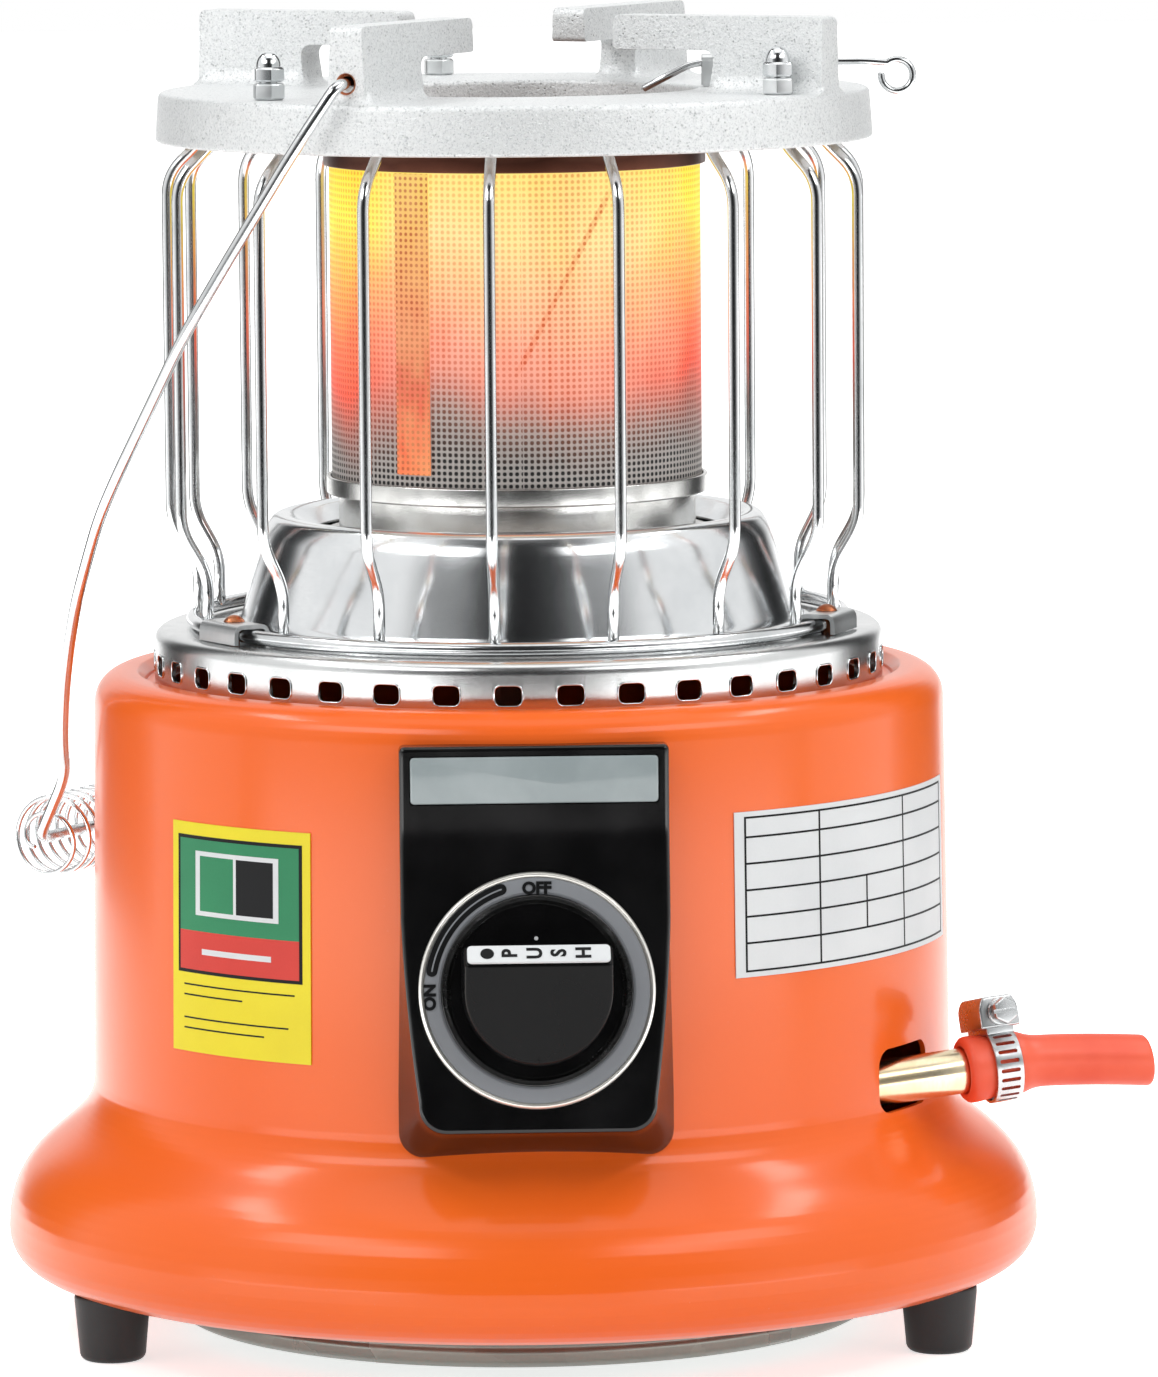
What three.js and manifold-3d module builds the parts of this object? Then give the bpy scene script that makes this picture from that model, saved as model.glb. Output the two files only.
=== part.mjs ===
// A portable propane heater with a cast pan stand on top.
// A painted steel shell on rubber feet carries a vented ring, a chrome reflector and a round
// mesh emitter. A wire guard in three panels stands round the emitter and carries the casting,
// whose four arms hold a pan. A wire bail with a wound grip hangs from two of the arms.
// Lengths are in millimetres, +Z is up and the front of the heater faces -Y.
// Angles are in degrees, counted from the front towards +X.
import * as THREE from 'three';
import * as BufferGeometryUtils from 'three/addons/utils/BufferGeometryUtils.js';
import Module from 'manifold-3d';

const wasm = await Module();
wasm.setup();

// Fits that several pieces share
const SEAT_GAP = 0.3;
const RUN_GAP = 0.5;
const OVERRUN = 3;
const SHEET = 1.2;

// Facet counts
const SHELL_SIDES = 36;
const CORE_SIDES = 24;
const ROUND_SIDES = 12;
const PIN_SIDES = 8;
const WIRE_SIDES = 5;
const LINE_STEPS = 3;
const BEND_STEPS = 2;

// Outer shell, a pressed steel drum with a flared skirt
const SHELL_WALL = 1.5;
const SHELL_RADIUS = 120.5;
const SHELL_DRAFT = 1.5;
const SHELL_TOP_RADIUS = SHELL_RADIUS - SHELL_DRAFT;
const SHELL_TOP = 187;
const SHOULDER_RADIUS = 8.5;
const SKIRT_REACH = 24.5;
const SKIRT_RADIUS = SHELL_RADIUS + SKIRT_REACH;
const SKIRT_HEIGHT = 30;
const SKIRT_TOP = 72;
const FLARE_SHARE = 0.62;
const RIM_HEIGHT = 17;
const RIM_INSET = 21;
const RIM_RADIUS = SKIRT_RADIUS - RIM_INSET;
const COLLAR_REACH = 6;
const COLLAR_DROP = 2.5;
const COLLAR_RADIUS = SHELL_TOP_RADIUS - SHOULDER_RADIUS - COLLAR_REACH;
const LEDGE_WIDTH = 7;

// Base tray and feet
const TRAY_INSET = 24;
const TRAY_RADIUS = RIM_RADIUS - TRAY_INSET;
const TRAY_BOTTOM = 4.5;
const TRAY_CORNER = 4;
const TRAY_FLANGE = 14;
const FOOT_INSET = 19;
const FOOT_CIRCLE = SKIRT_RADIUS - FOOT_INSET;
const FOOT_TOP_RADIUS = 10;
const FOOT_RADIUS = 8.5;
const FOOT_ANGLES = [-66.6, 64, 178.7];

// Vented ring on top of the shell
const VENT_CLEARANCE = 2.5;
const VENT_RADIUS = COLLAR_RADIUS - VENT_CLEARANCE;
const VENT_RISE = 11.4;
const VENT_TOP = SHELL_TOP + VENT_RISE;
const VENT_CORNER = 3.4;
const VENT_FLANGE = 3;
const VENT_HOLES = 38;
const VENT_HOLE_WIDTH = 7;
const VENT_HOLE_HEIGHT = 5.4;
const VENT_HOLE_CORNER = 1.9;
const VENT_HOLE_LIFT = 0.9;
const VENT_HOLE_CENTRE = SHELL_TOP + VENT_HOLE_LIFT;
const VENT_FIRST_ANGLE = -3.4;

// Reflector cone and the burner pan inside it
const GUARD_RING_INSET = 11;
const GUARD_RING_RADIUS = VENT_RADIUS - GUARD_RING_INSET;
const REFLECTOR_INSET = 13;
const REFLECTOR_RADIUS = GUARD_RING_RADIUS - REFLECTOR_INSET;
const REFLECTOR_FLANGE = 4;
const REFLECTOR_SHOULDER_INSET = 6.6;
const REFLECTOR_SHOULDER_RADIUS = REFLECTOR_RADIUS - REFLECTOR_SHOULDER_INSET;
const REFLECTOR_SHOULDER_RISE = 24;
const REFLECTOR_LIP_INSET = 5;
const REFLECTOR_LIP_RADIUS = REFLECTOR_SHOULDER_RADIUS - REFLECTOR_LIP_INSET;
const REFLECTOR_RISE = 31.5;
const REFLECTOR_LIP_WIDTH = 8.9;
const REFLECTOR_INNER_RADIUS = REFLECTOR_LIP_RADIUS - REFLECTOR_LIP_WIDTH;
const PAN_OVERLAP = 2.5;
const PAN_RADIUS = REFLECTOR_INNER_RADIUS + PAN_OVERLAP;
const PAN_FLANGE = 8;
const PAN_RISE = 25;
const PAN_HOLE = 13;
const VENT_DECK_LAND = 4;
const VENT_DECK_HOLE = PAN_RADIUS - VENT_DECK_LAND;

// Mesh emitter, the rings that hold it, and its cap
const MESH_CLEARANCE = 5.7;
const MESH_RADIUS = REFLECTOR_INNER_RADIUS - MESH_CLEARANCE;
const MESH_WALL = 0.7;
const RING_WALL = 1.2;
const RING_STEP_RISE = 37.2;
const RING_STEP = VENT_TOP + RING_STEP_RISE;
const RING_LIP = 5;
const RING_TOP = RING_STEP + RING_LIP;
const MESH_LENGTH = 92.4;
const MESH_TOP = RING_STEP + RING_WALL + SEAT_GAP + MESH_LENGTH;
const RING_SKIRT_DROP = 2.2;
const RING_FOOT = 4;
const COLLAR_LAP = 2.3;
const COLLAR_BOTTOM = MESH_TOP - COLLAR_LAP;
const COLLAR_SHELF = 7;
const CAP_INSET = 2.4;
const CAP_RADIUS = MESH_RADIUS - CAP_INSET;
const CAP_RIM = 1.4;
const CAP_BRIM = 19.4;
const CAP_DOME_RADIUS = CAP_RADIUS - CAP_BRIM;
const CAP_DOME = 2;
const SEAM_ANGLE = -34.8;
const SEAM_WIDTH = 10.6;
const SEAM_WALL = 0.6;
const SEAM_LIFT = 3.4;

// Burner inside the emitter, its mixing tube and the two probes
const HEAD_CLEARANCE = 15.8;
const HEAD_RADIUS = MESH_RADIUS - HEAD_CLEARANCE;
const HEAD_HEIGHT = 14;
const HEAD_CROWN = 9;
const HEAD_WALL = 2;
const HEAD_PORTS = 8;
const HEAD_PORT_RADIUS = 2;
const TUBE_RADIUS = 11;
const TUBE_WALL = 1.4;
const TUBE_BEND = 24;
const BELL_RADIUS = 15;
const BELL_LENGTH = 10;
const BELL_GAP = 24.7;
const ELECTRODE_RADIUS = 2.4;
const ELECTRODE_RISE = 22;
const ELECTRODE_TIP_RADIUS = 0.8;
const ELECTRODE_TIP = 9;
const ELECTRODE_ANGLE = -58;
const PROBE_RADIUS = 1.7;
const PROBE_RISE = 27;
const PROBE_ANGLE = -96;
const PROBE_INSET = 8.3;
const PROBE_CIRCLE = MESH_RADIUS - PROBE_INSET;
const PROBE_TAIL = 14;
const PROBE_NUT_WIDTH = 7;
const PROBE_NUT_HEIGHT = 3;

// Wire guard in three panels, held to the vented ring by riveted clips
const GUARD_WIRE = 1.6;
const GUARD_RING_WIRE = 2;
const GUARD_FOOT_INSET = 1.4;
const GUARD_FOOT_RADIUS = GUARD_RING_RADIUS - GUARD_FOOT_INSET;
const GUARD_BELLY = 6;
const GUARD_RADIUS = GUARD_RING_RADIUS + GUARD_BELLY;
const GUARD_HEAD_INSET = 14.5;
const GUARD_HEAD_RADIUS = GUARD_RADIUS - GUARD_HEAD_INSET;
const GUARD_ENTRY_INSET = 8.6;
const GUARD_ENTRY_RADIUS = GUARD_RADIUS - GUARD_ENTRY_INSET;
const GUARD_FOOT_RISE = 16.6;
const GUARD_FOOT_BEND = VENT_TOP + GUARD_FOOT_RISE;
const GUARD_WAIST_RISE = 12.5;
const GUARD_WAIST_BEND = GUARD_FOOT_BEND + GUARD_WAIST_RISE;
const STAND_OVERHANG = 3;
const STAND_RADIUS = GUARD_RADIUS + STAND_OVERHANG;
const ARM_ANGLES = [-29.3, 60.7, 150.7, -119.3];
const STUD_INSET = 12;
const STUD_CIRCLE = STAND_RADIUS - STUD_INSET;
const STUD_CLEARANCE = 11.52;
const NEAR_STUD_ANGLE = ARM_ANGLES[1] - THREE.MathUtils.radToDeg(STUD_CLEARANCE / STUD_CIRCLE);
const GUARD_WIRES = 6;
const GUARD_ARC_STEPS = 10;
const GUARD_PANELS = [
  {
    name: 'guard_panel_front', centre: 4.5, pitch: 20.8, from: -58.6, to: 65.3,
    studs: [-51, NEAR_STUD_ANGLE],
  },
  { name: 'guard_panel_right', centre: 124.7, pitch: 19.5, from: 70.6, to: 182.3, studs: [] },
  { name: 'guard_panel_left', centre: -120, pitch: 17.8, from: -173.4, to: -63.4, studs: [-167.6] },
];
const CLIP_ANGLES = [-61, 68, -175.5];
const CLIP_LENGTH = 20;
const CLIP_WIDTH = 11;
const RIVET_RADIUS = 1.5;
const RIVET_TAIL = 3;
const RIVET_HEAD_RADIUS = 3;
const RIVET_HEAD_HEIGHT = 1.8;

// Cast pan stand
const STAND_DRAFT = 1;
const STAND_LIFT = 4.6;
const STAND_BOTTOM = MESH_TOP + STAND_LIFT;
const STAND_HEIGHT = 13.9;
const STAND_TOP = STAND_BOTTOM + STAND_HEIGHT;
const STAND_HOLE_INSET = 1.1;
const STAND_HOLE = MESH_RADIUS - STAND_HOLE_INSET;
const GUARD_ENTRY_DROP = 1.1;
const GUARD_ENTRY_HEIGHT = STAND_BOTTOM - GUARD_ENTRY_DROP;
const GUARD_TOP_DROP = 8.5;
const GUARD_TOP_BEND = GUARD_ENTRY_HEIGHT - GUARD_TOP_DROP;
const STAND_WALL = 5.6;
const STAND_DECK = 5.4;
const STAND_EDGE = 1.6;
const ARM_RISE = 21;
const ARM_TOP = STAND_TOP + ARM_RISE;
const ARM_INSET = 2.4;
const ARM_OUTER = STAND_RADIUS - ARM_INSET;
const ARM_POST_INSET = 8.3;
const ARM_POST = STAND_HOLE + ARM_POST_INSET;
const ARM_HOOK_REACH = 29;
const ARM_INNER = ARM_POST - ARM_HOOK_REACH;
const ARM_WIDTH = 9.5;
const ARM_FOOT_WIDTH = 12;
const ARM_HOOK_DEPTH = 9.5;
const ARM_CORNER = 2.4;
const ARM_FILLET = 4;
const STUD_ANGLES = GUARD_PANELS.flatMap((panel) => panel.studs);
const STUD_RADIUS = 2.4;
const STUD_HEAD_RADIUS = 3.4;
const STUD_HEAD_HEIGHT = 1.6;
const LUG_WIDTH = 10;
const LUG_THICKNESS = 1.6;
const NUT_WIDTH = 8;
const LOCK_NUT_HEIGHT = 4.4;
const CAP_NUT_HEIGHT = 8.4;
const CAP_NUT_HEX_HEIGHT = 4.2;
const CAP_NUT_DOME = 3.4;
const CAP_NUT_BORE = 5.4;

// Bail with its wound grip, hung from two arms
const BAIL_ANGLE = -29.3;
const GRIP_STANDOFF = 5.65;
const BAIL_WIRE = 1.65;
const BAIL_LIFT = 5.5;
const BAIL_HEIGHT = STAND_TOP + BAIL_LIFT;
const BAIL_HOLE_RADIUS = 2.4;
const BAIL_HOLE_DEPTH = 12;
const BAIL_CLEARANCE = 2.6;
const BAIL_PLANE = STAND_RADIUS + BAIL_CLEARANCE;
const BAIL_BELLY = 10.4;
const BAIL_REACH = BAIL_PLANE + BAIL_BELLY;
const BAIL_LENGTH = 259;
const GRIP_RADIUS = 11.1;
const BAIL_REST = SHELL_RADIUS + GRIP_RADIUS + GRIP_STANDOFF;
const BAIL_OUTLINE_SHARES = [
  [0.947, 0.077], [0.982, 0.212], [1, 0.309], [0.977, 0.39], [0.951, 0.49], [0.925, 0.544],
  [0.87, 0.598], [0.81, 0.653], [0.731, 0.708], [0.641, 0.764], [0.529, 0.825], [0.437, 0.87],
  [0.344, 0.909],
];
const GRIP_WIRE = 0.7;
const GRIP_PITCH = 6;
const GRIP_CURLS = 10;
const GRIP_SPAN = GRIP_PITCH * (GRIP_CURLS + 1);
const BAIL_GRIP_HALF = GRIP_SPAN / 2 + SEAT_GAP;
const GRIP_STEPS = 8;
const GRIP_SIDES = 5;

// Turn rod with its eye and crank, and its bearing on the stand
const ROD_WIRE = 0.8;
const ROD_LIFT = 6.6;
const ROD_HEIGHT = STAND_TOP + ROD_LIFT;
const ROD_EYE_REACH = 7;
const ROD_EYE_CENTRE = STAND_RADIUS + ROD_EYE_REACH;
const ROD_EYE_RADIUS = 4.4;
const ROD_EYE_DROP = 4;
const BEARING_INSET = 1.8;
const BEARING_START = STAND_HOLE + BEARING_INSET;
const ROD_CRANK_GAP = 2.5;
const ROD_CRANK_START = BEARING_START - ROD_CRANK_GAP;
const ROD_CRANK_RUN = 14;
const ROD_CRANK_END = ROD_CRANK_START - ROD_CRANK_RUN;
const ROD_CRANK_DROP = 7.2;
const BEARING_LENGTH = 8;
const BEARING_WIDTH = 6.4;
const BEARING_ROOF = 1.2;

// Control panel, window, dial ring and knob
const PANEL_WIDTH = 73.4;
const PANEL_DROP = 8.6;
const PANEL_TOP = SHELL_TOP - PANEL_DROP;
const PANEL_HEIGHT = 110.4;
const PANEL_BOTTOM = PANEL_TOP - PANEL_HEIGHT;
const PANEL_PROUD = 3.5;
const PANEL_BROW = 24.4;
const PANEL_BREAK = PANEL_TOP - PANEL_BROW;
const PANEL_TILT = 9.5;
const PANEL_DEPTH = 24;
const PANEL_SIDE_SLOPE = 0.43;
const PANEL_BOTTOM_SLOPE = 0.5;
const PANEL_CORNER = 7;
const PANEL_TOP_CORNER = 1.5;
const WINDOW_MARGIN = 3.5;
const WINDOW_WIDTH = PANEL_WIDTH - 2 * WINDOW_MARGIN;
const WINDOW_HEIGHT = 12.6;
const WINDOW_DROP = 2.8;
const WINDOW_TOP = PANEL_TOP - WINDOW_DROP;
const WINDOW_DEPTH = 1.4;
const WINDOW_CORNER = 1.2;
const DIAL_DROP = 40.5;
const DIAL_HEIGHT = PANEL_BREAK - DIAL_DROP;
const DIAL_MARGIN = 5;
const DIAL_RADIUS = PANEL_WIDTH / 2 - DIAL_MARGIN;
const DIAL_BAND = 6.3;
const DIAL_INNER = DIAL_RADIUS - DIAL_BAND;
const DIAL_THICKNESS = 2.8;
const DIAL_CHAMFER = 0.9;
const KNOB_MARGIN = 5.1;
const KNOB_RADIUS = DIAL_INNER - KNOB_MARGIN;
const KNOB_FLAT = 12;
const KNOB_DEPTH = 18;
const KNOB_TOE_DEPTH = 8;
const KNOB_CHAMFER = 5.6;
const KNOB_TRAVEL = 3;
const STRIP_MARGIN = 1.3;
const STRIP_LENGTH = 2 * (KNOB_RADIUS - STRIP_MARGIN);
const STRIP_WIDTH = 6;
const STRIP_THICKNESS = 0.8;
const SPINDLE_RADIUS = 3;
const SPINDLE_FLAT = 2.2;
const SPINDLE_ENGAGE = 8;

// Gas valve behind the panel, its jet and the inlet pipe
const VALVE_WIDTH = 32;
const VALVE_DEPTH = 28;
const VALVE_HEIGHT = 26;
const VALVE_FRONT = 17;
const VALVE_SOCKET = 10;
const VALVE_PORT_RADIUS = 8.6;
const VALVE_PORT_LENGTH = 6;
const BRACKET_WIDTH = 58;
const BRACKET_HEIGHT = 20;
const BRACKET_HOLE = 8;
const JET_RADIUS = 3.6;
const JET_LENGTH = 8;
const JET_BORE = 1;
const JET_HEX_WIDTH = 9;
const JET_HEX_LENGTH = 4;
const PIPE_RADIUS = 6.3;
const PIPE_BORE = 4.7;
const PIPE_BEND = 15;
const PIPE_EXIT_ANGLE = 59.5;
const PIPE_EXIT_LIFT = 5;
const PIPE_EXIT_HEIGHT = SKIRT_TOP + PIPE_EXIT_LIFT;
const PIPE_HEADING = 104.6;
const PIPE_CLIMB = 5.2;
const PIPE_RUN = 37;
const SLOT_WIDTH = 29;
const SLOT_HEIGHT = 17.8;
const SLOT_LIFT = 0.8;
const SLOT_CORNER = 5;

// Hose stub and its worm clamp
const HOSE_RADIUS = 6.9;
const HOSE_WALL = 2.2;
const HOSE_SWELL_RADIUS = 9.1;
const HOSE_START = 19;
const HOSE_SWELL = 17;
const HOSE_TAPER = 6;
const HOSE_LENGTH = 55.5;
const HOSE_DROOP = 3;
const BAND_START = 7.5;
const BAND_WIDTH = 9;
const BAND_WALL = 0.8;
const BAND_SLOTS = 9;
const BAND_SLOT_PITCH = 15;
const BAND_SLOT_SHARE = 0.62;
const BAND_SLOT_WIDTH = 1.1;
const HOUSING_LENGTH = 13;
const HOUSING_WIDTH = 9.6;
const HOUSING_HEIGHT = 7.6;
const HOUSING_TURN = 12;
const CLAMP_SCREW_RADIUS = 2.6;
const CLAMP_SCREW_TAIL = 3;
const CLAMP_HEAD_WIDTH = 7;
const CLAMP_HEAD_LENGTH = 4;
const CLAMP_SLOT_WIDTH = 1.1;
const CLAMP_SLOT_DEPTH = 1.2;

// Printed labels on the shell
const LABEL_THICKNESS = 0.3;
const LABEL_GAP = 0.1;
const STICKER_DROP = 34;
const STICKER_TOP = SHELL_TOP - STICKER_DROP;
const STICKER_HEIGHT = 63;
const PLATE_DROP = 29.5;
const PLATE_TOP = SHELL_TOP - PLATE_DROP;
const PLATE_HEIGHT = 45;
const STICKER = { from: -54, to: -30, low: STICKER_TOP - STICKER_HEIGHT, high: STICKER_TOP };
const PLATE = { from: 27, to: 76, low: PLATE_TOP - PLATE_HEIGHT, high: PLATE_TOP };

// Places that follow from the sizes above
const trayFlangeBottom = RIM_HEIGHT + SHELL_WALL + SEAT_GAP;
const ledgeTop = SHELL_TOP - COLLAR_DROP - SHELL_WALL;
const ventBottom = ledgeTop + SEAT_GAP;
const deckTop = VENT_TOP;
const panTop = deckTop + SEAT_GAP + PAN_RISE;
const ringBottom = panTop + SEAT_GAP;
const meshBottom = RING_STEP + RING_WALL + SEAT_GAP;
const collarTop = STAND_BOTTOM - SEAT_GAP;
const ringHeight = deckTop + SEAT_GAP + GUARD_RING_WIRE;
const clipRoof = ringHeight + GUARD_RING_WIRE + SEAT_GAP;
const deckUnderside = STAND_TOP - STAND_DECK;
const guardHead = deckUnderside - SEAT_GAP - GUARD_WIRE;
const lugBottom = guardHead - LUG_THICKNESS / 2;
const tilt = THREE.MathUtils.degToRad(PANEL_TILT);
const faceFront = SHELL_RADIUS + PANEL_PROUD;
const dialFront = faceFront + (PANEL_BREAK - DIAL_HEIGHT) * Math.tan(tilt);
const knobBack = KNOB_TRAVEL + 2 * SEAT_GAP;

const radians = THREE.MathUtils.degToRad;

function vec(x, y, z) {
  return new THREE.Vector3(x, y, z);
}

function polar(radius, angle, height) {
  const turn = radians(angle);
  return vec(radius * Math.sin(turn), -radius * Math.cos(turn), height);
}

function heading(angle, climb) {
  return polar(Math.cos(radians(climb)), angle, Math.sin(radians(climb)));
}

function curve(points, steps) {
  const ends = points.map((point) => new THREE.Vector2(...point));
  const shape = ends.length === 3
    ? new THREE.QuadraticBezierCurve(...ends)
    : new THREE.CubicBezierCurve(...ends);
  return shape.getPoints(steps).map((point) => [point.x, point.y]);
}

function arc(centreX, centreY, radius, from, to, steps) {
  return Array.from({ length: steps + 1 }, (_, i) => {
    const turn = radians(from + ((to - from) * i) / steps);
    return [centreX + radius * Math.cos(turn), centreY + radius * Math.sin(turn)];
  });
}

// Welds a geometry's corners, drops flat triangles and turns its faces outwards.
function welded(geometry) {
  const bare = new THREE.BufferGeometry();
  bare.setAttribute('position', geometry.getAttribute('position').clone());
  if (geometry.index) bare.setIndex(geometry.index.clone());
  const merged = BufferGeometryUtils.mergeVertices(bare);
  const place = merged.getAttribute('position');
  const faces = [];
  let volume = 0;
  for (let i = 0; i < merged.index.count; i += 3) {
    const corners = [0, 1, 2].map((k) => merged.index.getX(i + k));
    if (new Set(corners).size < 3) continue;
    faces.push(corners);
    const [a, b, c] = corners.map((k) => vec(0, 0, 0).fromBufferAttribute(place, k));
    volume += a.dot(b.cross(c));
  }
  const order = volume < 0 ? [0, 2, 1] : [0, 1, 2];
  merged.setIndex(faces.flatMap((corners) => order.map((k) => corners[k])));
  return merged;
}

function toSolid(geometry) {
  const closed = welded(geometry);
  return new wasm.Manifold(new wasm.Mesh({
    numProp: 3,
    vertProperties: new Float32Array(closed.getAttribute('position').array),
    triVerts: new Uint32Array(closed.index.array),
  }));
}

function toGeometry(solid) {
  const mesh = solid.getMesh();
  const geometry = new THREE.BufferGeometry();
  geometry.setAttribute('position', new THREE.BufferAttribute(mesh.vertProperties, 3));
  geometry.setIndex(new THREE.BufferAttribute(mesh.triVerts, 1));
  return geometry;
}

function join(first, ...others) {
  return toGeometry(others.reduce((sum, next) => sum.add(toSolid(next)), toSolid(first)));
}

function cut(first, ...tools) {
  return toGeometry(tools.reduce((rest, tool) => rest.subtract(toSolid(tool)), toSolid(first)));
}

function overlap(first, ...others) {
  return toGeometry(others.reduce((rest, next) => rest.intersect(toSolid(next)), toSolid(first)));
}

// Turns a closed profile of [radius, height] points about Z.
function turned(profile, sides = SHELL_SIDES) {
  const points = [...profile, profile[0]].map((point) => new THREE.Vector2(...point));
  return welded(new THREE.LatheGeometry(points, sides).rotateX(Math.PI / 2));
}

// A bent sheet: a line of [radius, height] points with the sheet's thickness on its left.
function sheetProfile(line, thickness) {
  const offset = line.map((point, i) => {
    const before = line[Math.max(i - 1, 0)];
    const after = line[Math.min(i + 1, line.length - 1)];
    const inward = new THREE.Vector2(point[0] - before[0], point[1] - before[1]).normalize();
    const outward = new THREE.Vector2(after[0] - point[0], after[1] - point[1]).normalize();
    if (i === 0) inward.copy(outward);
    if (i === line.length - 1) outward.copy(inward);
    const middle = inward.clone().add(outward).normalize();
    const reach = thickness / Math.max(middle.dot(inward), Math.SQRT1_2);
    return [point[0] - middle.y * reach, point[1] + middle.x * reach];
  });
  return [...line, ...offset.reverse()];
}

function block(low, high) {
  const size = high.clone().sub(low);
  const centre = low.clone().add(high).multiplyScalar(0.5);
  return new THREE.BoxGeometry(size.x, size.y, size.z).translate(centre.x, centre.y, centre.z);
}

// A straight rod, or a cone when the end radius differs.
function rod(from, to, radius, sides = ROUND_SIDES, endRadius = radius) {
  const axis = to.clone().sub(from);
  const geometry = new THREE.CylinderGeometry(endRadius, radius, axis.length(), sides);
  const turn = new THREE.Quaternion().setFromUnitVectors(vec(0, 1, 0), axis.normalize());
  const centre = from.clone().add(to).multiplyScalar(0.5);
  return geometry.applyQuaternion(turn).translate(centre.x, centre.y, centre.z);
}

// Rounds each inner corner of a path with a short curve.
function bent(points, bend, steps = BEND_STEPS) {
  const path = [points[0].clone()];
  for (let i = 1; i < points.length - 1; i += 1) {
    const before = points[i - 1].clone().sub(points[i]);
    const after = points[i + 1].clone().sub(points[i]);
    const turn = Math.PI - before.angleTo(after);
    const room = Math.min(before.length(), after.length()) / 2;
    const reach = Math.min(bend * Math.tan(turn / 2), room);
    const corner = new THREE.QuadraticBezierCurve3(
      points[i].clone().add(before.setLength(reach)),
      points[i],
      points[i].clone().add(after.setLength(reach)),
    );
    path.push(...corner.getPoints(steps));
  }
  path.push(points[points.length - 1].clone());
  return path;
}

// A solid between closed loops that have the same number of points, with flat ends.
function lofted(loops) {
  const count = loops[0].length;
  const positions = loops.flat().flatMap((point) => point.toArray());
  const index = [];
  for (let ring = 1; ring < loops.length; ring += 1) {
    for (let k = 0; k < count; k += 1) {
      const next = (k + 1) % count;
      const low = (ring - 1) * count;
      const high = ring * count;
      index.push(low + k, low + next, high + next, low + k, high + next, high + k);
    }
  }
  for (const ring of [0, loops.length - 1]) {
    const centre = loops[ring].reduce((sum, point) => sum.add(point), vec(0, 0, 0));
    const hub = positions.length / 3;
    positions.push(...centre.divideScalar(count).toArray());
    for (let k = 0; k < count; k += 1) {
      const here = ring * count + k;
      const next = ring * count + ((k + 1) % count);
      index.push(...(ring === 0 ? [hub, next, here] : [hub, here, next]));
    }
  }
  const geometry = new THREE.BufferGeometry();
  geometry.setAttribute('position', new THREE.Float32BufferAttribute(positions, 3));
  geometry.setIndex(index);
  return geometry;
}

// A round wire or tube along a path. Its rings are carried along without twisting and are
// square to the path. radii is one radius, or one for each point of the path.
function wire(path, radii, sides = WIRE_SIDES) {
  const side = vec(0, 0, 0);
  const last = path.length - 1;
  const loops = path.map((point, i) => {
    const ahead = path[Math.min(i + 1, last)].clone().sub(point).normalize();
    const behind = point.clone().sub(path[Math.max(i - 1, 0)]).normalize();
    const along = ahead.add(behind).normalize();
    if (i === 0) side.crossVectors(Math.abs(along.z) < 0.9 ? vec(0, 0, 1) : vec(1, 0, 0), along);
    side.addScaledVector(along, -side.dot(along)).normalize();
    const across = vec(0, 0, 0).crossVectors(along, side);
    const radius = Array.isArray(radii) ? radii[i] : radii;
    return Array.from({ length: sides }, (_, k) => {
      const turn = (2 * Math.PI * k) / sides;
      return point.clone()
        .addScaledVector(side, radius * Math.cos(turn))
        .addScaledVector(across, radius * Math.sin(turn));
    });
  });
  return lofted(loops);
}

// A rectangle's outline with rounded corners, from [x, y] to [x, y].
function rounded(low, high, lowCorner, highCorner = lowCorner, steps = BEND_STEPS) {
  return [
    ...arc(low[0] + lowCorner, low[1] + lowCorner, lowCorner, 180, 270, steps),
    ...arc(high[0] - lowCorner, low[1] + lowCorner, lowCorner, 270, 360, steps),
    ...arc(high[0] - highCorner, high[1] - highCorner, highCorner, 0, 90, steps),
    ...arc(low[0] + highCorner, high[1] - highCorner, highCorner, 90, 180, steps),
  ];
}

// A flat plate from an outline of [x, y] points, thick along +Z.
function plate(outline, thickness) {
  const shape = new THREE.Shape(outline.map((point) => new THREE.Vector2(...point)));
  return new THREE.ExtrudeGeometry(shape, { depth: thickness, bevelEnabled: false });
}

// A plate that faces -Y: its outline is [X, Z], between two distances in front of the origin.
function facing(outline, front, back) {
  return plate(outline, front - back).rotateX(Math.PI / 2).translate(0, -back, 0);
}

// A plate that stands radially at the front: its outline is [radius, height].
function standing(outline, thickness) {
  const matrix = new THREE.Matrix4().makeBasis(vec(0, -1, 0), vec(0, 0, 1), vec(-1, 0, 0));
  return plate(outline, thickness).translate(0, 0, -thickness / 2).applyMatrix4(matrix);
}

function turnedTo(geometry, angle) {
  return geometry.rotateZ(radians(angle));
}

function hexagon(width) {
  const corner = width / (2 * Math.cos(radians(30)));
  return arc(0, 0, corner, 30, 330, 5);
}

// Moves what is made round the knob's axis, with the panel's face at y = 0, to its place.
function atDial(geometry) {
  return geometry.rotateX(-tilt).translate(0, -dialFront, DIAL_HEIGHT);
}

function dialPoint(x, y, z) {
  return vec(x, y, z).applyAxisAngle(vec(1, 0, 0), -tilt).add(vec(0, -dialFront, DIAL_HEIGHT));
}

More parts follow.
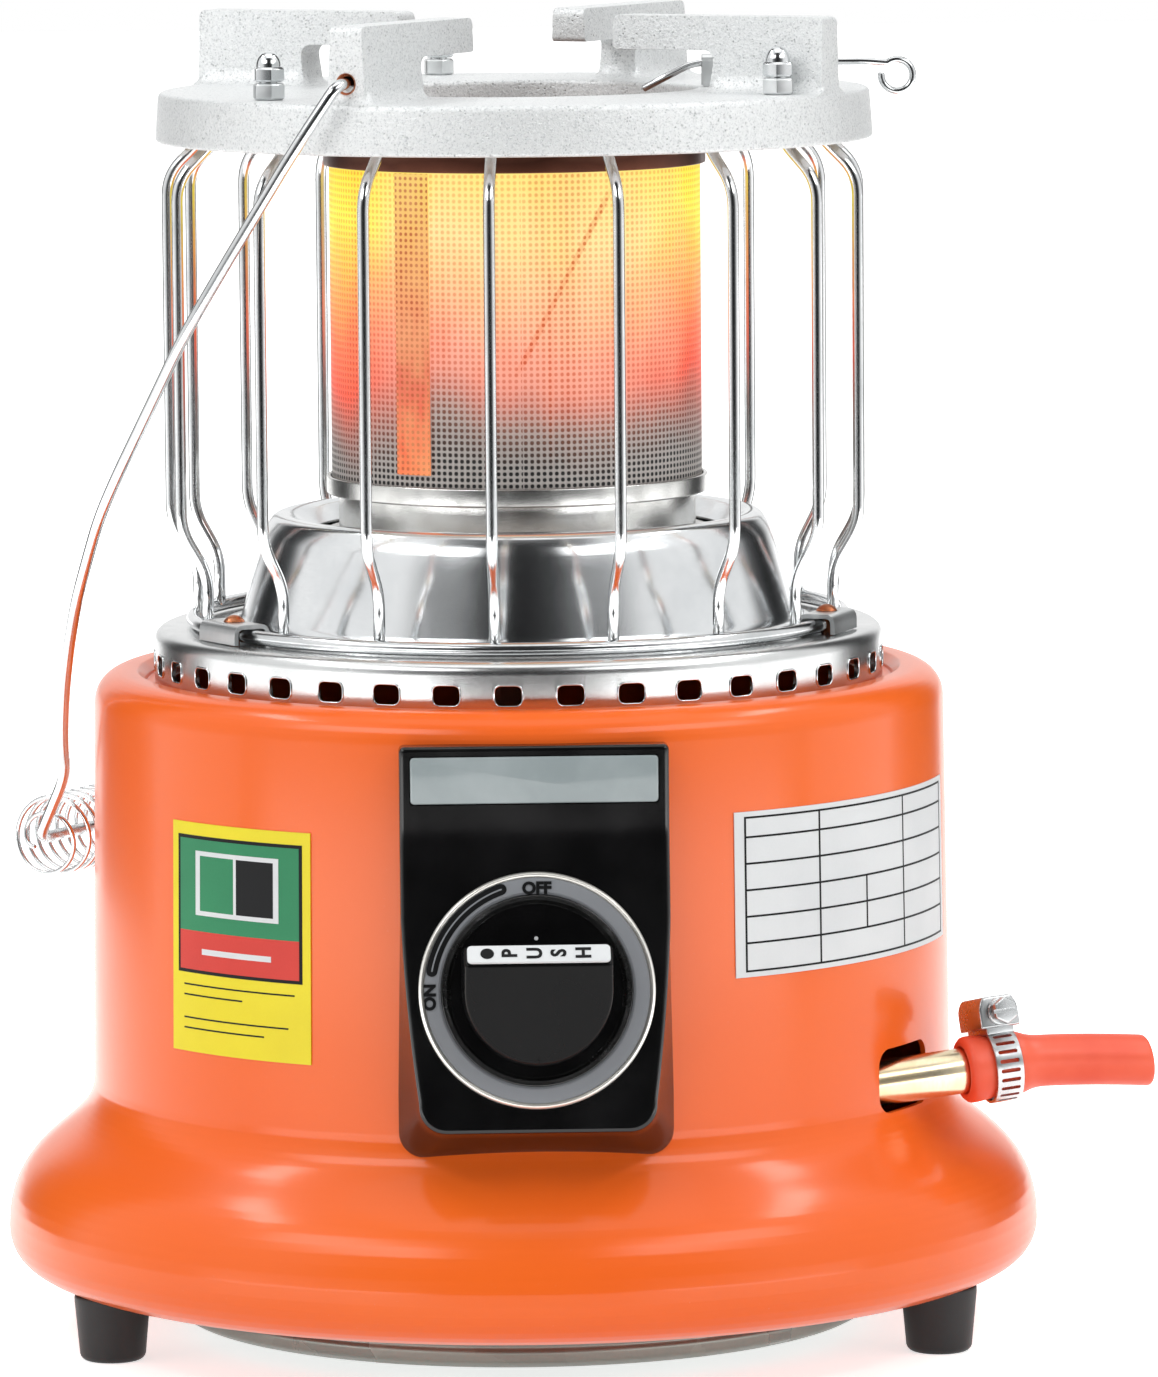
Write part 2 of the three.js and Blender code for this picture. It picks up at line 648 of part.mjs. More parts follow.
// The shell's outside from its rim to its collar, a distance away from the steel.
function shellLine(away, steps) {
  const bend = SKIRT_HEIGHT + FLARE_SHARE * (SKIRT_TOP - SKIRT_HEIGHT);
  const under = curve([
    [RIM_RADIUS, RIM_HEIGHT - away], [SKIRT_RADIUS + away, RIM_HEIGHT - away],
    [SKIRT_RADIUS + away, SKIRT_HEIGHT],
  ], steps);
  const flare = curve([
    [SKIRT_RADIUS + away, SKIRT_HEIGHT], [SKIRT_RADIUS + away, bend],
    [SHELL_RADIUS + away, bend], [SHELL_RADIUS + away, SKIRT_TOP],
  ], steps + 2);
  const shoulder = arc(
    SHELL_TOP_RADIUS - SHOULDER_RADIUS, SHELL_TOP - SHOULDER_RADIUS,
    SHOULDER_RADIUS + away, 0, 90, BEND_STEPS + 1,
  );
  return [...under, ...flare.slice(1), ...shoulder];
}

function shellForm(away) {
  const line = shellLine(away, LINE_STEPS);
  const [first, last] = [line[0], line[line.length - 1]];
  return turned([[0, first[1]], ...line, [0, last[1]]]);
}

function makeShell() {
  const collar = COLLAR_RADIUS;
  const opening = TRAY_RADIUS + SHEET;
  const profile = [
    [opening, RIM_HEIGHT], ...shellLine(0, LINE_STEPS),
    [collar + COLLAR_DROP, SHELL_TOP], [collar, SHELL_TOP - COLLAR_DROP], [collar, ledgeTop],
    [collar - LEDGE_WIDTH, ledgeTop], [collar - LEDGE_WIDTH, ledgeTop - SHELL_WALL],
    [collar + SHELL_WALL, ledgeTop - SHELL_WALL],
    ...shellLine(-SHELL_WALL, LINE_STEPS - 1).reverse(), [opening, RIM_HEIGHT + SHELL_WALL],
  ];
  const slotOutline = rounded(
    [-SLOT_WIDTH / 2, PIPE_EXIT_HEIGHT + SLOT_LIFT - SLOT_HEIGHT / 2],
    [SLOT_WIDTH / 2, PIPE_EXIT_HEIGHT + SLOT_LIFT + SLOT_HEIGHT / 2], SLOT_CORNER,
  );
  const slot = facing(slotOutline, SHELL_RADIUS + OVERRUN, SHELL_RADIUS - SLOT_WIDTH);
  const stem = rod(
    dialPoint(0, 0, 0), dialPoint(0, VALVE_FRONT + OVERRUN, 0), SPINDLE_RADIUS + 2 * RUN_GAP,
  );
  return cut(turned(profile), turnedTo(slot, PIPE_EXIT_ANGLE), stem);
}

function makeTray() {
  const wall = TRAY_RADIUS - SHEET;
  const corner = TRAY_CORNER - SHEET;
  return turned([
    [0, TRAY_BOTTOM],
    ...arc(TRAY_RADIUS - TRAY_CORNER, TRAY_BOTTOM + TRAY_CORNER, TRAY_CORNER, -90, 0, BEND_STEPS),
    [TRAY_RADIUS, trayFlangeBottom], [TRAY_RADIUS + TRAY_FLANGE, trayFlangeBottom],
    [TRAY_RADIUS + TRAY_FLANGE, trayFlangeBottom + SHEET], [wall, trayFlangeBottom + SHEET],
    [wall, TRAY_BOTTOM + TRAY_CORNER], [wall - corner, TRAY_BOTTOM + SHEET],
    [0, TRAY_BOTTOM + SHEET],
  ]);
}

function makeFoot(angle) {
  const cone = rod(
    polar(FOOT_CIRCLE, angle, 0), polar(FOOT_CIRCLE, angle, SKIRT_HEIGHT - OVERRUN),
    FOOT_RADIUS, ROUND_SIDES, FOOT_TOP_RADIUS,
  );
  return cut(cone, shellForm(SEAT_GAP));
}

function ventHole() {
  const half = [VENT_HOLE_WIDTH / 2, VENT_HOLE_HEIGHT / 2];
  const outline = rounded(
    [-half[0], VENT_HOLE_CENTRE - half[1]], [half[0], VENT_HOLE_CENTRE + half[1]],
    VENT_HOLE_CORNER, VENT_HOLE_CORNER, 1,
  );
  return facing(outline, VENT_RADIUS + OVERRUN, VENT_RADIUS - OVERRUN);
}

function makeVentRing() {
  const line = [
    [VENT_RADIUS - VENT_FLANGE, ventBottom + SHEET], [VENT_RADIUS - SHEET, ventBottom + SHEET],
    ...arc(
      VENT_RADIUS - VENT_CORNER, VENT_TOP - VENT_CORNER, VENT_CORNER - SHEET, 0, 90, BEND_STEPS,
    ),
    [VENT_DECK_HOLE, VENT_TOP - SHEET], [VENT_DECK_HOLE, VENT_TOP],
    ...arc(VENT_RADIUS - VENT_CORNER, VENT_TOP - VENT_CORNER, VENT_CORNER, 90, 0, BEND_STEPS),
    [VENT_RADIUS, ventBottom], [VENT_RADIUS - VENT_FLANGE, ventBottom],
  ];
  const holes = Array.from({ length: VENT_HOLES }, (_, i) => (
    turnedTo(ventHole(), VENT_FIRST_ANGLE + (360 * i) / VENT_HOLES)
  ));
  const rivets = CLIP_ANGLES.map((angle) => rod(
    polar(GUARD_RING_RADIUS, angle, VENT_TOP - SHEET - OVERRUN),
    polar(GUARD_RING_RADIUS, angle, VENT_TOP + OVERRUN), RIVET_RADIUS + SEAT_GAP, PIN_SIDES,
  ));
  return cut(turned(line), ...holes, ...rivets);
}

function makeReflector() {
  const base = deckTop + SEAT_GAP;
  const lip = base + REFLECTOR_RISE;
  return turned(sheetProfile([
    [REFLECTOR_INNER_RADIUS, panTop + SHEET + SEAT_GAP],
    [(REFLECTOR_INNER_RADIUS + REFLECTOR_LIP_RADIUS) / 2, lip - SHEET],
    [REFLECTOR_LIP_RADIUS, lip],
    [(REFLECTOR_LIP_RADIUS + REFLECTOR_SHOULDER_RADIUS) / 2, lip - SHEET],
    [REFLECTOR_SHOULDER_RADIUS, base + REFLECTOR_SHOULDER_RISE],
    [REFLECTOR_RADIUS, base + SHEET],
    [REFLECTOR_RADIUS + REFLECTOR_FLANGE, base + SHEET],
  ].reverse(), SHEET), CORE_SIDES);
}

function makePan() {
  const base = deckTop + SEAT_GAP;
  const bowl = turned([
    [PAN_HOLE, panTop], [PAN_RADIUS, panTop], [PAN_RADIUS, base + SHEET],
    [PAN_RADIUS + PAN_FLANGE, base + SHEET], [PAN_RADIUS + PAN_FLANGE, base],
    [PAN_RADIUS - SHEET, base], [PAN_RADIUS - SHEET, panTop - SHEET], [PAN_HOLE, panTop - SHEET],
  ], CORE_SIDES);
  const holes = [[ELECTRODE_ANGLE, ELECTRODE_RADIUS], [PROBE_ANGLE, PROBE_RADIUS]];
  return cut(bowl, ...holes.map(([angle, radius]) => rod(
    polar(PROBE_CIRCLE, angle, panTop - SHEET - OVERRUN),
    polar(PROBE_CIRCLE, angle, panTop + OVERRUN), radius + SEAT_GAP,
  )));
}

function makeBaseRing() {
  const mouth = MESH_RADIUS + SEAT_GAP;
  const skirt = mouth - RING_SKIRT_DROP;
  return turned([
    [mouth, RING_STEP + RING_WALL], [mouth, RING_TOP], [mouth + RING_WALL, RING_TOP],
    [mouth + RING_WALL, RING_STEP], [skirt, RING_STEP], [skirt, ringBottom + RING_WALL],
    [skirt + RING_FOOT, ringBottom + RING_WALL], [skirt + RING_FOOT, ringBottom],
    [skirt - RING_WALL, ringBottom], [skirt - RING_WALL, RING_STEP + RING_WALL],
  ], CORE_SIDES);
}

function makeMesh() {
  const inner = MESH_RADIUS - MESH_WALL;
  return turned([
    [inner, meshBottom], [MESH_RADIUS, meshBottom], [MESH_RADIUS, MESH_TOP], [inner, MESH_TOP],
  ], CORE_SIDES);
}

function makeSeam() {
  const gap = MESH_RADIUS + LABEL_GAP;
  const low = RING_TOP + SEAM_LIFT;
  const high = COLLAR_BOTTOM - SEAT_GAP;
  const band = turned([
    [gap, low], [gap + SEAM_WALL, low], [gap + SEAM_WALL, high], [gap, high],
  ], CORE_SIDES);
  const window = block(
    vec(-SEAM_WIDTH / 2, -gap - SEAM_WALL - OVERRUN, low - OVERRUN),
    vec(SEAM_WIDTH / 2, 0, high + OVERRUN),
  );
  return overlap(band, turnedTo(window, SEAM_ANGLE));
}

function makeCollar() {
  const mouth = MESH_RADIUS + SEAT_GAP;
  return turned([
    [mouth, COLLAR_BOTTOM], [mouth + RING_WALL, COLLAR_BOTTOM], [mouth + RING_WALL, collarTop],
    [mouth - COLLAR_SHELF, collarTop], [mouth - COLLAR_SHELF, collarTop - RING_WALL],
    [mouth, collarTop - RING_WALL],
  ], CORE_SIDES);
}

function makeCap() {
  const base = collarTop + SEAT_GAP;
  return turned([
    [0, base], [CAP_RADIUS, base], [CAP_RADIUS, base + CAP_RIM],
    [CAP_DOME_RADIUS, base + CAP_RIM], [CAP_DOME_RADIUS / 2, base + CAP_RIM + CAP_DOME],
    [0, base + CAP_RIM + CAP_DOME],
  ], CORE_SIDES);
}

function makeHead() {
  const base = panTop + SEAT_GAP;
  const top = base + HEAD_HEIGHT;
  const throat = PAN_HOLE - HEAD_WALL;
  const dome = turned([
    [throat, base], [HEAD_RADIUS, base], [HEAD_RADIUS, top], [HEAD_RADIUS / 2, top + HEAD_CROWN],
    [0, top + HEAD_CROWN], [0, top + HEAD_CROWN - HEAD_WALL],
    [HEAD_RADIUS / 2, top + HEAD_CROWN - HEAD_WALL], [HEAD_RADIUS - HEAD_WALL, top - HEAD_WALL],
    [HEAD_RADIUS - HEAD_WALL, base + HEAD_WALL], [throat, base + HEAD_WALL],
  ], CORE_SIDES);
  const ports = Array.from({ length: HEAD_PORTS }, (_, i) => rod(
    polar(HEAD_RADIUS - HEAD_WALL - OVERRUN, (360 * i) / HEAD_PORTS, base + HEAD_HEIGHT / 2),
    polar(HEAD_RADIUS + OVERRUN, (360 * i) / HEAD_PORTS, base + HEAD_HEIGHT / 2),
    HEAD_PORT_RADIUS, WIRE_SIDES,
  ));
  return cut(dome, ...ports);
}

// The mixing tube runs from the jet's axis up to the underside of the head.
function makeTube() {
  const reach = VALVE_FRONT + VALVE_DEPTH + BELL_GAP;
  const start = dialPoint(0, reach, 0);
  const belled = dialPoint(0, reach + BELL_LENGTH, 0);
  const corner = dialPoint(0, dialFront / Math.cos(tilt), 0);
  const top = vec(0, 0, panTop);
  const path = [start, ...bent([belled, corner, top], TUBE_BEND, 4)];
  const radii = path.map((_, i) => (i === 0 ? BELL_RADIUS : TUBE_RADIUS));
  const bore = [...path];
  bore[0] = start.clone().add(start.clone().sub(belled).setLength(OVERRUN));
  bore[bore.length - 1] = top.clone().setZ(top.z + OVERRUN);
  const flare = (BELL_RADIUS - TUBE_RADIUS) * (OVERRUN / BELL_LENGTH);
  const boreRadii = radii.map((radius, i) => radius - TUBE_WALL + (i === 0 ? flare : 0));
  return cut(wire(path, radii, ROUND_SIDES), wire(bore, boreRadii, ROUND_SIDES));
}

function makeProbe(angle, radius, rise, tipRadius, tip) {
  const at = (height) => polar(PROBE_CIRCLE, angle, panTop + height);
  const nut = plate(hexagon(PROBE_NUT_WIDTH), PROBE_NUT_HEIGHT)
    .translate(...at(SEAT_GAP).toArray());
  return join(
    rod(at(-PROBE_TAIL), at(rise), radius, PIN_SIDES),
    nut,
    rod(at(rise - OVERRUN), at(rise + tip), tipRadius, WIRE_SIDES),
  );
}

function guardArc(radius, from, to, height, thickness) {
  const path = Array.from({ length: GUARD_ARC_STEPS + 1 }, (_, i) => (
    polar(radius, from + ((to - from) * i) / GUARD_ARC_STEPS, height)
  ));
  return wire(path, thickness);
}

function makeLug(angle) {
  return turnedTo(block(
    vec(-LUG_WIDTH / 2, -STUD_CIRCLE - LUG_WIDTH / 2, lugBottom),
    vec(LUG_WIDTH / 2, -GUARD_HEAD_RADIUS, lugBottom + LUG_THICKNESS),
  ), angle);
}

function makeGuard({ centre, pitch, from, to, studs }) {
  const outer = (pitch * (GUARD_WIRES - 1)) / 2;
  const uprights = Array.from({ length: GUARD_WIRES }, (_, i) => {
    const angle = centre - outer + pitch * i;
    return wire([
      polar(GUARD_FOOT_RADIUS, angle, ringHeight),
      polar(GUARD_FOOT_RADIUS, angle, GUARD_FOOT_BEND),
      polar(GUARD_RADIUS, angle, GUARD_WAIST_BEND),
      polar(GUARD_RADIUS, angle, GUARD_TOP_BEND),
      polar(GUARD_ENTRY_RADIUS, angle, GUARD_ENTRY_HEIGHT),
      polar(GUARD_HEAD_RADIUS, angle, guardHead),
    ], GUARD_WIRE);
  });
  const ends = [centre - outer, centre + outer, ...studs];
  const rail = guardArc(GUARD_RING_RADIUS, from, to, ringHeight, GUARD_RING_WIRE);
  const head = guardArc(
    GUARD_HEAD_RADIUS, Math.min(...ends), Math.max(...ends), guardHead, GUARD_WIRE,
  );
  const holes = studs.map((angle) => rod(
    polar(STUD_CIRCLE, angle, lugBottom - OVERRUN),
    polar(STUD_CIRCLE, angle, guardHead + OVERRUN), STUD_RADIUS + SEAT_GAP, PIN_SIDES,
  ));
  return cut(join(rail, ...uprights, head, ...studs.map(makeLug)), ...holes);
}

function makeClip(angle) {
  const half = [CLIP_LENGTH / 2, CLIP_WIDTH / 2];
  const low = deckTop + SEAT_GAP;
  const body = block(vec(-half[0], -half[1], low), vec(half[0], half[1], clipRoof + SHEET));
  const inside = block(
    vec(-half[0] - OVERRUN, SHEET - half[1], low - OVERRUN),
    vec(half[0] + OVERRUN, half[1] - SHEET, clipRoof),
  );
  const hole = rod(
    vec(0, 0, low), vec(0, 0, clipRoof + SHEET + OVERRUN), RIVET_RADIUS + SEAT_GAP, PIN_SIDES,
  );
  const clip = cut(body, inside, hole).translate(0, -GUARD_RING_RADIUS, 0);
  return turnedTo(clip, angle);
}

function makeRivet(angle) {
  const at = (height) => polar(GUARD_RING_RADIUS, angle, height);
  const seat = clipRoof + SHEET + SEAT_GAP;
  return join(
    rod(at(deckTop - SHEET - RIVET_TAIL), at(seat + RIVET_HEAD_HEIGHT / 2), RIVET_RADIUS, PIN_SIDES),
    rod(at(seat), at(seat + RIVET_HEAD_HEIGHT), RIVET_HEAD_RADIUS, PIN_SIDES, RIVET_HEAD_RADIUS / 2),
  );
}

function armShape() {
  const under = ARM_TOP - ARM_HOOK_DEPTH;
  const base = STAND_TOP - STAND_DECK / 2;
  const outline = [
    [ARM_OUTER, base],
    ...arc(ARM_OUTER - ARM_CORNER, ARM_TOP - ARM_CORNER, ARM_CORNER, 0, 90, BEND_STEPS),
    ...arc(ARM_INNER + ARM_CORNER, ARM_TOP - ARM_CORNER, ARM_CORNER, 90, 180, BEND_STEPS),
    [ARM_INNER, under], [ARM_POST - ARM_FILLET, under], [ARM_POST, under - ARM_FILLET],
    [ARM_POST - ARM_FILLET / 2, base],
  ];
  const arm = standing(outline, 1);
  const place = arm.getAttribute('position');
  for (let i = 0; i < place.count; i += 1) {
    const share = (place.getZ(i) - base) / (ARM_TOP - base);
    place.setX(i, place.getX(i) * THREE.MathUtils.lerp(ARM_FOOT_WIDTH, ARM_WIDTH, share));
  }
  return arm;
}

function makeStand() {
  const edge = STAND_RADIUS - STAND_DRAFT;
  const ring = turned([
    [STAND_RADIUS - STAND_WALL, STAND_BOTTOM], [STAND_RADIUS, STAND_BOTTOM],
    [edge, STAND_TOP - STAND_EDGE], [edge - STAND_EDGE, STAND_TOP], [STAND_HOLE, STAND_TOP],
    [STAND_HOLE, STAND_BOTTOM], [STAND_HOLE + STAND_WALL, STAND_BOTTOM],
    [STAND_HOLE + STAND_WALL, deckUnderside], [STAND_RADIUS - STAND_WALL, deckUnderside],
  ]);
  const arms = ARM_ANGLES.map((angle) => turnedTo(armShape(), angle));
  const studs = STUD_ANGLES.map((angle) => rod(
    polar(STUD_CIRCLE, angle, deckUnderside - OVERRUN),
    polar(STUD_CIRCLE, angle, STAND_TOP + OVERRUN), STUD_RADIUS + SEAT_GAP, PIN_SIDES,
  ));
  const sockets = [BAIL_ANGLE, BAIL_ANGLE + 180].map((angle) => rod(
    polar(ARM_OUTER - BAIL_HOLE_DEPTH, angle, BAIL_HEIGHT),
    polar(ARM_OUTER + OVERRUN, angle, BAIL_HEIGHT), BAIL_HOLE_RADIUS,
  ));
  return cut(join(ring, ...arms), ...studs, ...sockets);
}

function makeStud(angle) {
  const at = (height) => polar(STUD_CIRCLE, angle, height);
  const headTop = lugBottom - SEAT_GAP;
  const top = STAND_TOP + 2 * SEAT_GAP + LOCK_NUT_HEIGHT + CAP_NUT_BORE - RUN_GAP;
  return join(
    rod(at(headTop - STUD_HEAD_HEIGHT / 2), at(top), STUD_RADIUS, PIN_SIDES),
    rod(at(headTop - STUD_HEAD_HEIGHT), at(headTop), STUD_HEAD_RADIUS, PIN_SIDES),
  );
}

function makeLockNut(angle) {
  const at = (height) => polar(STUD_CIRCLE, angle, height);
  const nut = plate(hexagon(NUT_WIDTH), LOCK_NUT_HEIGHT)
    .translate(...at(STAND_TOP + SEAT_GAP).toArray());
  return cut(nut, rod(
    at(STAND_TOP), at(STAND_TOP + SEAT_GAP + LOCK_NUT_HEIGHT + OVERRUN),
    STUD_RADIUS + SEAT_GAP, PIN_SIDES,
  ));
}

function makeCapNut(angle) {
  const base = STAND_TOP + 2 * SEAT_GAP + LOCK_NUT_HEIGHT;
  const nut = plate(hexagon(NUT_WIDTH), CAP_NUT_HEX_HEIGHT).translate(0, 0, base);
  const dome = turned([
    [0, base + CAP_NUT_HEX_HEIGHT / 2], [CAP_NUT_DOME, base + CAP_NUT_HEX_HEIGHT / 2],
    [CAP_NUT_DOME, base + CAP_NUT_HEX_HEIGHT],
    [CAP_NUT_DOME * Math.SQRT1_2, base + (CAP_NUT_HEX_HEIGHT + 2 * CAP_NUT_HEIGHT) / 3],
    [0, base + CAP_NUT_HEIGHT],
  ], PIN_SIDES);
  const bore = rod(
    vec(0, 0, base - OVERRUN), vec(0, 0, base + CAP_NUT_BORE), STUD_RADIUS + SEAT_GAP, PIN_SIDES,
  );
  return cut(join(nut, dome), bore).translate(...polar(STUD_CIRCLE, angle, 0).toArray());
}

// A point of the bail: along its axis, and down from that axis in the bail's own plane.
function bailPoint(along, down) {
  const out = polar(1, BAIL_ANGLE - 90, 0).multiplyScalar(BAIL_REST / BAIL_LENGTH);
  const hang = out.setZ(-Math.sqrt(1 - (BAIL_REST / BAIL_LENGTH) ** 2));
  return vec(0, 0, BAIL_HEIGHT)
    .addScaledVector(polar(1, BAIL_ANGLE, 0), along)
    .addScaledVector(hang, down);
}

function makeBail() {
  const pin = ARM_OUTER - BAIL_HOLE_DEPTH + 2 * RUN_GAP;
  const side = [
    [pin, 0], [BAIL_PLANE, 0],
    ...BAIL_OUTLINE_SHARES.map(([out, down]) => [out * BAIL_REACH, down * BAIL_LENGTH]),
    [BAIL_GRIP_HALF, BAIL_LENGTH],
  ];
  const other = side.map(([along, down]) => [-along, down]).reverse();
  const path = [...side, ...other].map((point) => bailPoint(...point));
  return wire(path, BAIL_WIRE);
}

// The grip is one spring. Its first and last curl close in on the bail's wire.
function gripPath() {
  const inner = BAIL_WIRE + GRIP_WIRE + SEAT_GAP;
  const turns = GRIP_CURLS + 2;
  const axis = polar(1, BAIL_ANGLE, 0);
  const down = bailPoint(0, 1).sub(bailPoint(0, 0));
  const across = vec(0, 0, 0).crossVectors(axis, down);
  const centre = bailPoint(0, BAIL_LENGTH);
  return Array.from({ length: turns * GRIP_STEPS + 1 }, (_, i) => {
    const turn = i / GRIP_STEPS;
    const open = Math.min(turn, turns - turn, 1);
    const radius = inner + (GRIP_RADIUS - inner) * open ** 0.7;
    const angle = 2 * Math.PI * turn;
    return centre.clone()
      .addScaledVector(axis, GRIP_SPAN * (turn / turns - 0.5))
      .addScaledVector(down, radius * Math.cos(angle))
      .addScaledVector(across, radius * Math.sin(angle));
  });
}

// The least gap between two stretches of the spring that are half a curl apart or more.
function leastGap(path, radius, apart) {
  let least = Infinity;
  for (let i = 0; i < path.length; i += 1) {
    for (let k = i + apart; k < path.length; k += 1) {
      least = Math.min(least, path[i].distanceTo(path[k]) - 2 * radius);
    }
  }
  return least;
}

function makeGrip() {
  const path = gripPath();
  console.log('grip spring, least gap to itself (mm):',
    leastGap(path, GRIP_WIRE, GRIP_STEPS / 2).toFixed(2));
  return wire(path, GRIP_WIRE, GRIP_SIDES);
}

function makeRod() {
  const eye = arc(ROD_EYE_CENTRE, ROD_HEIGHT - ROD_EYE_DROP, ROD_EYE_RADIUS, 128, -190, 12);
  const start = ROD_EYE_CENTRE - 2 * ROD_EYE_RADIUS;
  const path = [
    vec(ROD_CRANK_END, 0, ROD_HEIGHT - ROD_CRANK_DROP), vec(ROD_CRANK_START, 0, ROD_HEIGHT),
    vec(start, 0, ROD_HEIGHT), ...eye.map(([x, z]) => vec(x, 0, z)),
  ];
  return wire(path, ROD_WIRE);
}

function makeBearing() {
  const low = STAND_TOP + SEAT_GAP;
  const top = ROD_HEIGHT + ROD_WIRE + SEAT_GAP + BEARING_ROOF;
  const half = BEARING_WIDTH / 2;
  const saddle = block(
    vec(BEARING_START, -half, low), vec(BEARING_START + BEARING_LENGTH, half, top),
  );
  const tunnel = block(
    vec(BEARING_START - OVERRUN, BEARING_ROOF - half, low - OVERRUN),
    vec(BEARING_START + BEARING_LENGTH + OVERRUN, half - BEARING_ROOF, top - BEARING_ROOF),
  );
  return cut(saddle, tunnel);
}

function panelLoop(distance) {
  const proud = distance - SHELL_RADIUS;
  const side = PANEL_WIDTH / 2 - PANEL_SIDE_SLOPE * proud;
  const low = PANEL_BOTTOM + PANEL_BOTTOM_SLOPE * proud;
  return rounded([-side, low], [side, PANEL_TOP], PANEL_CORNER, PANEL_TOP_CORNER)
    .map(([x, z]) => vec(x, -distance, z));
}

function makePanel() {
  const back = SHELL_RADIUS - PANEL_DEPTH / 2;
  const front = SHELL_RADIUS + PANEL_DEPTH;
  const low = PANEL_BOTTOM - OVERRUN;
  const wedge = facing(
    [[-1, -1], [1, -1], [1, 1], [-1, 1]].map(([x, z]) => [x * PANEL_WIDTH, z * PANEL_HEIGHT]),
    PANEL_DEPTH, 0,
  );
  const faceTilt = wedge.rotateX(-tilt).translate(0, -faceFront, PANEL_BREAK);
  const upper = block(
    vec(-PANEL_WIDTH, -front - OVERRUN, PANEL_BREAK - OVERRUN),
    vec(PANEL_WIDTH, -faceFront, PANEL_TOP + OVERRUN),
  );
  const bore = rod(
    dialPoint(0, -OVERRUN, 0), dialPoint(0, PANEL_DEPTH, 0), SPINDLE_RADIUS + 2 * RUN_GAP,
  );
  const sized = SHELL_RADIUS - SHELL_TOP_RADIUS;
  const body = lofted([panelLoop(back + 2 * sized), panelLoop(front)]);
  const trimmed = block(
    vec(-PANEL_WIDTH / 2, -front - OVERRUN, low), vec(PANEL_WIDTH / 2, 0, PANEL_TOP),
  );
  const pocket = facing(windowOutline(SEAT_GAP), faceFront + OVERRUN, faceFront - WINDOW_DEPTH);
  return cut(overlap(body, trimmed), shellForm(SEAT_GAP), faceTilt, upper, bore, pocket);
}

function windowOutline(away) {
  const half = WINDOW_WIDTH / 2 + away;
  return rounded(
    [-half, WINDOW_TOP - WINDOW_HEIGHT - away], [half, WINDOW_TOP + away], WINDOW_CORNER,
  );
}

function makeWindow() {
  return facing(windowOutline(0), faceFront - SEAT_GAP, faceFront - WINDOW_DEPTH + SEAT_GAP);
}

// A closed [radius, height] profile turned about the knob's axis, height counted outwards.
function onDial(profile, sides = CORE_SIDES) {
  return atDial(turned(profile, sides).rotateX(Math.PI / 2));
}

function makeDialRing() {
  const low = SEAT_GAP;
  const high = low + DIAL_THICKNESS;
  return onDial([
    [DIAL_INNER, low], [DIAL_RADIUS, low], [DIAL_RADIUS, high - DIAL_CHAMFER],
    [DIAL_RADIUS - DIAL_CHAMFER, high], [DIAL_RADIUS - 2 * DIAL_CHAMFER, high - DIAL_CHAMFER / 2],
    [DIAL_INNER + DIAL_CHAMFER, high - DIAL_CHAMFER / 2], [DIAL_INNER, high - DIAL_CHAMFER],
  ]);
}

function stemShape(radius, flat, from, to) {
  const round = rod(vec(0, to, 0), vec(0, from, 0), radius);
  const shave = block(
    vec(-radius - OVERRUN, from - OVERRUN, flat), vec(radius + OVERRUN, to + OVERRUN, 2 * radius),
  );
  return cut(round, shave);
}

function makeKnob() {
  const outline = [
    ...arc(0, 0, KNOB_RADIUS, 180, 360, 10), [KNOB_RADIUS, KNOB_FLAT], [-KNOB_RADIUS, KNOB_FLAT],
  ];
  const body = facing(outline, knobBack + KNOB_DEPTH, knobBack);
  const fall = Math.atan2(KNOB_DEPTH - KNOB_TOE_DEPTH, KNOB_RADIUS + KNOB_FLAT - KNOB_CHAMFER);
  const slope = block(
    vec(-2 * KNOB_RADIUS, -KNOB_DEPTH, -3 * KNOB_RADIUS), vec(2 * KNOB_RADIUS, 0, 0),
  ).rotateX(fall).translate(0, -knobBack - KNOB_DEPTH, KNOB_FLAT - KNOB_CHAMFER);
  const chamfer = block(
    vec(-2 * KNOB_RADIUS, -KNOB_DEPTH, -KNOB_CHAMFER), vec(2 * KNOB_RADIUS, 0, 2 * KNOB_DEPTH),
  ).rotateX(-radians(40)).translate(0, -knobBack - KNOB_DEPTH, KNOB_FLAT - KNOB_CHAMFER);
  const bore = stemShape(
    SPINDLE_RADIUS + SEAT_GAP, SPINDLE_FLAT + SEAT_GAP,
    -knobBack - SPINDLE_ENGAGE - KNOB_TRAVEL - RUN_GAP, -knobBack + OVERRUN,
  );
  return atDial(cut(body, slope, chamfer, bore));
}

function makeStrip() {
  const strip = facing(rounded(
    [-STRIP_LENGTH / 2, -STRIP_WIDTH / 2], [STRIP_LENGTH / 2, STRIP_WIDTH / 2], WINDOW_CORNER,
  ), STRIP_THICKNESS, 0);
  const up = STRIP_WIDTH / 2 + SEAT_GAP;
  strip.translate(0, -SEAT_GAP, up).rotateX(-radians(40));
  return atDial(strip.translate(0, -knobBack - KNOB_DEPTH, KNOB_FLAT - KNOB_CHAMFER));
}

function makeSpindle() {
  return atDial(stemShape(
    SPINDLE_RADIUS, SPINDLE_FLAT, -knobBack - SPINDLE_ENGAGE,
    VALVE_FRONT + VALVE_SOCKET - RUN_GAP,
  ));
}

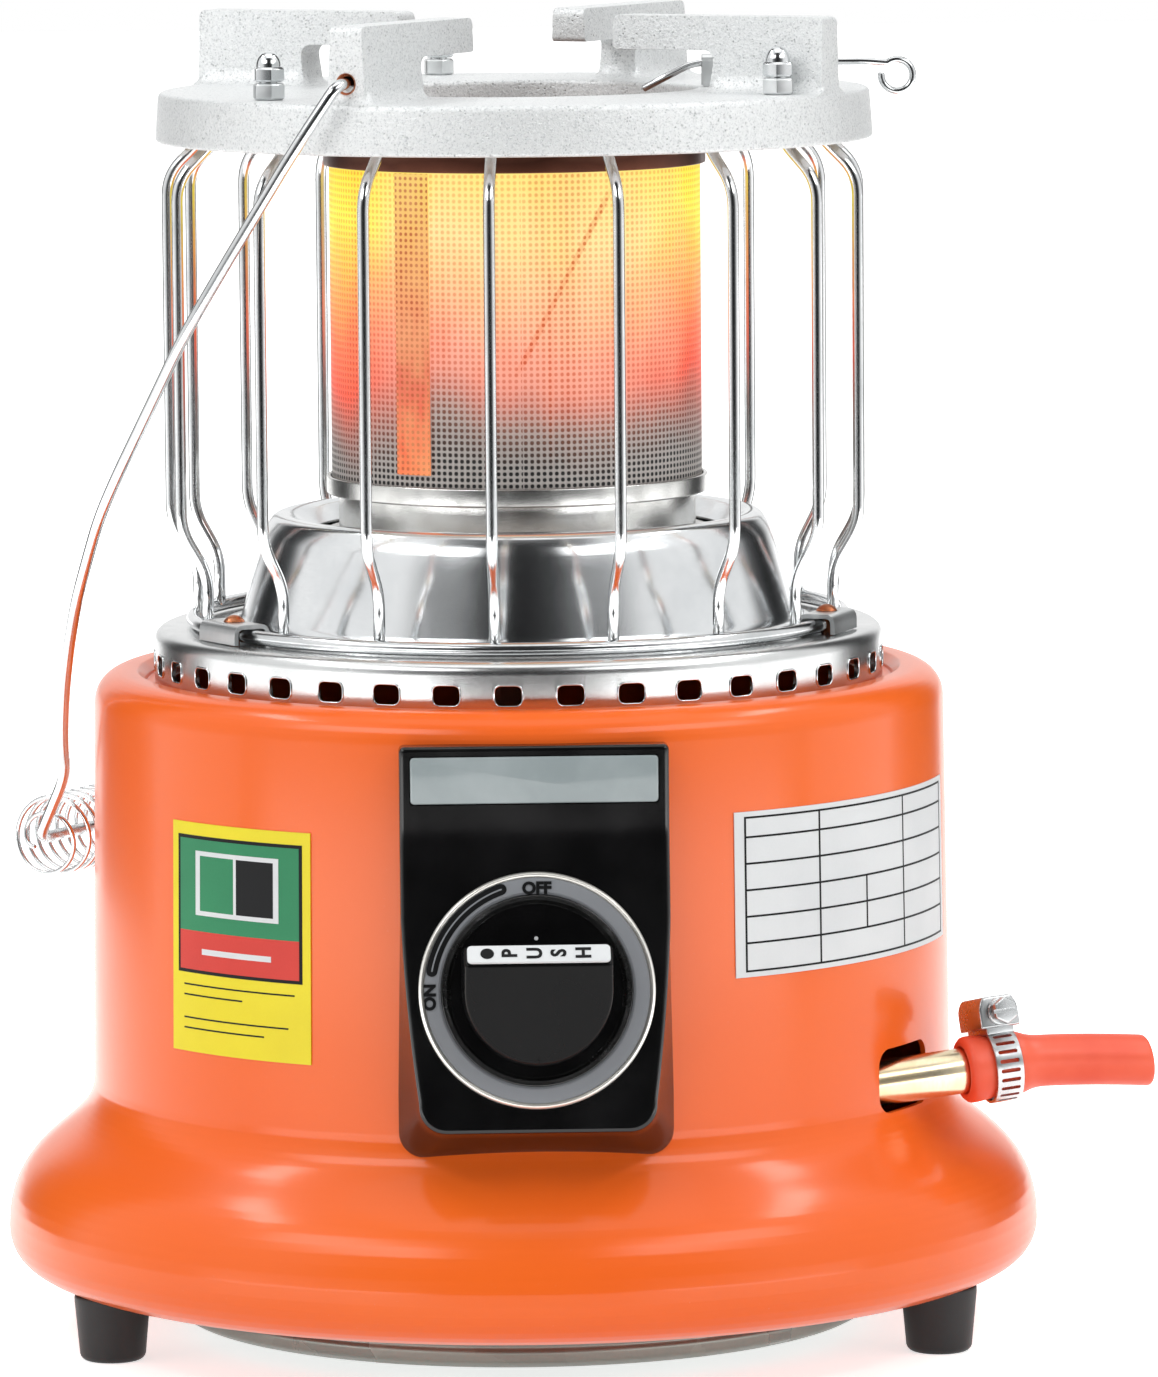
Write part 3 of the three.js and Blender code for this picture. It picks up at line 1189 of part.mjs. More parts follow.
function makeValve() {
  const half = [VALVE_WIDTH / 2, VALVE_HEIGHT / 2];
  const back = VALVE_FRONT + VALVE_DEPTH;
  const body = block(vec(-half[0], VALVE_FRONT, -half[1]), vec(half[0], back, half[1]));
  const middle = VALVE_FRONT + VALVE_DEPTH / 2;
  const port = rod(
    vec(0, middle, OVERRUN - half[1]), vec(0, middle, -half[1] - VALVE_PORT_LENGTH),
    VALVE_PORT_RADIUS,
  );
  const inlet = rod(
    vec(0, middle, VALVE_PORT_LENGTH - half[1]),
    vec(0, middle, -half[1] - VALVE_PORT_LENGTH - OVERRUN), PIPE_RADIUS + SEAT_GAP,
  );
  const outlet = rod(
    vec(0, back - JET_LENGTH, 0), vec(0, back + OVERRUN, 0), JET_RADIUS + SEAT_GAP,
  );
  const socket = rod(
    vec(0, VALVE_FRONT - OVERRUN, 0), vec(0, VALVE_FRONT + VALVE_SOCKET, 0),
    SPINDLE_RADIUS + RUN_GAP,
  );
  return atDial(cut(join(body, port), inlet, outlet, socket));
}

// The bracket fills the room between the valve's front and the inside of the shell.
function makeBracket() {
  const half = [BRACKET_WIDTH / 2, BRACKET_HEIGHT / 2];
  const slab = atDial(block(
    vec(-half[0], 0, -half[1]), vec(half[0], VALVE_FRONT - SEAT_GAP, half[1]),
  ));
  const inside = shellForm(-SHELL_WALL - SEAT_GAP);
  const hole = rod(
    dialPoint(0, -OVERRUN, 0), dialPoint(0, VALVE_FRONT + OVERRUN, 0), BRACKET_HOLE,
  );
  return cut(overlap(slab, inside), hole);
}

function makeJet() {
  const back = VALVE_FRONT + VALVE_DEPTH;
  const start = back + SEAT_GAP;
  const hex = facing(hexagon(JET_HEX_WIDTH), 0, -JET_HEX_LENGTH).translate(0, start, 0);
  const stem = rod(
    vec(0, back - JET_LENGTH + SEAT_GAP, 0), vec(0, start + JET_HEX_LENGTH / 2, 0), JET_RADIUS,
  );
  const nose = rod(
    vec(0, start + JET_HEX_LENGTH / 2, 0), vec(0, start + JET_HEX_LENGTH + JET_LENGTH / 2, 0),
    JET_RADIUS, ROUND_SIDES, JET_RADIUS / 2,
  );
  const bore = rod(
    vec(0, back - JET_LENGTH - OVERRUN, 0),
    vec(0, start + JET_HEX_LENGTH + JET_LENGTH, 0), JET_BORE, WIRE_SIDES,
  );
  return atDial(cut(join(hex, stem, nose), bore));
}

function pipeExit() {
  return polar(SHELL_RADIUS, PIPE_EXIT_ANGLE, PIPE_EXIT_HEIGHT);
}

function alongPipe(distance) {
  return pipeExit().addScaledVector(heading(PIPE_HEADING, PIPE_CLIMB), distance);
}

function makePipe() {
  const middle = VALVE_FRONT + VALVE_DEPTH / 2;
  const top = dialPoint(0, middle, VALVE_PORT_LENGTH - SEAT_GAP - VALVE_HEIGHT / 2);
  const way = heading(PIPE_HEADING, PIPE_CLIMB);
  const reach = top.x - pipeExit().x;
  const corner = pipeExit().addScaledVector(way, reach / way.x);
  const elbow = dialPoint(0, middle, 0);
  const down = dialPoint(0, middle, -1).sub(elbow);
  const drop = corner.clone().sub(top).dot(down);
  const low = top.clone().addScaledVector(down, drop);
  const path = bent([top, low, alongPipe(0), alongPipe(PIPE_RUN)], PIPE_BEND, 3);
  const bore = path.map((point) => point.clone());
  bore[0].addScaledVector(down, -OVERRUN);
  bore[bore.length - 1].addScaledVector(way, OVERRUN);
  return cut(wire(path, PIPE_RADIUS, ROUND_SIDES), wire(bore, PIPE_BORE, ROUND_SIDES));
}

function hosePoint(distance) {
  const free = Math.max(0, distance - HOSE_SWELL) / (HOSE_LENGTH - HOSE_SWELL);
  const sag = HOSE_DROOP * free ** 2;
  return alongPipe(HOSE_START + distance).add(vec(0, 0, -sag));
}

function makeHose() {
  const free = HOSE_LENGTH - HOSE_SWELL - HOSE_TAPER;
  const stops = [
    0, HOSE_SWELL, HOSE_SWELL + HOSE_TAPER,
    HOSE_SWELL + HOSE_TAPER + free / 3, HOSE_LENGTH - free / 3, HOSE_LENGTH,
  ];
  const radii = stops.map((stop) => (stop <= HOSE_SWELL ? HOSE_SWELL_RADIUS : HOSE_RADIUS));
  const grip = PIPE_RUN - HOSE_START + SEAT_GAP;
  const fit = PIPE_RADIUS + SEAT_GAP;
  const boreStops = [-OVERRUN, grip, grip + HOSE_TAPER / 3, ...stops.slice(2)];
  boreStops[boreStops.length - 1] += OVERRUN;
  const boreRadii = boreStops.map((stop) => (stop <= grip ? fit : HOSE_RADIUS - HOSE_WALL));
  return cut(
    wire(stops.map(hosePoint), radii, ROUND_SIDES),
    wire(boreStops.map(hosePoint), boreRadii, ROUND_SIDES),
  );
}

// Turns what is made round the pipe's line, with that line along +X and up along +Z.
function onPipe(geometry, distance) {
  const along = heading(PIPE_HEADING, PIPE_CLIMB);
  const level = vec(0, 0, 1).cross(along).normalize();
  const up = along.clone().cross(level);
  const start = alongPipe(HOSE_START + distance);
  const matrix = new THREE.Matrix4().makeBasis(along, level, up).setPosition(start);
  return geometry.applyMatrix4(matrix);
}

function makeBand() {
  const inner = HOSE_SWELL_RADIUS + SEAT_GAP;
  const band = turned([
    [inner, 0], [inner + BAND_WALL, 0], [inner + BAND_WALL, BAND_WIDTH], [inner, BAND_WIDTH],
  ], 2 * ROUND_SIDES).rotateY(Math.PI / 2);
  const length = BAND_WIDTH * BAND_SLOT_SHARE;
  const middle = BAND_WIDTH / 2;
  const slots = Array.from({ length: BAND_SLOTS }, (_, i) => {
    const slot = block(
      vec(middle - length / 2, -inner - BAND_WALL - OVERRUN, -BAND_SLOT_WIDTH / 2),
      vec(middle + length / 2, -inner + OVERRUN / 2, BAND_SLOT_WIDTH / 2),
    );
    return slot.rotateX(radians(BAND_SLOT_PITCH * (i - (BAND_SLOTS - 1) / 2)));
  });
  return onPipe(cut(band, ...slots), BAND_START);
}

function housingPlace(geometry) {
  const height = HOSE_SWELL_RADIUS + BAND_WALL + 2 * SEAT_GAP;
  const centred = geometry.translate(BAND_WIDTH / 2, 0, height);
  return onPipe(centred.rotateX(-radians(HOUSING_TURN)), BAND_START);
}

function makeHousing() {
  const half = [HOUSING_WIDTH / 2, HOUSING_LENGTH / 2];
  const shoulder = HOUSING_HEIGHT / 2;
  const arch = arc(0, shoulder, half[0], 0, 180, 6);
  const outline = [[-half[0], 0], [half[0], 0], ...arch]
    .map(([x, z]) => [x, Math.min(z, HOUSING_HEIGHT)]);
  const body = facing(outline, half[1], -half[1]);
  const bore = rod(
    vec(0, -half[1] - OVERRUN, shoulder), vec(0, half[1] + OVERRUN, shoulder),
    CLAMP_SCREW_RADIUS + SEAT_GAP,
  );
  return housingPlace(cut(body, bore));
}

function makeClampScrew() {
  const half = HOUSING_LENGTH / 2;
  const shoulder = HOUSING_HEIGHT / 2;
  const shank = rod(
    vec(0, half + CLAMP_SCREW_TAIL, shoulder), vec(0, -half - CLAMP_HEAD_LENGTH / 2, shoulder),
    CLAMP_SCREW_RADIUS,
  );
  const seat = half + SEAT_GAP;
  const head = facing(hexagon(CLAMP_HEAD_WIDTH), seat + CLAMP_HEAD_LENGTH, seat)
    .translate(0, 0, shoulder);
  const slot = block(
    vec(-CLAMP_HEAD_WIDTH, -seat - CLAMP_HEAD_LENGTH - OVERRUN, shoulder - CLAMP_SLOT_WIDTH / 2),
    vec(CLAMP_HEAD_WIDTH, CLAMP_SLOT_DEPTH - seat - CLAMP_HEAD_LENGTH, shoulder + CLAMP_SLOT_WIDTH / 2),
  );
  return housingPlace(cut(join(shank, head), slot));
}

function makeLabel({ from, to, low, high }) {
  const inner = SHELL_RADIUS + LABEL_GAP;
  const outer = inner + LABEL_THICKNESS;
  const band = turned([[inner, low], [outer, low], [outer, high], [inner, high]]);
  const half = (to - from) / 2;
  const reach = 2 * SHELL_RADIUS;
  const wedge = plate([
    [0, 0], [-reach * Math.tan(radians(half)), -reach], [reach * Math.tan(radians(half)), -reach],
  ], high + OVERRUN);
  return overlap(band, turnedTo(wedge, (from + to) / 2));
}

function part(name, geometry, color, roughness, metalness) {
  const material = new THREE.MeshStandardMaterial({ color, roughness, metalness });
  const mesh = new THREE.Mesh(geometry, material);
  mesh.name = name;
  return mesh;
}

// Colours: [base colour, roughness, metalness]
const PAINT = [0xf26a1e, 0.3, 0];
const GALVANISED = [0xb4b8ba, 0.45, 1];
const RUBBER = [0x2b2f33, 0.75, 0];
const CHROME = [0xd8dadb, 0.12, 1];
const STAINLESS = [0xb9b9b6, 0.3, 1];
const HOT_MESH = [0xc9622c, 0.55, 0.7];
const BURNT = [0x6b3a2a, 0.6, 0.7];
const CASTING = [0xc9ccce, 0.5, 0.9];
const COPPER = [0xa8623c, 0.35, 1];
const BRASS = [0xc9a86a, 0.28, 1];
const BLACK_PLASTIC = [0x161719, 0.3, 0];
const DIAL_GREY = [0x8c8f92, 0.4, 0.6];
const WINDOW_GREY = [0xa9afb3, 0.35, 0];
const WHITE = [0xf1f2f2, 0.5, 0];
const YELLOW = [0xf4e51e, 0.45, 0];
const CERAMIC = [0xe8e4da, 0.5, 0];
const HOSE_RED = [0xf0603f, 0.5, 0];

const heater = new THREE.Group();
heater.add(
  part('body_shell', makeShell(), ...PAINT),
  part('bottom_tray', makeTray(), ...GALVANISED),
  part('vent_ring', makeVentRing(), ...STAINLESS),
  part('reflector', makeReflector(), ...CHROME),
  part('burner_pan', makePan(), ...BURNT),
  part('mesh_base_ring', makeBaseRing(), ...STAINLESS),
  part('emitter_mesh', makeMesh(), ...HOT_MESH),
  part('mesh_seam_strip', makeSeam(), ...BURNT),
  part('mesh_collar', makeCollar(), ...BURNT),
  part('burner_cap', makeCap(), ...STAINLESS),
  part('burner_head', makeHead(), ...CASTING),
  part('mixing_tube', makeTube(), ...GALVANISED),
  part(
    'igniter_electrode',
    makeProbe(ELECTRODE_ANGLE, ELECTRODE_RADIUS, ELECTRODE_RISE, ELECTRODE_TIP_RADIUS, ELECTRODE_TIP),
    ...CERAMIC,
  ),
  part(
    'thermocouple',
    makeProbe(PROBE_ANGLE, PROBE_RADIUS, PROBE_RISE, ELECTRODE_TIP_RADIUS, ELECTRODE_TIP / 2),
    ...COPPER,
  ),
);
FOOT_ANGLES.forEach((angle, i) => {
  heater.add(part(`foot_${i + 1}`, makeFoot(angle), ...RUBBER));
});
GUARD_PANELS.forEach((panel) => {
  heater.add(part(panel.name, makeGuard(panel), ...CHROME));
});
CLIP_ANGLES.forEach((angle, i) => {
  heater.add(part(`guard_clip_${i + 1}`, makeClip(angle), ...STAINLESS));
  heater.add(part(`clip_rivet_${i + 1}`, makeRivet(angle), ...COPPER));
});
heater.add(part('pan_stand', makeStand(), ...CASTING));
STUD_ANGLES.forEach((angle, i) => {
  heater.add(part(`stud_${i + 1}`, makeStud(angle), ...GALVANISED));
  heater.add(part(`lock_nut_${i + 1}`, makeLockNut(angle), ...STAINLESS));
  heater.add(part(`cap_nut_${i + 1}`, makeCapNut(angle), ...CHROME));
});
heater.add(
  part('bail_wire', makeBail(), ...CHROME),
  part('bail_grip', makeGrip(), ...CHROME),
  part('turn_rod', makeRod(), ...CHROME),
  part('rod_bearing', makeBearing(), ...STAINLESS),
  part('control_panel', makePanel(), ...BLACK_PLASTIC),
  part('panel_window', makeWindow(), ...WINDOW_GREY),
  part('dial_ring', makeDialRing(), ...DIAL_GREY),
  part('control_knob', makeKnob(), ...BLACK_PLASTIC),
  part('knob_strip', makeStrip(), ...WHITE),
  part('valve_spindle', makeSpindle(), ...BRASS),
  part('gas_valve', makeValve(), ...BRASS),
  part('valve_bracket', makeBracket(), ...GALVANISED),
  part('gas_jet', makeJet(), ...BRASS),
  part('gas_pipe', makePipe(), ...BRASS),
  part('gas_hose', makeHose(), ...HOSE_RED),
  part('clamp_band', makeBand(), ...STAINLESS),
  part('clamp_housing', makeHousing(), ...STAINLESS),
  part('clamp_screw', makeClampScrew(), ...STAINLESS),
  part('front_sticker', makeLabel(STICKER), ...YELLOW),
  part('rating_label', makeLabel(PLATE), ...WHITE),
);
heater.position.z = -TRAY_BOTTOM;

export default heater;
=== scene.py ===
"""A portable propane heater with a cast pan stand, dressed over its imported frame.

Lengths in this script are millimetres above the floor, and angles are degrees counted from the
front towards +X. The frame is in metres, with its zero on the tray's underside.
"""

import logging
import math
from collections.abc import Callable
from dataclasses import dataclass, field
from enum import Enum
from functools import cache

import bmesh
import bpy
import numpy as np
from mathutils import Matrix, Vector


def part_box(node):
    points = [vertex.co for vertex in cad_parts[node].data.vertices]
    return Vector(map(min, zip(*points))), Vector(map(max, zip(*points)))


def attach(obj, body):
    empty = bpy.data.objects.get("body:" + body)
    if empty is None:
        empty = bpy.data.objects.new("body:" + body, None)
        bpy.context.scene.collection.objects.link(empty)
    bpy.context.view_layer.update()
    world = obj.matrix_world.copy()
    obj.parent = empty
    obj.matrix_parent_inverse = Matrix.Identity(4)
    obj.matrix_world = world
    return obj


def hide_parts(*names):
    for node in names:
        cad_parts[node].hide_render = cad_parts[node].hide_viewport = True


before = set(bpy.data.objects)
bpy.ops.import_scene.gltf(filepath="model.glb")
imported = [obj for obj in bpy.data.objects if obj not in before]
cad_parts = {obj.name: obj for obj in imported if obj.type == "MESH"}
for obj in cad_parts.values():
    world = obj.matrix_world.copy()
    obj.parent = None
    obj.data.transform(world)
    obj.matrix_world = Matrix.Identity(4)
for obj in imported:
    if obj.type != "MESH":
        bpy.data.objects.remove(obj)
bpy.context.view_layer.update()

log = logging.getLogger("heater")

Array = np.ndarray
Placing = Callable[[Array], Array]
Pair = tuple[float, float]
Triple = tuple[float, float, float]
Quad = tuple[float, float, float, float]
Stops = tuple[tuple[float, str], ...]
Mesh = bpy.types.Mesh
Socket = bpy.types.NodeSocket
Sockets = bpy.types.bpy_prop_collection

MM = 0.001
TRAY_BOTTOM = 4.5
FULL_TURN = 360.0
RIGHT_ANGLE = 90.0
MERGE = 2e-6
SHARP_ANGLE = 34.0
AROUND = 192
CORNER_STEPS = 4
SUBSTITUTIONS = 6
CLEARANCE = 0.3
CUT_EDGE = 0.01
LONGEST_LEG = 0.48

SHELL_RADIUS = 120.5
SHELL_TOP_RADIUS = 119.0
DECK = 198.7
SHEET = 1.2
STUD_CIRCLE = 88.0
BAIL_ANGLE = -29.3
BAIL_HEIGHT = 353.5


class Body(Enum):
    """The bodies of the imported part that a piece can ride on."""

    HEATER = "heater_body"
    KNOB = "knob"
    BAIL = "bail"
    ROD = "rod"


class Slot(Enum):
    """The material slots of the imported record."""

    PAINT = "paint"
    GALVANISED = "galvanised"
    RUBBER = "rubber"
    CHROME = "chrome"
    STAINLESS = "stainless"
    HOT_MESH = "hot_mesh"
    BURNT_STEEL = "burnt_steel"
    CASTING = "casting"
    COPPER = "copper"
    BRASS = "brass"
    BLACK_PLASTIC = "black_plastic"
    DIAL_GREY = "dial_grey"
    WINDOW_GREY = "window_grey"
    WHITE = "white"
    YELLOW = "yellow"
    HOSE_RED = "hose_red"


# Surfaces as arrays of points


@dataclass
class Grid:
    """A surface on a grid of points, with its pattern coordinates in metres.

    Attributes:
        points: rows x columns x 3, in millimetres above the floor.
        pattern: rows x columns x 2, how far along and round the surface each point lies.
    """

    points: Array
    pattern: Array

    def placed(self, placing: Placing) -> "Grid":
        """The same grid after a change of place."""
        return Grid(placing(self.points), self.pattern)


@dataclass
class Solid:
    """What becomes one mesh: grids, and flat faces given by their outline."""

    grids: list[Grid] = field(default_factory=list)
    caps: list[Array] = field(default_factory=list)

    def placed(self, placing: Placing) -> "Solid":
        """The same solid after a change of place."""
        return Solid([g.placed(placing) for g in self.grids], [placing(c) for c in self.caps])

    def __add__(self, other: "Solid") -> "Solid":
        """Both solids as one piece."""
        return Solid(self.grids + other.grids, self.caps + other.caps)


def gathered(solids: list[Solid]) -> Solid:
    """Several solids as one piece."""
    return Solid([g for solid in solids for g in solid.grids], [c for solid in solids for c in solid.caps])


def together(*parts: Array | float) -> Array:
    """Coordinates of one shape, or that broadcast to one, as the last axis of an array."""
    return np.stack(np.broadcast_arrays(*parts), -1)


def polar(radius: Array | float, angle: Array | float, height: Array | float) -> Array:
    """Points round Z: x = r sin a, y = -r cos a, z = h.

    Args:
        radius: distance from Z.
        angle: degrees from the front towards +X.
        height: above the floor.

    Returns:
        The points, with a last axis of 3.
    """
    turn = np.radians(angle)
    return together(radius * np.sin(turn), -radius * np.cos(turn), height)


def turned_to(angle: float) -> Placing:
    """A turn about Z that takes what was made at the front to an angle.

    Args:
        angle: in degrees.

    Returns:
        What turns points so.
    """
    cos, sin = math.cos(math.radians(angle)), math.sin(math.radians(angle))
    matrix = np.array([[cos, sin, 0], [-sin, cos, 0], [0, 0, 1]])
    return lambda points: points @ matrix


def unit(vectors: Array) -> Array:
    """Vectors divided by their own lengths."""
    return vectors / np.maximum(np.linalg.norm(vectors, axis=-1, keepdims=True), 1e-12)


def beside(path: Array) -> Array:
    """The normals of a path in a plane: its tangents (u, v) turned to (-v, u)."""
    return unit(np.gradient(path, axis=0)) @ np.array([[0.0, 1.0], [-1.0, 0.0]])


def arc_points(centre: tuple, radius: float, start: float, stop: float, steps: int = 8) -> Array:
    """Points (cx + r cos a, cy + r sin a) for angles from start to stop in degrees."""
    turn = np.radians(np.linspace(start, stop, steps + 1))
    return together(centre[0] + radius * np.cos(turn), centre[1] + radius * np.sin(turn))


def bezier(points: list[tuple], steps: int) -> Array:
    """A Bezier curve through its control points, by Bernstein's sum.

    Args:
        points: the control points.
        steps: how many stretches the curve is cut into.

    Returns:
        steps + 1 points: the sum over k of C(n, k) t^k (1 - t)^(n - k) p_k.
    """
    control = np.array(points, float)
    order = len(control) - 1
    t = np.linspace(0, 1, steps + 1)[:, None]
    k = np.arange(order + 1)[None, :]
    share = np.array([math.comb(order, i) for i in range(order + 1)])[None, :]
    return (share * t**k * (1 - t) ** (order - k)) @ control


def soften(path: Array, reach: float | Array, steps: int = CORNER_STEPS, closed: bool = False) -> Array:
    """Rounds the corners of a path, each with (1-t)^2 a + 2 t (1-t) p + t^2 b.

    Args:
        path: n points of two or three coordinates.
        reach: how far the rounding runs along each leg, at most 0.48 of the leg.
        steps: stretches in each corner.
        closed: whether the last point joins the first, which the result then repeats.

    Returns:
        The rounded path without doubled points.
    """
    path = np.asarray(path, float)
    before, after = np.roll(path, 1, 0) - path, np.roll(path, -1, 0) - path
    legs = np.minimum(np.linalg.norm(before, axis=1), np.linalg.norm(after, axis=1))
    room = np.minimum(np.broadcast_to(reach, legs.shape), LONGEST_LEG * legs)
    if not closed:
        room = room * np.r_[0.0, np.ones(len(path) - 2), 0.0]
    start, stop = path + unit(before) * room[:, None], path + unit(after) * room[:, None]
    t = np.linspace(0, 1, steps + 1)[None, :, None]
    bends = (1 - t) ** 2 * start[:, None] + 2 * t * (1 - t) * path[:, None] + t**2 * stop[:, None]
    flat = bends.reshape(-1, path.shape[1])
    flat = flat[np.r_[True, np.linalg.norm(np.diff(flat, axis=0), axis=1) > 1e-5]]
    return np.vstack([flat, flat[:1]]) if closed else flat


def measured(path: Array) -> Array:
    """How far along a path each of its points lies, in metres."""
    steps = np.linalg.norm(np.diff(path, axis=0), axis=-1)
    return np.r_[0.0, np.cumsum(steps)] * MM


def turned(profile: Array, reach: float | Array = 0.4, sides: int = AROUND, closed: bool = True,
           span: Pair = (0.0, FULL_TURN)) -> Solid:
    """A profile of (radius, height) points turned about Z: x = r sin a, y = -r cos a, z = h.

    Args:
        profile: the profile's corners.
        reach: rounding of the corners.
        sides: stretches in the turn.
        closed: whether the profile is a closed loop; an open one starts and ends on the axis.
        span: the angles between which it is turned.

    Returns:
        The surface as a solid.
    """
    line = soften(profile, reach, closed=closed)
    angle = np.linspace(*span, sides + 1)
    points = polar(line[:, None, 0], angle, line[:, None, 1])
    return Solid([Grid(points, together(np.radians(angle) * line[:, 0].max() * MM, measured(line)[:, None]))])


def ring_stations(path: Array, reference: Array) -> tuple[Array, Array, Array]:
    """Frames that are square to a path: t = dp/ds, s = r - (r.t) t and c = t x s.

    Args:
        path: n points in space.
        reference: a direction, or one for each point, that is never along the path.

    Returns:
        The tangents, the sides and the crosses, each n x 3.
    """
    tangent = unit(np.gradient(path, axis=0))
    reference = np.broadcast_to(np.asarray(reference, float), path.shape)
    side = unit(reference - (reference * tangent).sum(-1, keepdims=True) * tangent)
    return tangent, side, np.cross(tangent, side)


def swept(path: Array, radius: float | Array, reference: Array, sides: int = 12, tip: float = 0.35,
          closed: bool = False) -> Solid:
    """A round wire along a path: p + r (s cos a + c sin a), with eased ends.

    Args:
        path: n points in space.
        radius: one radius, or one for each point.
        reference: a direction that is never along the path.
        sides: points round the wire.
        tip: the easing of each end, as a share of the radius.
        closed: whether the path's last point repeats its first, so that it has no ends.

    Returns:
        The wire as a solid.
    """
    radius = np.broadcast_to(np.asarray(radius, float), path.shape[:1]).copy()
    tangent, side, cross = ring_stations(path, reference)
    if closed:
        seam = unit(path[1] - path[-2])
        tangent[0] = tangent[-1] = seam
        flat = np.broadcast_to(np.asarray(reference, float), path.shape)[0]
        side[0] = side[-1] = unit(flat - (flat @ seam) * seam)
        cross[0] = cross[-1] = np.cross(seam, side[0])
        pick, scale, shift = np.arange(len(path)), np.ones(len(path)), np.zeros(len(path))
    else:
        last = len(path) - 1
        pick = np.r_[0, 0, 0, np.arange(1, last), last, last, last]
        scale = np.r_[0, 1 - tip, 1, np.ones(last - 1), 1, 1 - tip, 0]
        shift = np.r_[0, 0, tip, np.zeros(last - 1), -tip, 0, 0]
    middle = path[pick] + tangent[pick] * (shift * radius[pick])[:, None]
    size = (radius[pick] * scale)[:, None, None]
    turn = np.linspace(0, 2 * np.pi, sides + 1)[None, :, None]
    points = middle[:, None] + size * (side[pick][:, None] * np.cos(turn) + cross[pick][:, None]
                                       * np.sin(turn))
    return Solid([Grid(points, together(turn[0, :, 0] * radius.max() * MM, measured(middle)[:, None]))])


def stationed(axis: Placing, stations: Array, sides: int = 48) -> Solid:
    """A surface turned about a line: (d, r cos a, r sin a) for stations of distance and radius.

    Args:
        axis: takes points with the line along +X to their place.
        stations: n pairs of distance and radius.
        sides: points round the line.

    Returns:
        The surface as a solid.
    """
    stations = np.asarray(stations, float)
    turn = np.linspace(0, 2 * np.pi, sides + 1)
    distance, radius = stations[:, :1], stations[:, 1:]
    points = together(distance, radius * np.cos(turn), radius * np.sin(turn))
    return Solid([Grid(axis(points), together(turn * radius.max() * MM, measured(stations)[:, None]))])


def inset(outline: Array, distance: float) -> Array:
    """A closed outline moved inwards by a distance, along the middle of its two edges' normals.

    Args:
        outline: its points, the first repeated at the end.
        distance: how far; a negative one moves it outwards.

    Returns:
        The moved outline.
    """
    ring = outline[:-1]
    ahead, behind = unit(np.roll(ring, -1, 0) - ring), unit(ring - np.roll(ring, 1, 0))
    area = 0.5 * np.sum(ring[:, 0] * np.roll(ring[:, 1], -1) - np.roll(ring[:, 0], -1) * ring[:, 1])
    middle = unit(ahead + behind)
    inward = together(-middle[:, 1], middle[:, 0]) * math.copysign(1.0, area)
    moved = ring + inward * distance / np.maximum((middle * ahead).sum(-1, keepdims=True), 0.5)
    return np.vstack([moved, moved[:1]])


def slab(outline: Array, low: float, high: float, edge: float = 0.4) -> Solid:
    """A plate from an outline in X and Z, thick along Y, with quarter-round edges.

    Args:
        outline: a closed outline, its first point repeated at the end.
        low: where the plate starts along Y.
        high: where it ends.
        edge: radius of its edges.

    Returns:
        The plate as a solid: rings moved in by e (1 - cos a) at depth e (1 - sin a), and two caps.
    """
    turn = np.radians(np.linspace(0, RIGHT_ANGLE, CORNER_STEPS))
    moves, depths = edge * (1 - np.cos(turn)), edge * (1 - np.sin(turn))
    rings = [(inset(outline, m), low + d) for m, d in zip(moves[::-1], depths[::-1])]
    rings += [(inset(outline, m), high - d) for m, d in zip(moves, depths)]
    points = np.stack([together(r[:, 0], y, r[:, 1]) for r, y in rings])
    return Solid([Grid(points, together(measured(outline), points[..., 1] * MM))],
                 [points[0][:-1], points[-1][:-1]])


def bent_sheet(line: Array, thickness: float, low: float, high: float, reach: float = 1.0) -> Solid:
    """A sheet bent along a line in Y and Z and cut off square at both ends along X.

    Args:
        line: the sheet's middle line, as points of (y, z).
        thickness: of the sheet.
        low: where it starts along X.
        high: where it ends.
        reach: rounding of its bends.

    Returns:
        The sheet: its loop carried along X, and the strip between both sides at each end.
    """
    middle = soften(line, reach)
    away = beside(middle) * thickness / 2
    outer, inner = middle + away, middle - away
    loop = np.vstack([outer, inner[::-1], outer[:1]])
    points = np.stack([together(x, *loop.T) for x in (low, high)])
    wall = Grid(points, together(measured(loop), points[..., 0] * MM))
    strips = [np.stack([together(x, *side.T) for side in (outer, inner)]) for x in (low, high)]
    return Solid([wall] + [Grid(s, s[..., 1:] * MM) for s in strips])


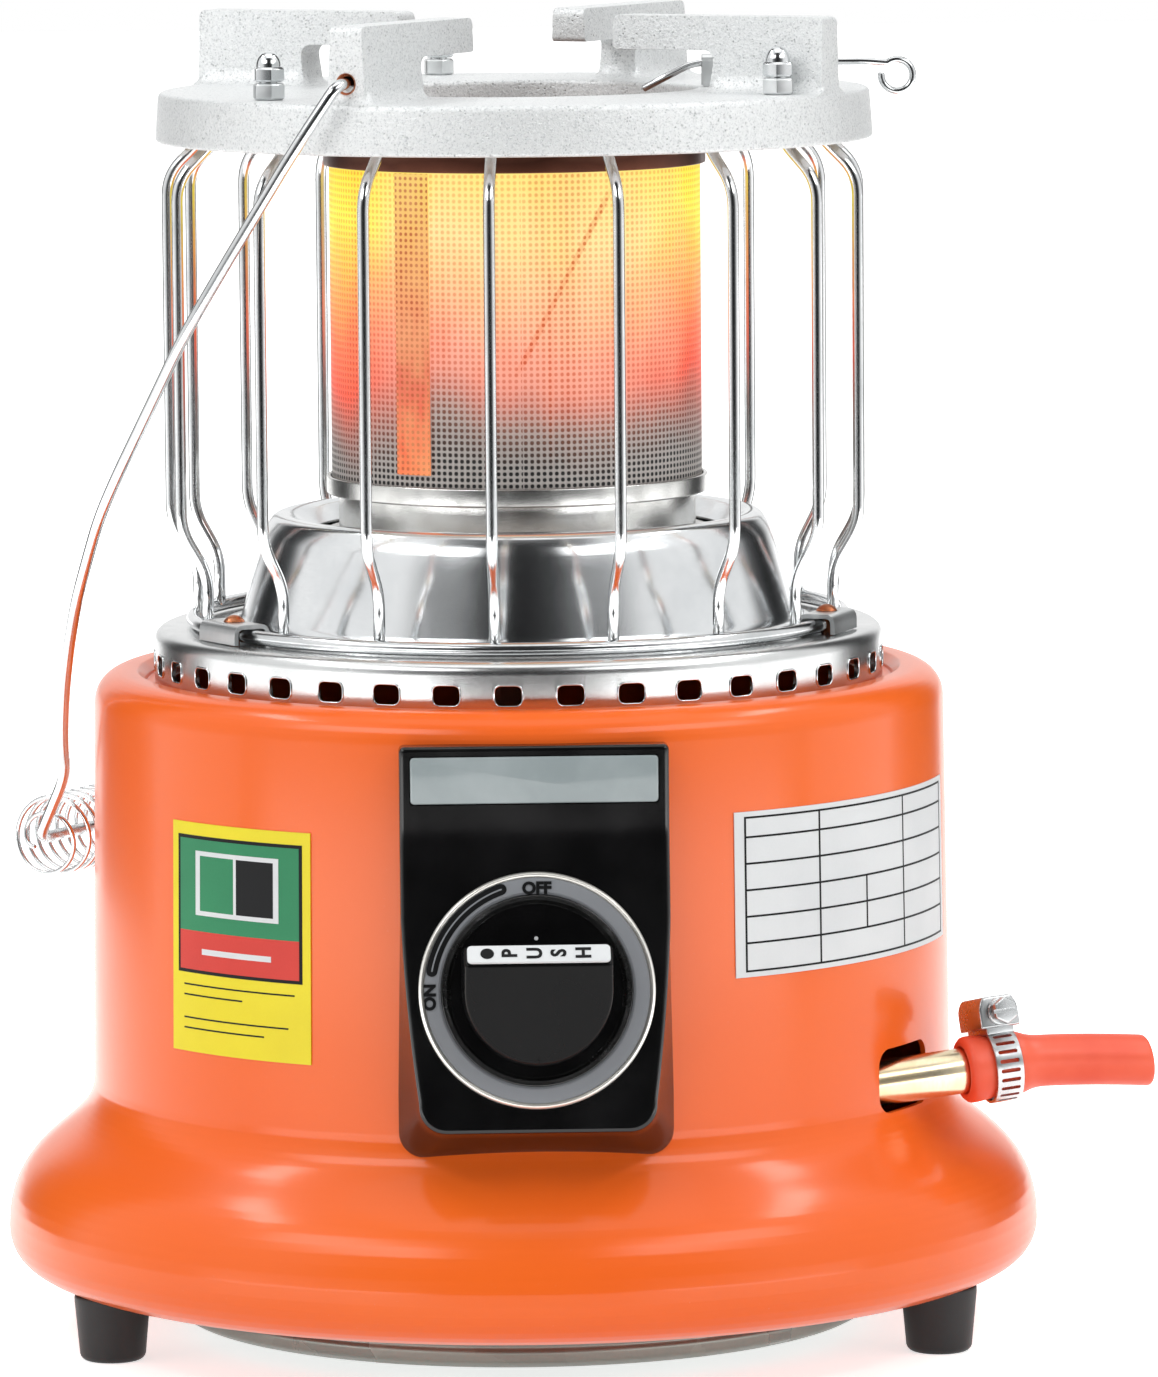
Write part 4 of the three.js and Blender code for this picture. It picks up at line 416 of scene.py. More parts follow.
def crowned(outline: Callable[[Array], Array], back: float, front: Callable[[Array], Array], edge: float,
            rows: int = 14, wall_rows: int = 6) -> Solid:
    """A block whose walls follow an outline and whose front follows a depth function.

    The outline is the same on both sides of x = 0. The walls run at distance d from back to the
    front, where d = f(z) is found by repeated substitution. The edge is a quarter round: the
    outline moved in by e (1 - cos a), at depth f - e (1 - sin a). The front is (s x, z) for s from
    1 to 0, at depth f, so its rows stay level.

    Args:
        outline: gives the closed outline in X and Z for each point's own distance.
        back: distance at which the walls start.
        front: gives the front's distance from heights.
        edge: radius of the front edge.
        rows: rows across the front.
        wall_rows: rows up the wall.

    Returns:
        The block, as points of (x, -distance, z).
    """
    depth = np.full(len(outline(np.array([back]))), back)
    for _ in range(SUBSTITUTIONS):
        depth = front(outline(depth)[:, 1]) - edge
    shares = np.linspace(0, 1, wall_rows)[:, None]
    loops = [(outline(back + s * (depth - back)), back + s * (depth - back)) for s in shares[:, 0]]
    rim = loops[-1][0]
    for turn in np.radians(np.linspace(0, RIGHT_ANGLE, CORNER_STEPS + 1))[1:]:
        moved = inset(rim, edge * (1 - math.cos(turn)))
        loops.append((moved, front(moved[:, 1]) - edge * (1 - math.sin(turn))))
    last = loops[-1][0]
    for share in np.linspace(1, 0, rows + 1)[1:]:
        loops.append((last * (share, 1), front(last[:, 1])))
    first = loops[0][0]
    loops.insert(0, (first * (0, 1), np.full(len(first), back)))
    points = np.stack([together(loop[:, 0], -distance, loop[:, 1]) for loop, distance in loops])
    return Solid([Grid(points, points[..., [0, 2]] * MM)])


def patch(angles: Array, heights: Pair, radii: Pair, thickness: float, rows: int = 8) -> Solid:
    """A thin curved plate on a drum: points at r(z) and r(z) + t, with its four edges closed.

    Args:
        angles: the angles of its columns.
        heights: its lowest and highest edge.
        radii: the radius under it at those edges.
        thickness: of the plate.
        rows: stretches in its height.

    Returns:
        The plate as one closed loop carried from the first angle to the last, and two ends.
    """
    level, under = np.linspace(*heights, rows + 1), np.linspace(*radii, rows + 1)
    loop = np.vstack([np.column_stack([under + thickness, level]), np.column_stack([under, level])[::-1]])
    loop = np.vstack([loop, loop[:1]])
    points = polar(loop[:, None, 0], angles, loop[:, None, 1])
    pattern = together(np.radians(angles) * radii[0] * MM, loop[:, None, 1] * MM)
    return Solid([Grid(points, pattern)], [points[:-1, 0], points[:-1, -1]])


def rounded_box(low: tuple, high: tuple, corners: Quad, steps: int = 6) -> Array:
    """A closed rectangle with quarter-circle corners, given as bottom left, right, top right, left.

    Args:
        low: its lower left corner.
        high: its upper right corner.
        corners: the four radii.
        steps: stretches in each corner.

    Returns:
        The outline, its first point repeated at the end.
    """
    a, b, c, d = corners
    ring = np.vstack([
        arc_points((low[0] + a, low[1] + a), a, 180, 270, steps),
        arc_points((high[0] - b, low[1] + b), b, 270, 360, steps),
        arc_points((high[0] - c, high[1] - c), c, 0, 90, steps),
        arc_points((low[0] + d, high[1] - d), d, 90, 180, steps),
    ])
    return np.vstack([ring, ring[:1]])


def centred_box(size: Pair, corner: float, steps: int = 6, middle: float = 0.0) -> Array:
    """A rounded_box with four equal corners, centred on x = 0 and on a height."""
    wide, tall = size[0] / 2, size[1] / 2
    return rounded_box((-wide, middle - tall), (wide, middle + tall), (corner,) * 4, steps)


def hexagon(width: float, reach: float = 0.3) -> Array:
    """A closed hexagon of a width across its flats, with eased corners."""
    return soften(arc_points((0, 0), width / (2 * math.cos(math.pi / 6)), 30, 330, 5), reach, 2, True)


def upright(points: Array) -> Array:
    """Takes a plate made in X and Z, thick along Y, to lie flat with its thickness along Z."""
    return together(points[..., 0], -points[..., 2], points[..., 1])


def at_circle(radius: float, angle: float, height: float = 0.0) -> Placing:
    """Moves what stands on the axis out to a circle, up, and round to an angle."""
    turn = turned_to(angle)
    return lambda points: turn(points + (0, -radius, height))


def leant(points: Array, angle: float) -> Array:
    """Points turned about X: (x, y cos a + z sin a, z cos a - y sin a), for degrees.

    Args:
        points: what is turned.
        angle: in degrees.

    Returns:
        The turned points.
    """
    cos, sin = math.cos(math.radians(angle)), math.sin(math.radians(angle))
    x, y, z = np.moveaxis(points, -1, 0)
    return together(x, y * cos + z * sin, -y * sin + z * cos)


# Meshes and pieces


def framed(points: Array) -> Array:
    """Points as the frame has them, in metres over the tray, in one flat row of numbers."""
    return ((points - (0, 0, TRAY_BOTTOM)) * MM).ravel()


def linked(name: str, data: bpy.types.ID) -> bpy.types.Object:
    """A new object in the scene, made of some data.

    Args:
        name: of the object.
        data: its mesh, curve, lamp or camera.

    Returns:
        The object.
    """
    piece = bpy.data.objects.new(name, data)
    bpy.context.scene.collection.objects.link(piece)
    return piece


def evaluated(piece: bpy.types.Object) -> Mesh:
    """The mesh that an object comes out as."""
    graph = bpy.context.evaluated_depsgraph_get()
    return bpy.data.meshes.new_from_object(piece.evaluated_get(graph))


def settle(mesh: Mesh, sharp: float) -> None:
    """Merges doubled points, closes poles, turns faces outwards and sets the shading.

    Args:
        mesh: the mesh to settle.
        sharp: the degrees past which an edge is shaded as a sharp one.
    """
    work = bmesh.new()
    work.from_mesh(mesh)
    bmesh.ops.remove_doubles(work, verts=work.verts, dist=MERGE)
    bmesh.ops.dissolve_degenerate(work, edges=work.edges, dist=MERGE)
    bmesh.ops.recalc_face_normals(work, faces=work.faces)
    work.to_mesh(mesh)
    work.free()
    mesh.polygons.foreach_set("use_smooth", np.ones(len(mesh.polygons), bool))
    mesh.set_sharp_from_angle(angle=math.radians(sharp))
    mesh.update()


def mesh_of(name: str, solid: Solid, sharp: float = SHARP_ANGLE) -> Mesh:
    """Puts a solid's grids and caps into one mesh, in the frame's metres.

    Args:
        name: of the mesh.
        solid: the surfaces.
        sharp: the degrees past which an edge is shaded as a sharp one.

    Returns:
        The settled mesh with its pattern coordinates as a UV map.
    """
    points, pattern, corners, sizes, base = [], [], [], [], 0
    for grid in solid.grids:
        rows, columns = grid.points.shape[:2]
        index = np.arange(rows * columns).reshape(rows, columns) + base
        quads = together(index[:-1, :-1], index[:-1, 1:], index[1:, 1:], index[1:, :-1])
        corners.append(quads.reshape(-1))
        sizes.append(np.full(quads.size // 4, 4))
        points.append(grid.points.reshape(-1, 3))
        pattern.append(grid.pattern.reshape(-1, 2))
        base += rows * columns
    for cap in solid.caps:
        corners.append(np.arange(len(cap)) + base)
        sizes.append(np.array([len(cap)]))
        points.append(cap)
        pattern.append(cap[:, [0, 2]] * MM)
        base += len(cap)
    places, loops, counts = np.vstack(points), np.concatenate(corners), np.concatenate(sizes)
    mesh = bpy.data.meshes.new(name)
    mesh.vertices.add(len(places))
    mesh.vertices.foreach_set("co", framed(places))
    mesh.loops.add(len(loops))
    mesh.loops.foreach_set("vertex_index", loops)
    mesh.polygons.add(len(counts))
    mesh.polygons.foreach_set("loop_start", np.r_[0, np.cumsum(counts)[:-1]])
    mesh.update(calc_edges=True)
    layer = mesh.uv_layers.new(name="UVMap")
    layer.data.foreach_set("uv", np.vstack(pattern)[loops].ravel())
    settle(mesh, sharp)
    return mesh


def carve(mesh: Mesh, cutter: Solid, sharp: float = SHARP_ANGLE) -> Mesh:
    """Cuts a solid out of a mesh.

    Args:
        mesh: what is cut, which is used up.
        cutter: what is taken away.
        sharp: the degrees past which an edge is shaded as a sharp one.

    Returns:
        The new mesh.
    """
    body, tool = linked(mesh.name, mesh), linked("cutter", mesh_of("cutter", cutter))
    step = body.modifiers.new("cut", "BOOLEAN")
    step.operation, step.object, step.solver = "DIFFERENCE", tool, "EXACT"
    result = evaluated(body)
    result.name = mesh.name
    for piece in (body, tool):
        used = piece.data
        bpy.data.objects.remove(piece)
        bpy.data.meshes.remove(used)
    settle(result, sharp)
    return result


def add_piece(name: str, shape: Solid | Mesh, finish: "Look", *nodes: str, body: Body = Body.HEATER,
              slot: Slot | None = None, sharp: float = SHARP_ANGLE) -> None:
    """Adds a piece to the scene, on its body and in place of its solids.

    Args:
        name: of the piece.
        shape: its surfaces, or its finished mesh in the frame's metres.
        finish: what it is covered with.
        nodes: the solids that it stands for.
        body: what it rides on.
        slot: the record's slot, if not the finish's usual one; not used.
        sharp: as mesh_of takes it, for surfaces.
    """
    mesh = mesh_of(name, shape, sharp) if isinstance(shape, Solid) else shape
    piece = linked(name, mesh)
    mesh.materials.clear()
    mesh.materials.append(finish.material())
    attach(piece, body.value)
    if nodes:
        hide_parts(*nodes)
    log.info("%s: %d faces on %s", name, len(mesh.polygons), body.value)


def dress(finish: "Look", *nodes: str) -> None:
    """Gives solids that stay as they are a finish of their own."""
    for node in nodes:
        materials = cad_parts[node].data.materials
        materials.clear()
        materials.append(finish.material())
        log.info("%s: kept with the finish %s", node, finish.name)


def lettering(text: str, size: float, depth: float, placing: Placing, bold: float = 0.03) -> Mesh:
    """Plain words as a thin mesh, centred, upright in X and Z and thick along Y.

    Args:
        text: the words.
        size: height of the font.
        depth: thickness of the letters.
        bold: widening of the strokes, as a share of the size.
        placing: takes them to their place in millimetres.

    Returns:
        The mesh, in the frame's metres.
    """
    curve = bpy.data.curves.new(text, "FONT")
    curve.body, curve.size, curve.extrude, curve.offset = text, size, depth / 2, size * bold
    curve.align_x, curve.align_y, curve.resolution_u = "CENTER", "CENTER", 4
    holder = linked(text, curve)
    mesh = evaluated(holder)
    bpy.data.objects.remove(holder)
    bpy.data.curves.remove(curve)
    flat = np.empty(len(mesh.vertices) * 3)
    mesh.vertices.foreach_get("co", flat)
    mesh.vertices.foreach_set("co", framed(placing(upright(flat.reshape(-1, 3)))))
    mesh.materials.clear()
    settle(mesh, SHARP_ANGLE)
    return mesh


# Finishes


def linear(code: str) -> Quad:
    """A six-figure hex colour as linear light: ((c + 0.055) / 1.055)^2.4 for all but the darkest."""
    parts = [int(code[i:i + 2], 16) / 255 for i in (0, 2, 4)]
    return (*(c / 12.92 if c <= 0.04045 else ((c + 0.055) / 1.055) ** 2.4 for c in parts), 1.0)


class Tree:
    """A node tree, with short ways to add to it."""

    def __init__(self, tree: bpy.types.NodeTree) -> None:
        """Empties the tree."""
        self.tree = tree
        tree.nodes.clear()

    def feed(self, socket: Socket, value: object) -> None:
        """Links a socket to another, or sets its value, which may be a hex colour."""
        if isinstance(value, Socket):
            self.tree.links.new(value, socket)
        else:
            socket.default_value = linear(value) if isinstance(value, str) else value

    def add(self, kind: str, inputs: dict, **settings: object) -> bpy.types.Node:
        """Adds a node.

        Args:
            kind: its type without the usual start.
            inputs: values or sockets by input name or number.
            settings: its own attributes.

        Returns:
            The node.
        """
        node = self.tree.nodes.new("ShaderNode" + kind)
        for key, value in settings.items():
            setattr(node, key, value)
        for key, value in inputs.items():
            self.feed(node.inputs[key], value)
        return node

    def math(self, operation: str, first: object, second: object = 0.0, third: object = 0.0) -> Socket:
        """One sum of a Math node."""
        return self.add("Math", {0: first, 1: second, 2: third}, operation=operation).outputs[0]


class Sheet(Tree):
    """A material with one Principled shader, and the patterns that feed it."""

    def __init__(self, name: str) -> None:
        """Starts an empty material."""
        self.material = bpy.data.materials.new(name)
        self.material.use_nodes = True
        super().__init__(self.material.node_tree)
        self.shader = self.add("BsdfPrincipled", {})
        self.add("OutputMaterial", {0: self.shader.outputs[0]})
        self.coords = self.add("TexCoord", {}).outputs

    def split(self, space: str = "Object") -> Sockets:
        """The three parts of the object's coordinates, or of its pattern map."""
        return self.add("SeparateXYZ", {0: self.coords[space]}).outputs

    def noise(self, scale: float, detail: float = 3.0, rough: float = 0.5, stretch: tuple | None = None,
              uv: bool = False) -> Socket:
        """Noise from 0 to 1 over the object's own coordinates, or over its pattern map.

        Args:
            scale: how many waves there are to the metre.
            detail: how many finer layers it has.
            rough: the share of each finer layer.
            stretch: factors on the three coordinates, if any.
            uv: whether it follows the pattern map.

        Returns:
            The value.
        """
        vector = self.coords["UV" if uv else "Object"]
        if stretch:
            vector = self.add("Mapping", {"Vector": vector, "Scale": stretch}).outputs[0]
        inputs = {"Vector": vector, "Scale": scale, "Detail": detail, "Roughness": rough}
        return self.add("TexNoise", inputs).outputs[0]

    def spread(self, value: object, low: float, high: float, start: float = 0.0,
               stop: float = 1.0) -> Socket:
        """Takes a value's stretch from start to stop onto low to high, held at its ends."""
        inputs = {"Value": value, "From Min": start, "From Max": stop, "To Min": low, "To Max": high}
        return self.add("MapRange", inputs, clamp=True).outputs[0]

    def gate(self, value: object, start: float, stop: float) -> Socket:
        """0 below start, 1 above stop and even between them."""
        return self.spread(value, 0, 1, start, stop)

    def weave(self, pitch: float, start: float, stop: float) -> Socket:
        """The holes of a weave: sin^2(pi u / p) times sin^2(pi v / p) of the pattern map, gated.

        Args:
            pitch: p, in metres.
            start: the product at which a hole starts.
            stop: the product from which on it is open.

        Returns:
            1 in a hole and 0 on a wire.
        """
        waves = [self.math("SINE", self.math("MULTIPLY", part, math.pi / pitch))
                 for part in self.split("UV")[:2]]
        return self.gate(self.math("MULTIPLY", *(self.math("MULTIPLY", w, w) for w in waves)), start, stop)

    def ramp(self, value: object, stops: Stops) -> Socket:
        """A colour ramp with stops of place and hex colour.

        Args:
            value: what runs along it.
            stops: from the lowest place to the highest.

        Returns:
            The colour.
        """
        node = self.add("ValToRGB", {0: value})
        elements = node.color_ramp.elements
        while len(elements) < len(stops):
            elements.new(0.5)
        for element, (place, code) in zip(elements, stops):
            element.position, element.color = place, linear(code)
        return node.outputs[0]

    def mix(self, share: object, first: object, second: object, mode: str = "MIX") -> Socket:
        """Mixes two colours."""
        node = self.add("Mix", {0: share, 6: first, 7: second}, data_type="RGBA", blend_type=mode)
        return node.outputs[2]

    def bump(self, height: object, distance: float, strength: float = 1.0, normal: object = None) -> Socket:
        """A normal bent by a height in metres.

        Args:
            height: what raises the surface.
            distance: the height that 1 stands for, in metres.
            strength: how much of it shows.
            normal: a normal that is bent already, if there is one.

        Returns:
            The bent normal.
        """
        inputs = {"Height": height, "Distance": distance, "Strength": strength}
        if normal is not None:
            inputs["Normal"] = normal
        return self.add("Bump", inputs).outputs[0]

    def height(self) -> Socket:
        """The object's own height coordinate."""
        return self.split()[2]

    def set(self, **values: object) -> "Sheet":
        """Sets or links the shader's sockets, with _ for a blank in their names."""
        for key, value in values.items():
            self.feed(self.shader.inputs[key.replace("_", " ")], value)
        return self


@dataclass(frozen=True)
class Finish:
    """A finish, which makes its material in the way of its kind."""

    name: str

    def build(self) -> bpy.types.Material:
        """Makes the material."""
        sheet = Sheet(self.name)
        self.cover(sheet)
        return sheet.material


@dataclass(frozen=True)
class TwoTone(Finish):
    """A finish that wanders between two close colours."""

    colour: str
    second: str


@dataclass(frozen=True)
class Metal(TwoTone):
    """Bare or plated metal with a grain, a mottle and fine handling marks.

    Attributes:
        rough: lowest and highest roughness.
        grain: scale of the fine grain.
        stretch: stretch of the grain along X, Y and Z.
        relief: depth of the grain in metres.
        mottle: scale of the duller patches.
        uv: whether the grain follows the surface's own pattern map.
        drawn: how strongly highlights are drawn out along the grain.
    """

    rough: Pair
    grain: float = 600.0
    stretch: Triple = (1.0, 1.0, 1.0)
    relief: float = 0.00002
    mottle: float = 40.0
    uv: bool = False
    drawn: float = 0.0

    def cover(self, s: Sheet) -> None:
        """Feeds the sheet."""
        grain = s.noise(self.grain, 4, 0.6, self.stretch, self.uv)
        mottle = s.noise(self.mottle, 5, 0.55)
        patches = s.gate(mottle, 0.42, 0.68)
        base = s.mix(patches, self.colour, self.second)
        tone = s.mix(s.spread(grain, 0.0, 0.35, 0.35, 0.75), base, self.second)
        rough = s.math("ADD", s.spread(mottle, *self.rough, 0.3, 0.75), s.spread(grain, -0.02, 0.03))
        s.set(Base_Color=tone, Metallic=1.0, Roughness=rough, Anisotropic=self.drawn)
        s.set(Normal=s.bump(grain, self.relief))


@dataclass(frozen=True)
class Paint(TwoTone):
    """Glossy baked enamel with a faint orange-peel surface and a few dust specks."""

    rough: Pair
    peel: float

    def cover(self, s: Sheet) -> None:
        """Feeds the sheet."""
        wide, peel, fine = s.noise(9, 3), s.noise(260, 2, 0.4), s.noise(2400, 2)
        tone = s.mix(s.gate(wide, 0.3, 0.7), self.colour, self.second)
        specks = s.spread(fine, 0.0, 0.12, 0.72, 0.8)
        tone = s.mix(specks, tone, "fff0e6")
        s.set(Base_Color=tone, Roughness=s.spread(wide, *self.rough, 0.3, 0.7))
        s.set(Coat_Weight=0.5, Coat_Roughness=0.15, Specular_IOR_Level=0.12)
        s.set(Normal=s.bump(peel, self.peel, 0.5, s.bump(fine, 0.000004, 0.4)))


@dataclass(frozen=True)
class Spangled(TwoTone):
    """Zinc-coated sheet: flat crystals of many greys, each with its own sheen."""

    crystal: float

    def cover(self, s: Sheet) -> None:
        """Feeds the sheet."""
        warp = s.noise(90, 3)
        warp = s.add("CombineXYZ", {0: warp, 1: warp, 2: warp}).outputs[0]
        bent = s.add("Mix", {0: 0.012, 4: s.coords["Object"], 5: warp}, data_type="VECTOR").outputs[1]
        cells = s.add("TexVoronoi", {"Vector": bent, "Scale": self.crystal}).outputs["Color"]
        shade = s.add("SeparateColor", {0: cells}).outputs[0]
        fine = s.noise(900, 4, 0.6)
        tone = s.mix(s.math("MULTIPLY_ADD", shade, 0.6, s.math("MULTIPLY", fine, 0.4)), self.second,
                     self.colour)
        s.set(Base_Color=tone, Metallic=0.45, Roughness=s.spread(shade, 0.24, 0.46))
        s.set(Normal=s.bump(fine, 0.00002, 0.6, s.bump(shade, 0.000015, 0.5)))


@dataclass(frozen=True)
class Casting(TwoTone):
    """Sand-cast aluminium, cleaned bright: an open grain with small pits, painted darker as the shade in
    them.
    """

    def cover(self, s: Sheet) -> None:
        """Feeds the sheet."""
        grain, coarse, fine = s.noise(950, 5, 0.65), s.noise(330, 4, 0.6), s.noise(1700, 3, 0.7)
        speck = s.gate(fine, 0.53, 0.64)
        pits = s.add("TexVoronoi", {"Vector": s.coords["Object"], "Scale": 900.0}).outputs["Distance"]
        # painted shade: the colour darkens towards the second colour where a pit dips the surface
        near = s.math("MULTIPLY", s.spread(pits, 1, 0, 0.1, 0.34), s.gate(coarse, 0.46, 0.6))
        tone = s.mix(s.spread(grain, 0, 0.35, 0.35, 0.7), self.colour, "c3c6c8")
        tone = s.mix(s.math("MULTIPLY", speck, 0.55), tone, "a4a8ab")
        tone = s.mix(s.math("MULTIPLY", near, 0.6), tone, self.second)
        relief = s.math("SUBTRACT", s.math("MULTIPLY_ADD", coarse, 0.9,
                                           s.math("MULTIPLY_ADD", fine, 0.5, grain)), near)
        s.set(Base_Color=tone, Metallic=0.3, Roughness=s.spread(grain, 0.3, 0.5, 0.3, 0.7))
        s.set(Normal=s.bump(relief, 0.00024, 0.9))


@dataclass(frozen=True)
class Moulded(TwoTone):
    """Moulded plastic or rubber: two close colours, a fine skin texture and its gloss."""

    rough: Pair
    skin: float = 1500.0
    relief: float = 0.000008
    coat: float = 0.0
    specular: float = 0.5

    def cover(self, s: Sheet) -> None:
        """Feeds the sheet."""
        skin, wide = s.noise(self.skin, 3, 0.55), s.noise(55, 4)
        tone = s.mix(s.gate(wide, 0.4, 0.7), self.colour, self.second)
        rough = s.math("ADD", s.spread(wide, *self.rough, 0.3, 0.7), s.spread(skin, -0.02, 0.03))
        s.set(Base_Color=tone, Roughness=rough, Specular_IOR_Level=self.specular)
        s.set(Coat_Weight=self.coat, Coat_Roughness=0.04, Normal=s.bump(skin, self.relief, 0.6))


@dataclass(frozen=True)
class Tempered(Finish):
    """Steel that heat has coloured, from straw at its edge to brown and blue."""

    stops: Stops
    low: float
    high: float
    rough: Pair = (0.28, 0.5)

    def cover(self, s: Sheet) -> None:
        """Feeds the sheet; the colour follows the height between low and high, in metres."""
        wander = s.noise(60, 5, 0.6)
        level = s.gate(s.height(), self.low, self.high)
        place = s.math("ADD", level, s.spread(wander, -0.25, 0.25))
        grain = s.noise(700, 4, 0.6, (1, 1, 6))
        tone = s.ramp(place, self.stops)
        s.set(Base_Color=tone, Metallic=0.9, Roughness=s.spread(wander, *self.rough, 0.3, 0.7))
        s.set(Normal=s.bump(grain, 0.00002, 0.6))


@dataclass(frozen=True)
class GlowingMesh(Finish):
    """Woven heat-proof wire over a flame: bright yellow above, red below, grey at the foot.

    Attributes:
        pitch: of the weave, in metres.
        low: height of the mesh's foot in the frame, in metres.
        high: height of its top.
        highlight_facing: angle of the paler patch, a painted highlight, in degrees from the front.
        glow: strength of the light that it gives.
        side: its colours by height, away from that patch.
        middle: the same in the patch, paler as a painted highlight.
        drawn: the marks, each with a, b, its width, its lowest and highest point and its weight.
    """

    pitch: float
    low: float
    high: float
    highlight_facing: float
    glow: float
    side: Stops = ((0.0, "5f5a57"), (0.12, "857671"), (0.24, "c45c48"), (0.36, "f2553c"), (0.5, "fd7a4c"),
                   (0.66, "ffae52"), (0.84, "fff04e"), (1.0, "ffe23a"))
    middle: Stops = ((0.0, "5d5856"), (0.1, "7f7672"), (0.2, "b29a93"), (0.3, "e09384"), (0.45, "f9a88e"),
                     (0.62, "fdc795"), (0.8, "ffe39a"), (1.0, "ffe47a"))
    drawn: tuple[tuple[float, ...], ...] = ((0.5234, -0.1414, 0.0012, 0.266, 0.319, 0.9),
                                            (0.0, 0.0080, 0.0010, 0.236, 0.300, 0.45))

    def marks(self, s: Sheet, xyz: Sockets) -> Socket:
        """The two drawn marks on the front of the mesh: |x - (a z + b)| within a thread's width.

        Args:
            s: the material's sheet.
            xyz: the parts of its object coordinates.

        Returns:
            1 on a mark and 0 away from both.
        """
        found = []
        for slope, start, wide, low, high, weight in self.drawn:
            line = s.math("MULTIPLY_ADD", xyz[2], slope, start)
            away = s.math("ABSOLUTE", s.math("SUBTRACT", xyz[0], line))
            near = s.spread(away, weight, 0, wide * 0.5, wide)
            ends = s.math("MULTIPLY", s.gate(xyz[2], low, low + 0.006),
                          s.spread(xyz[2], 1, 0, high - 0.006, high))
            front = s.math("LESS_THAN", xyz[1], 0.0)
            found.append(s.math("MULTIPLY", s.math("MULTIPLY", near, ends), front))
        return s.math("MAXIMUM", *found)

    def cover(self, s: Sheet) -> None:
        """Feeds the sheet.

        Heat follows the height, bent by slow noise, and a paler patch, a painted highlight, follows
        the direction round the axis where the mesh faces the camera. Folds and marks darken the weave.
        """
        hole = s.weave(self.pitch, 0.12, 0.62)
        slow = s.noise(26, 3, 0.5, (1, 1, 0.45))
        patchy = s.noise(60, 3, 0.55, (1, 1, 0.6))
        folds = s.gate(s.noise(110, 3, 0.5, (1, 1, 0.05)), 0.5, 0.72)
        level = s.gate(s.height(), self.low, self.high)
        level = s.math("ADD", level, s.spread(slow, -0.07, 0.07, 0.3, 0.7))
        side, middle = s.ramp(level, self.side), s.ramp(level, self.middle)
        # painted highlight: the colours turn paler where the mesh faces the camera, at its front and back
        aim = math.radians(self.highlight_facing)
        xyz = s.split()
        toward = s.math("MULTIPLY_ADD", xyz[0], math.sin(aim), s.math("MULTIPLY", xyz[1], -math.cos(aim)))
        reach = s.math("ABSOLUTE", toward)
        pale = s.math("ADD", s.gate(reach, 0.022, 0.048), s.spread(patchy, -0.2, 0.2, 0.3, 0.7))
        colour = s.mix(s.spread(pale, 0, 1), side, middle)
        darker = s.mix(1.0, colour, "c9743a", "MULTIPLY")
        streak = s.math("MAXIMUM", s.math("MULTIPLY", folds, 0.35), self.marks(s, xyz))
        depth = s.math("ADD", s.spread(level, 0.75, 0.42, 0.2, 0.8), s.math("MULTIPLY", streak, 0.6))
        tinted = s.mix(s.math("MULTIPLY", streak, 0.4), colour, "e0652c")
        weave = s.mix(s.math("MULTIPLY", hole, depth), tinted, darker)
        heat = s.gate(level, 0.08, 0.36)
        # painted shade: the holes of the cold weave are nearly black, for the dark inside seen through them
        cold = s.mix(s.gate(hole, 0.0, 0.7), "aaa4a0", "151414")
        s.set(Base_Color=s.mix(heat, cold, "5a4034"), Metallic=0.35, Roughness=0.5)
        s.set(Emission_Color=weave, Emission_Strength=s.math("MULTIPLY", heat, self.glow))
        s.set(Normal=s.bump(s.math("SUBTRACT", 1.0, hole), 0.0004, 0.8))


@dataclass(frozen=True)
class GlowingStrip(Finish):
    """The mesh's lapped seam, which glows redder than the mesh beside it."""

    pitch: float
    low: float
    high: float
    glow: float
    tones: Stops = ((0.0, "fb7a48"), (0.1, "f25a38"), (0.3, "e36650"), (0.5, "f09468"), (0.7, "f6b468"),
                    (1.0, "fada6c"))

    def cover(self, s: Sheet) -> None:
        """Feeds the sheet, with the weave of the mesh under it showing as rows of dots."""
        dots = s.weave(self.pitch, 0.2, 0.65)
        level = s.gate(s.height(), self.low, self.high)
        wander = s.gate(s.noise(160, 3, 0.6, (1, 1, 0.4)), 0.35, 0.7)
        colour = s.ramp(level, self.tones)
        weave = s.mix(s.math("MULTIPLY", dots, 0.85), colour, "a8441c")
        weave = s.mix(s.math("MULTIPLY", wander, 0.35), weave, "ffd08a")
        s.set(Base_Color="6b3a26", Metallic=0.4, Roughness=0.5)
        s.set(Emission_Color=weave, Emission_Strength=self.glow)
        s.set(Normal=s.bump(s.math("SUBTRACT", 1.0, dots), 0.0003, 0.7))


@dataclass(frozen=True)
class Printed(TwoTone):
    """Ink on a plastic film: one colour with a faint paper grain and a soft gloss."""

    specular: float = 0.4

    def cover(self, s: Sheet) -> None:
        """Feeds the sheet."""
        grain, wide = s.noise(1800, 3), s.noise(35, 3)
        share = s.math("MULTIPLY_ADD", s.gate(wide, 0.4, 0.7), 0.6, s.math("MULTIPLY", grain, 0.4))
        s.set(Base_Color=s.mix(share, self.colour, self.second))
        s.set(Roughness=s.spread(grain, 0.36, 0.5), Specular_IOR_Level=self.specular)
        s.set(Normal=s.bump(grain, 0.000006, 0.5))


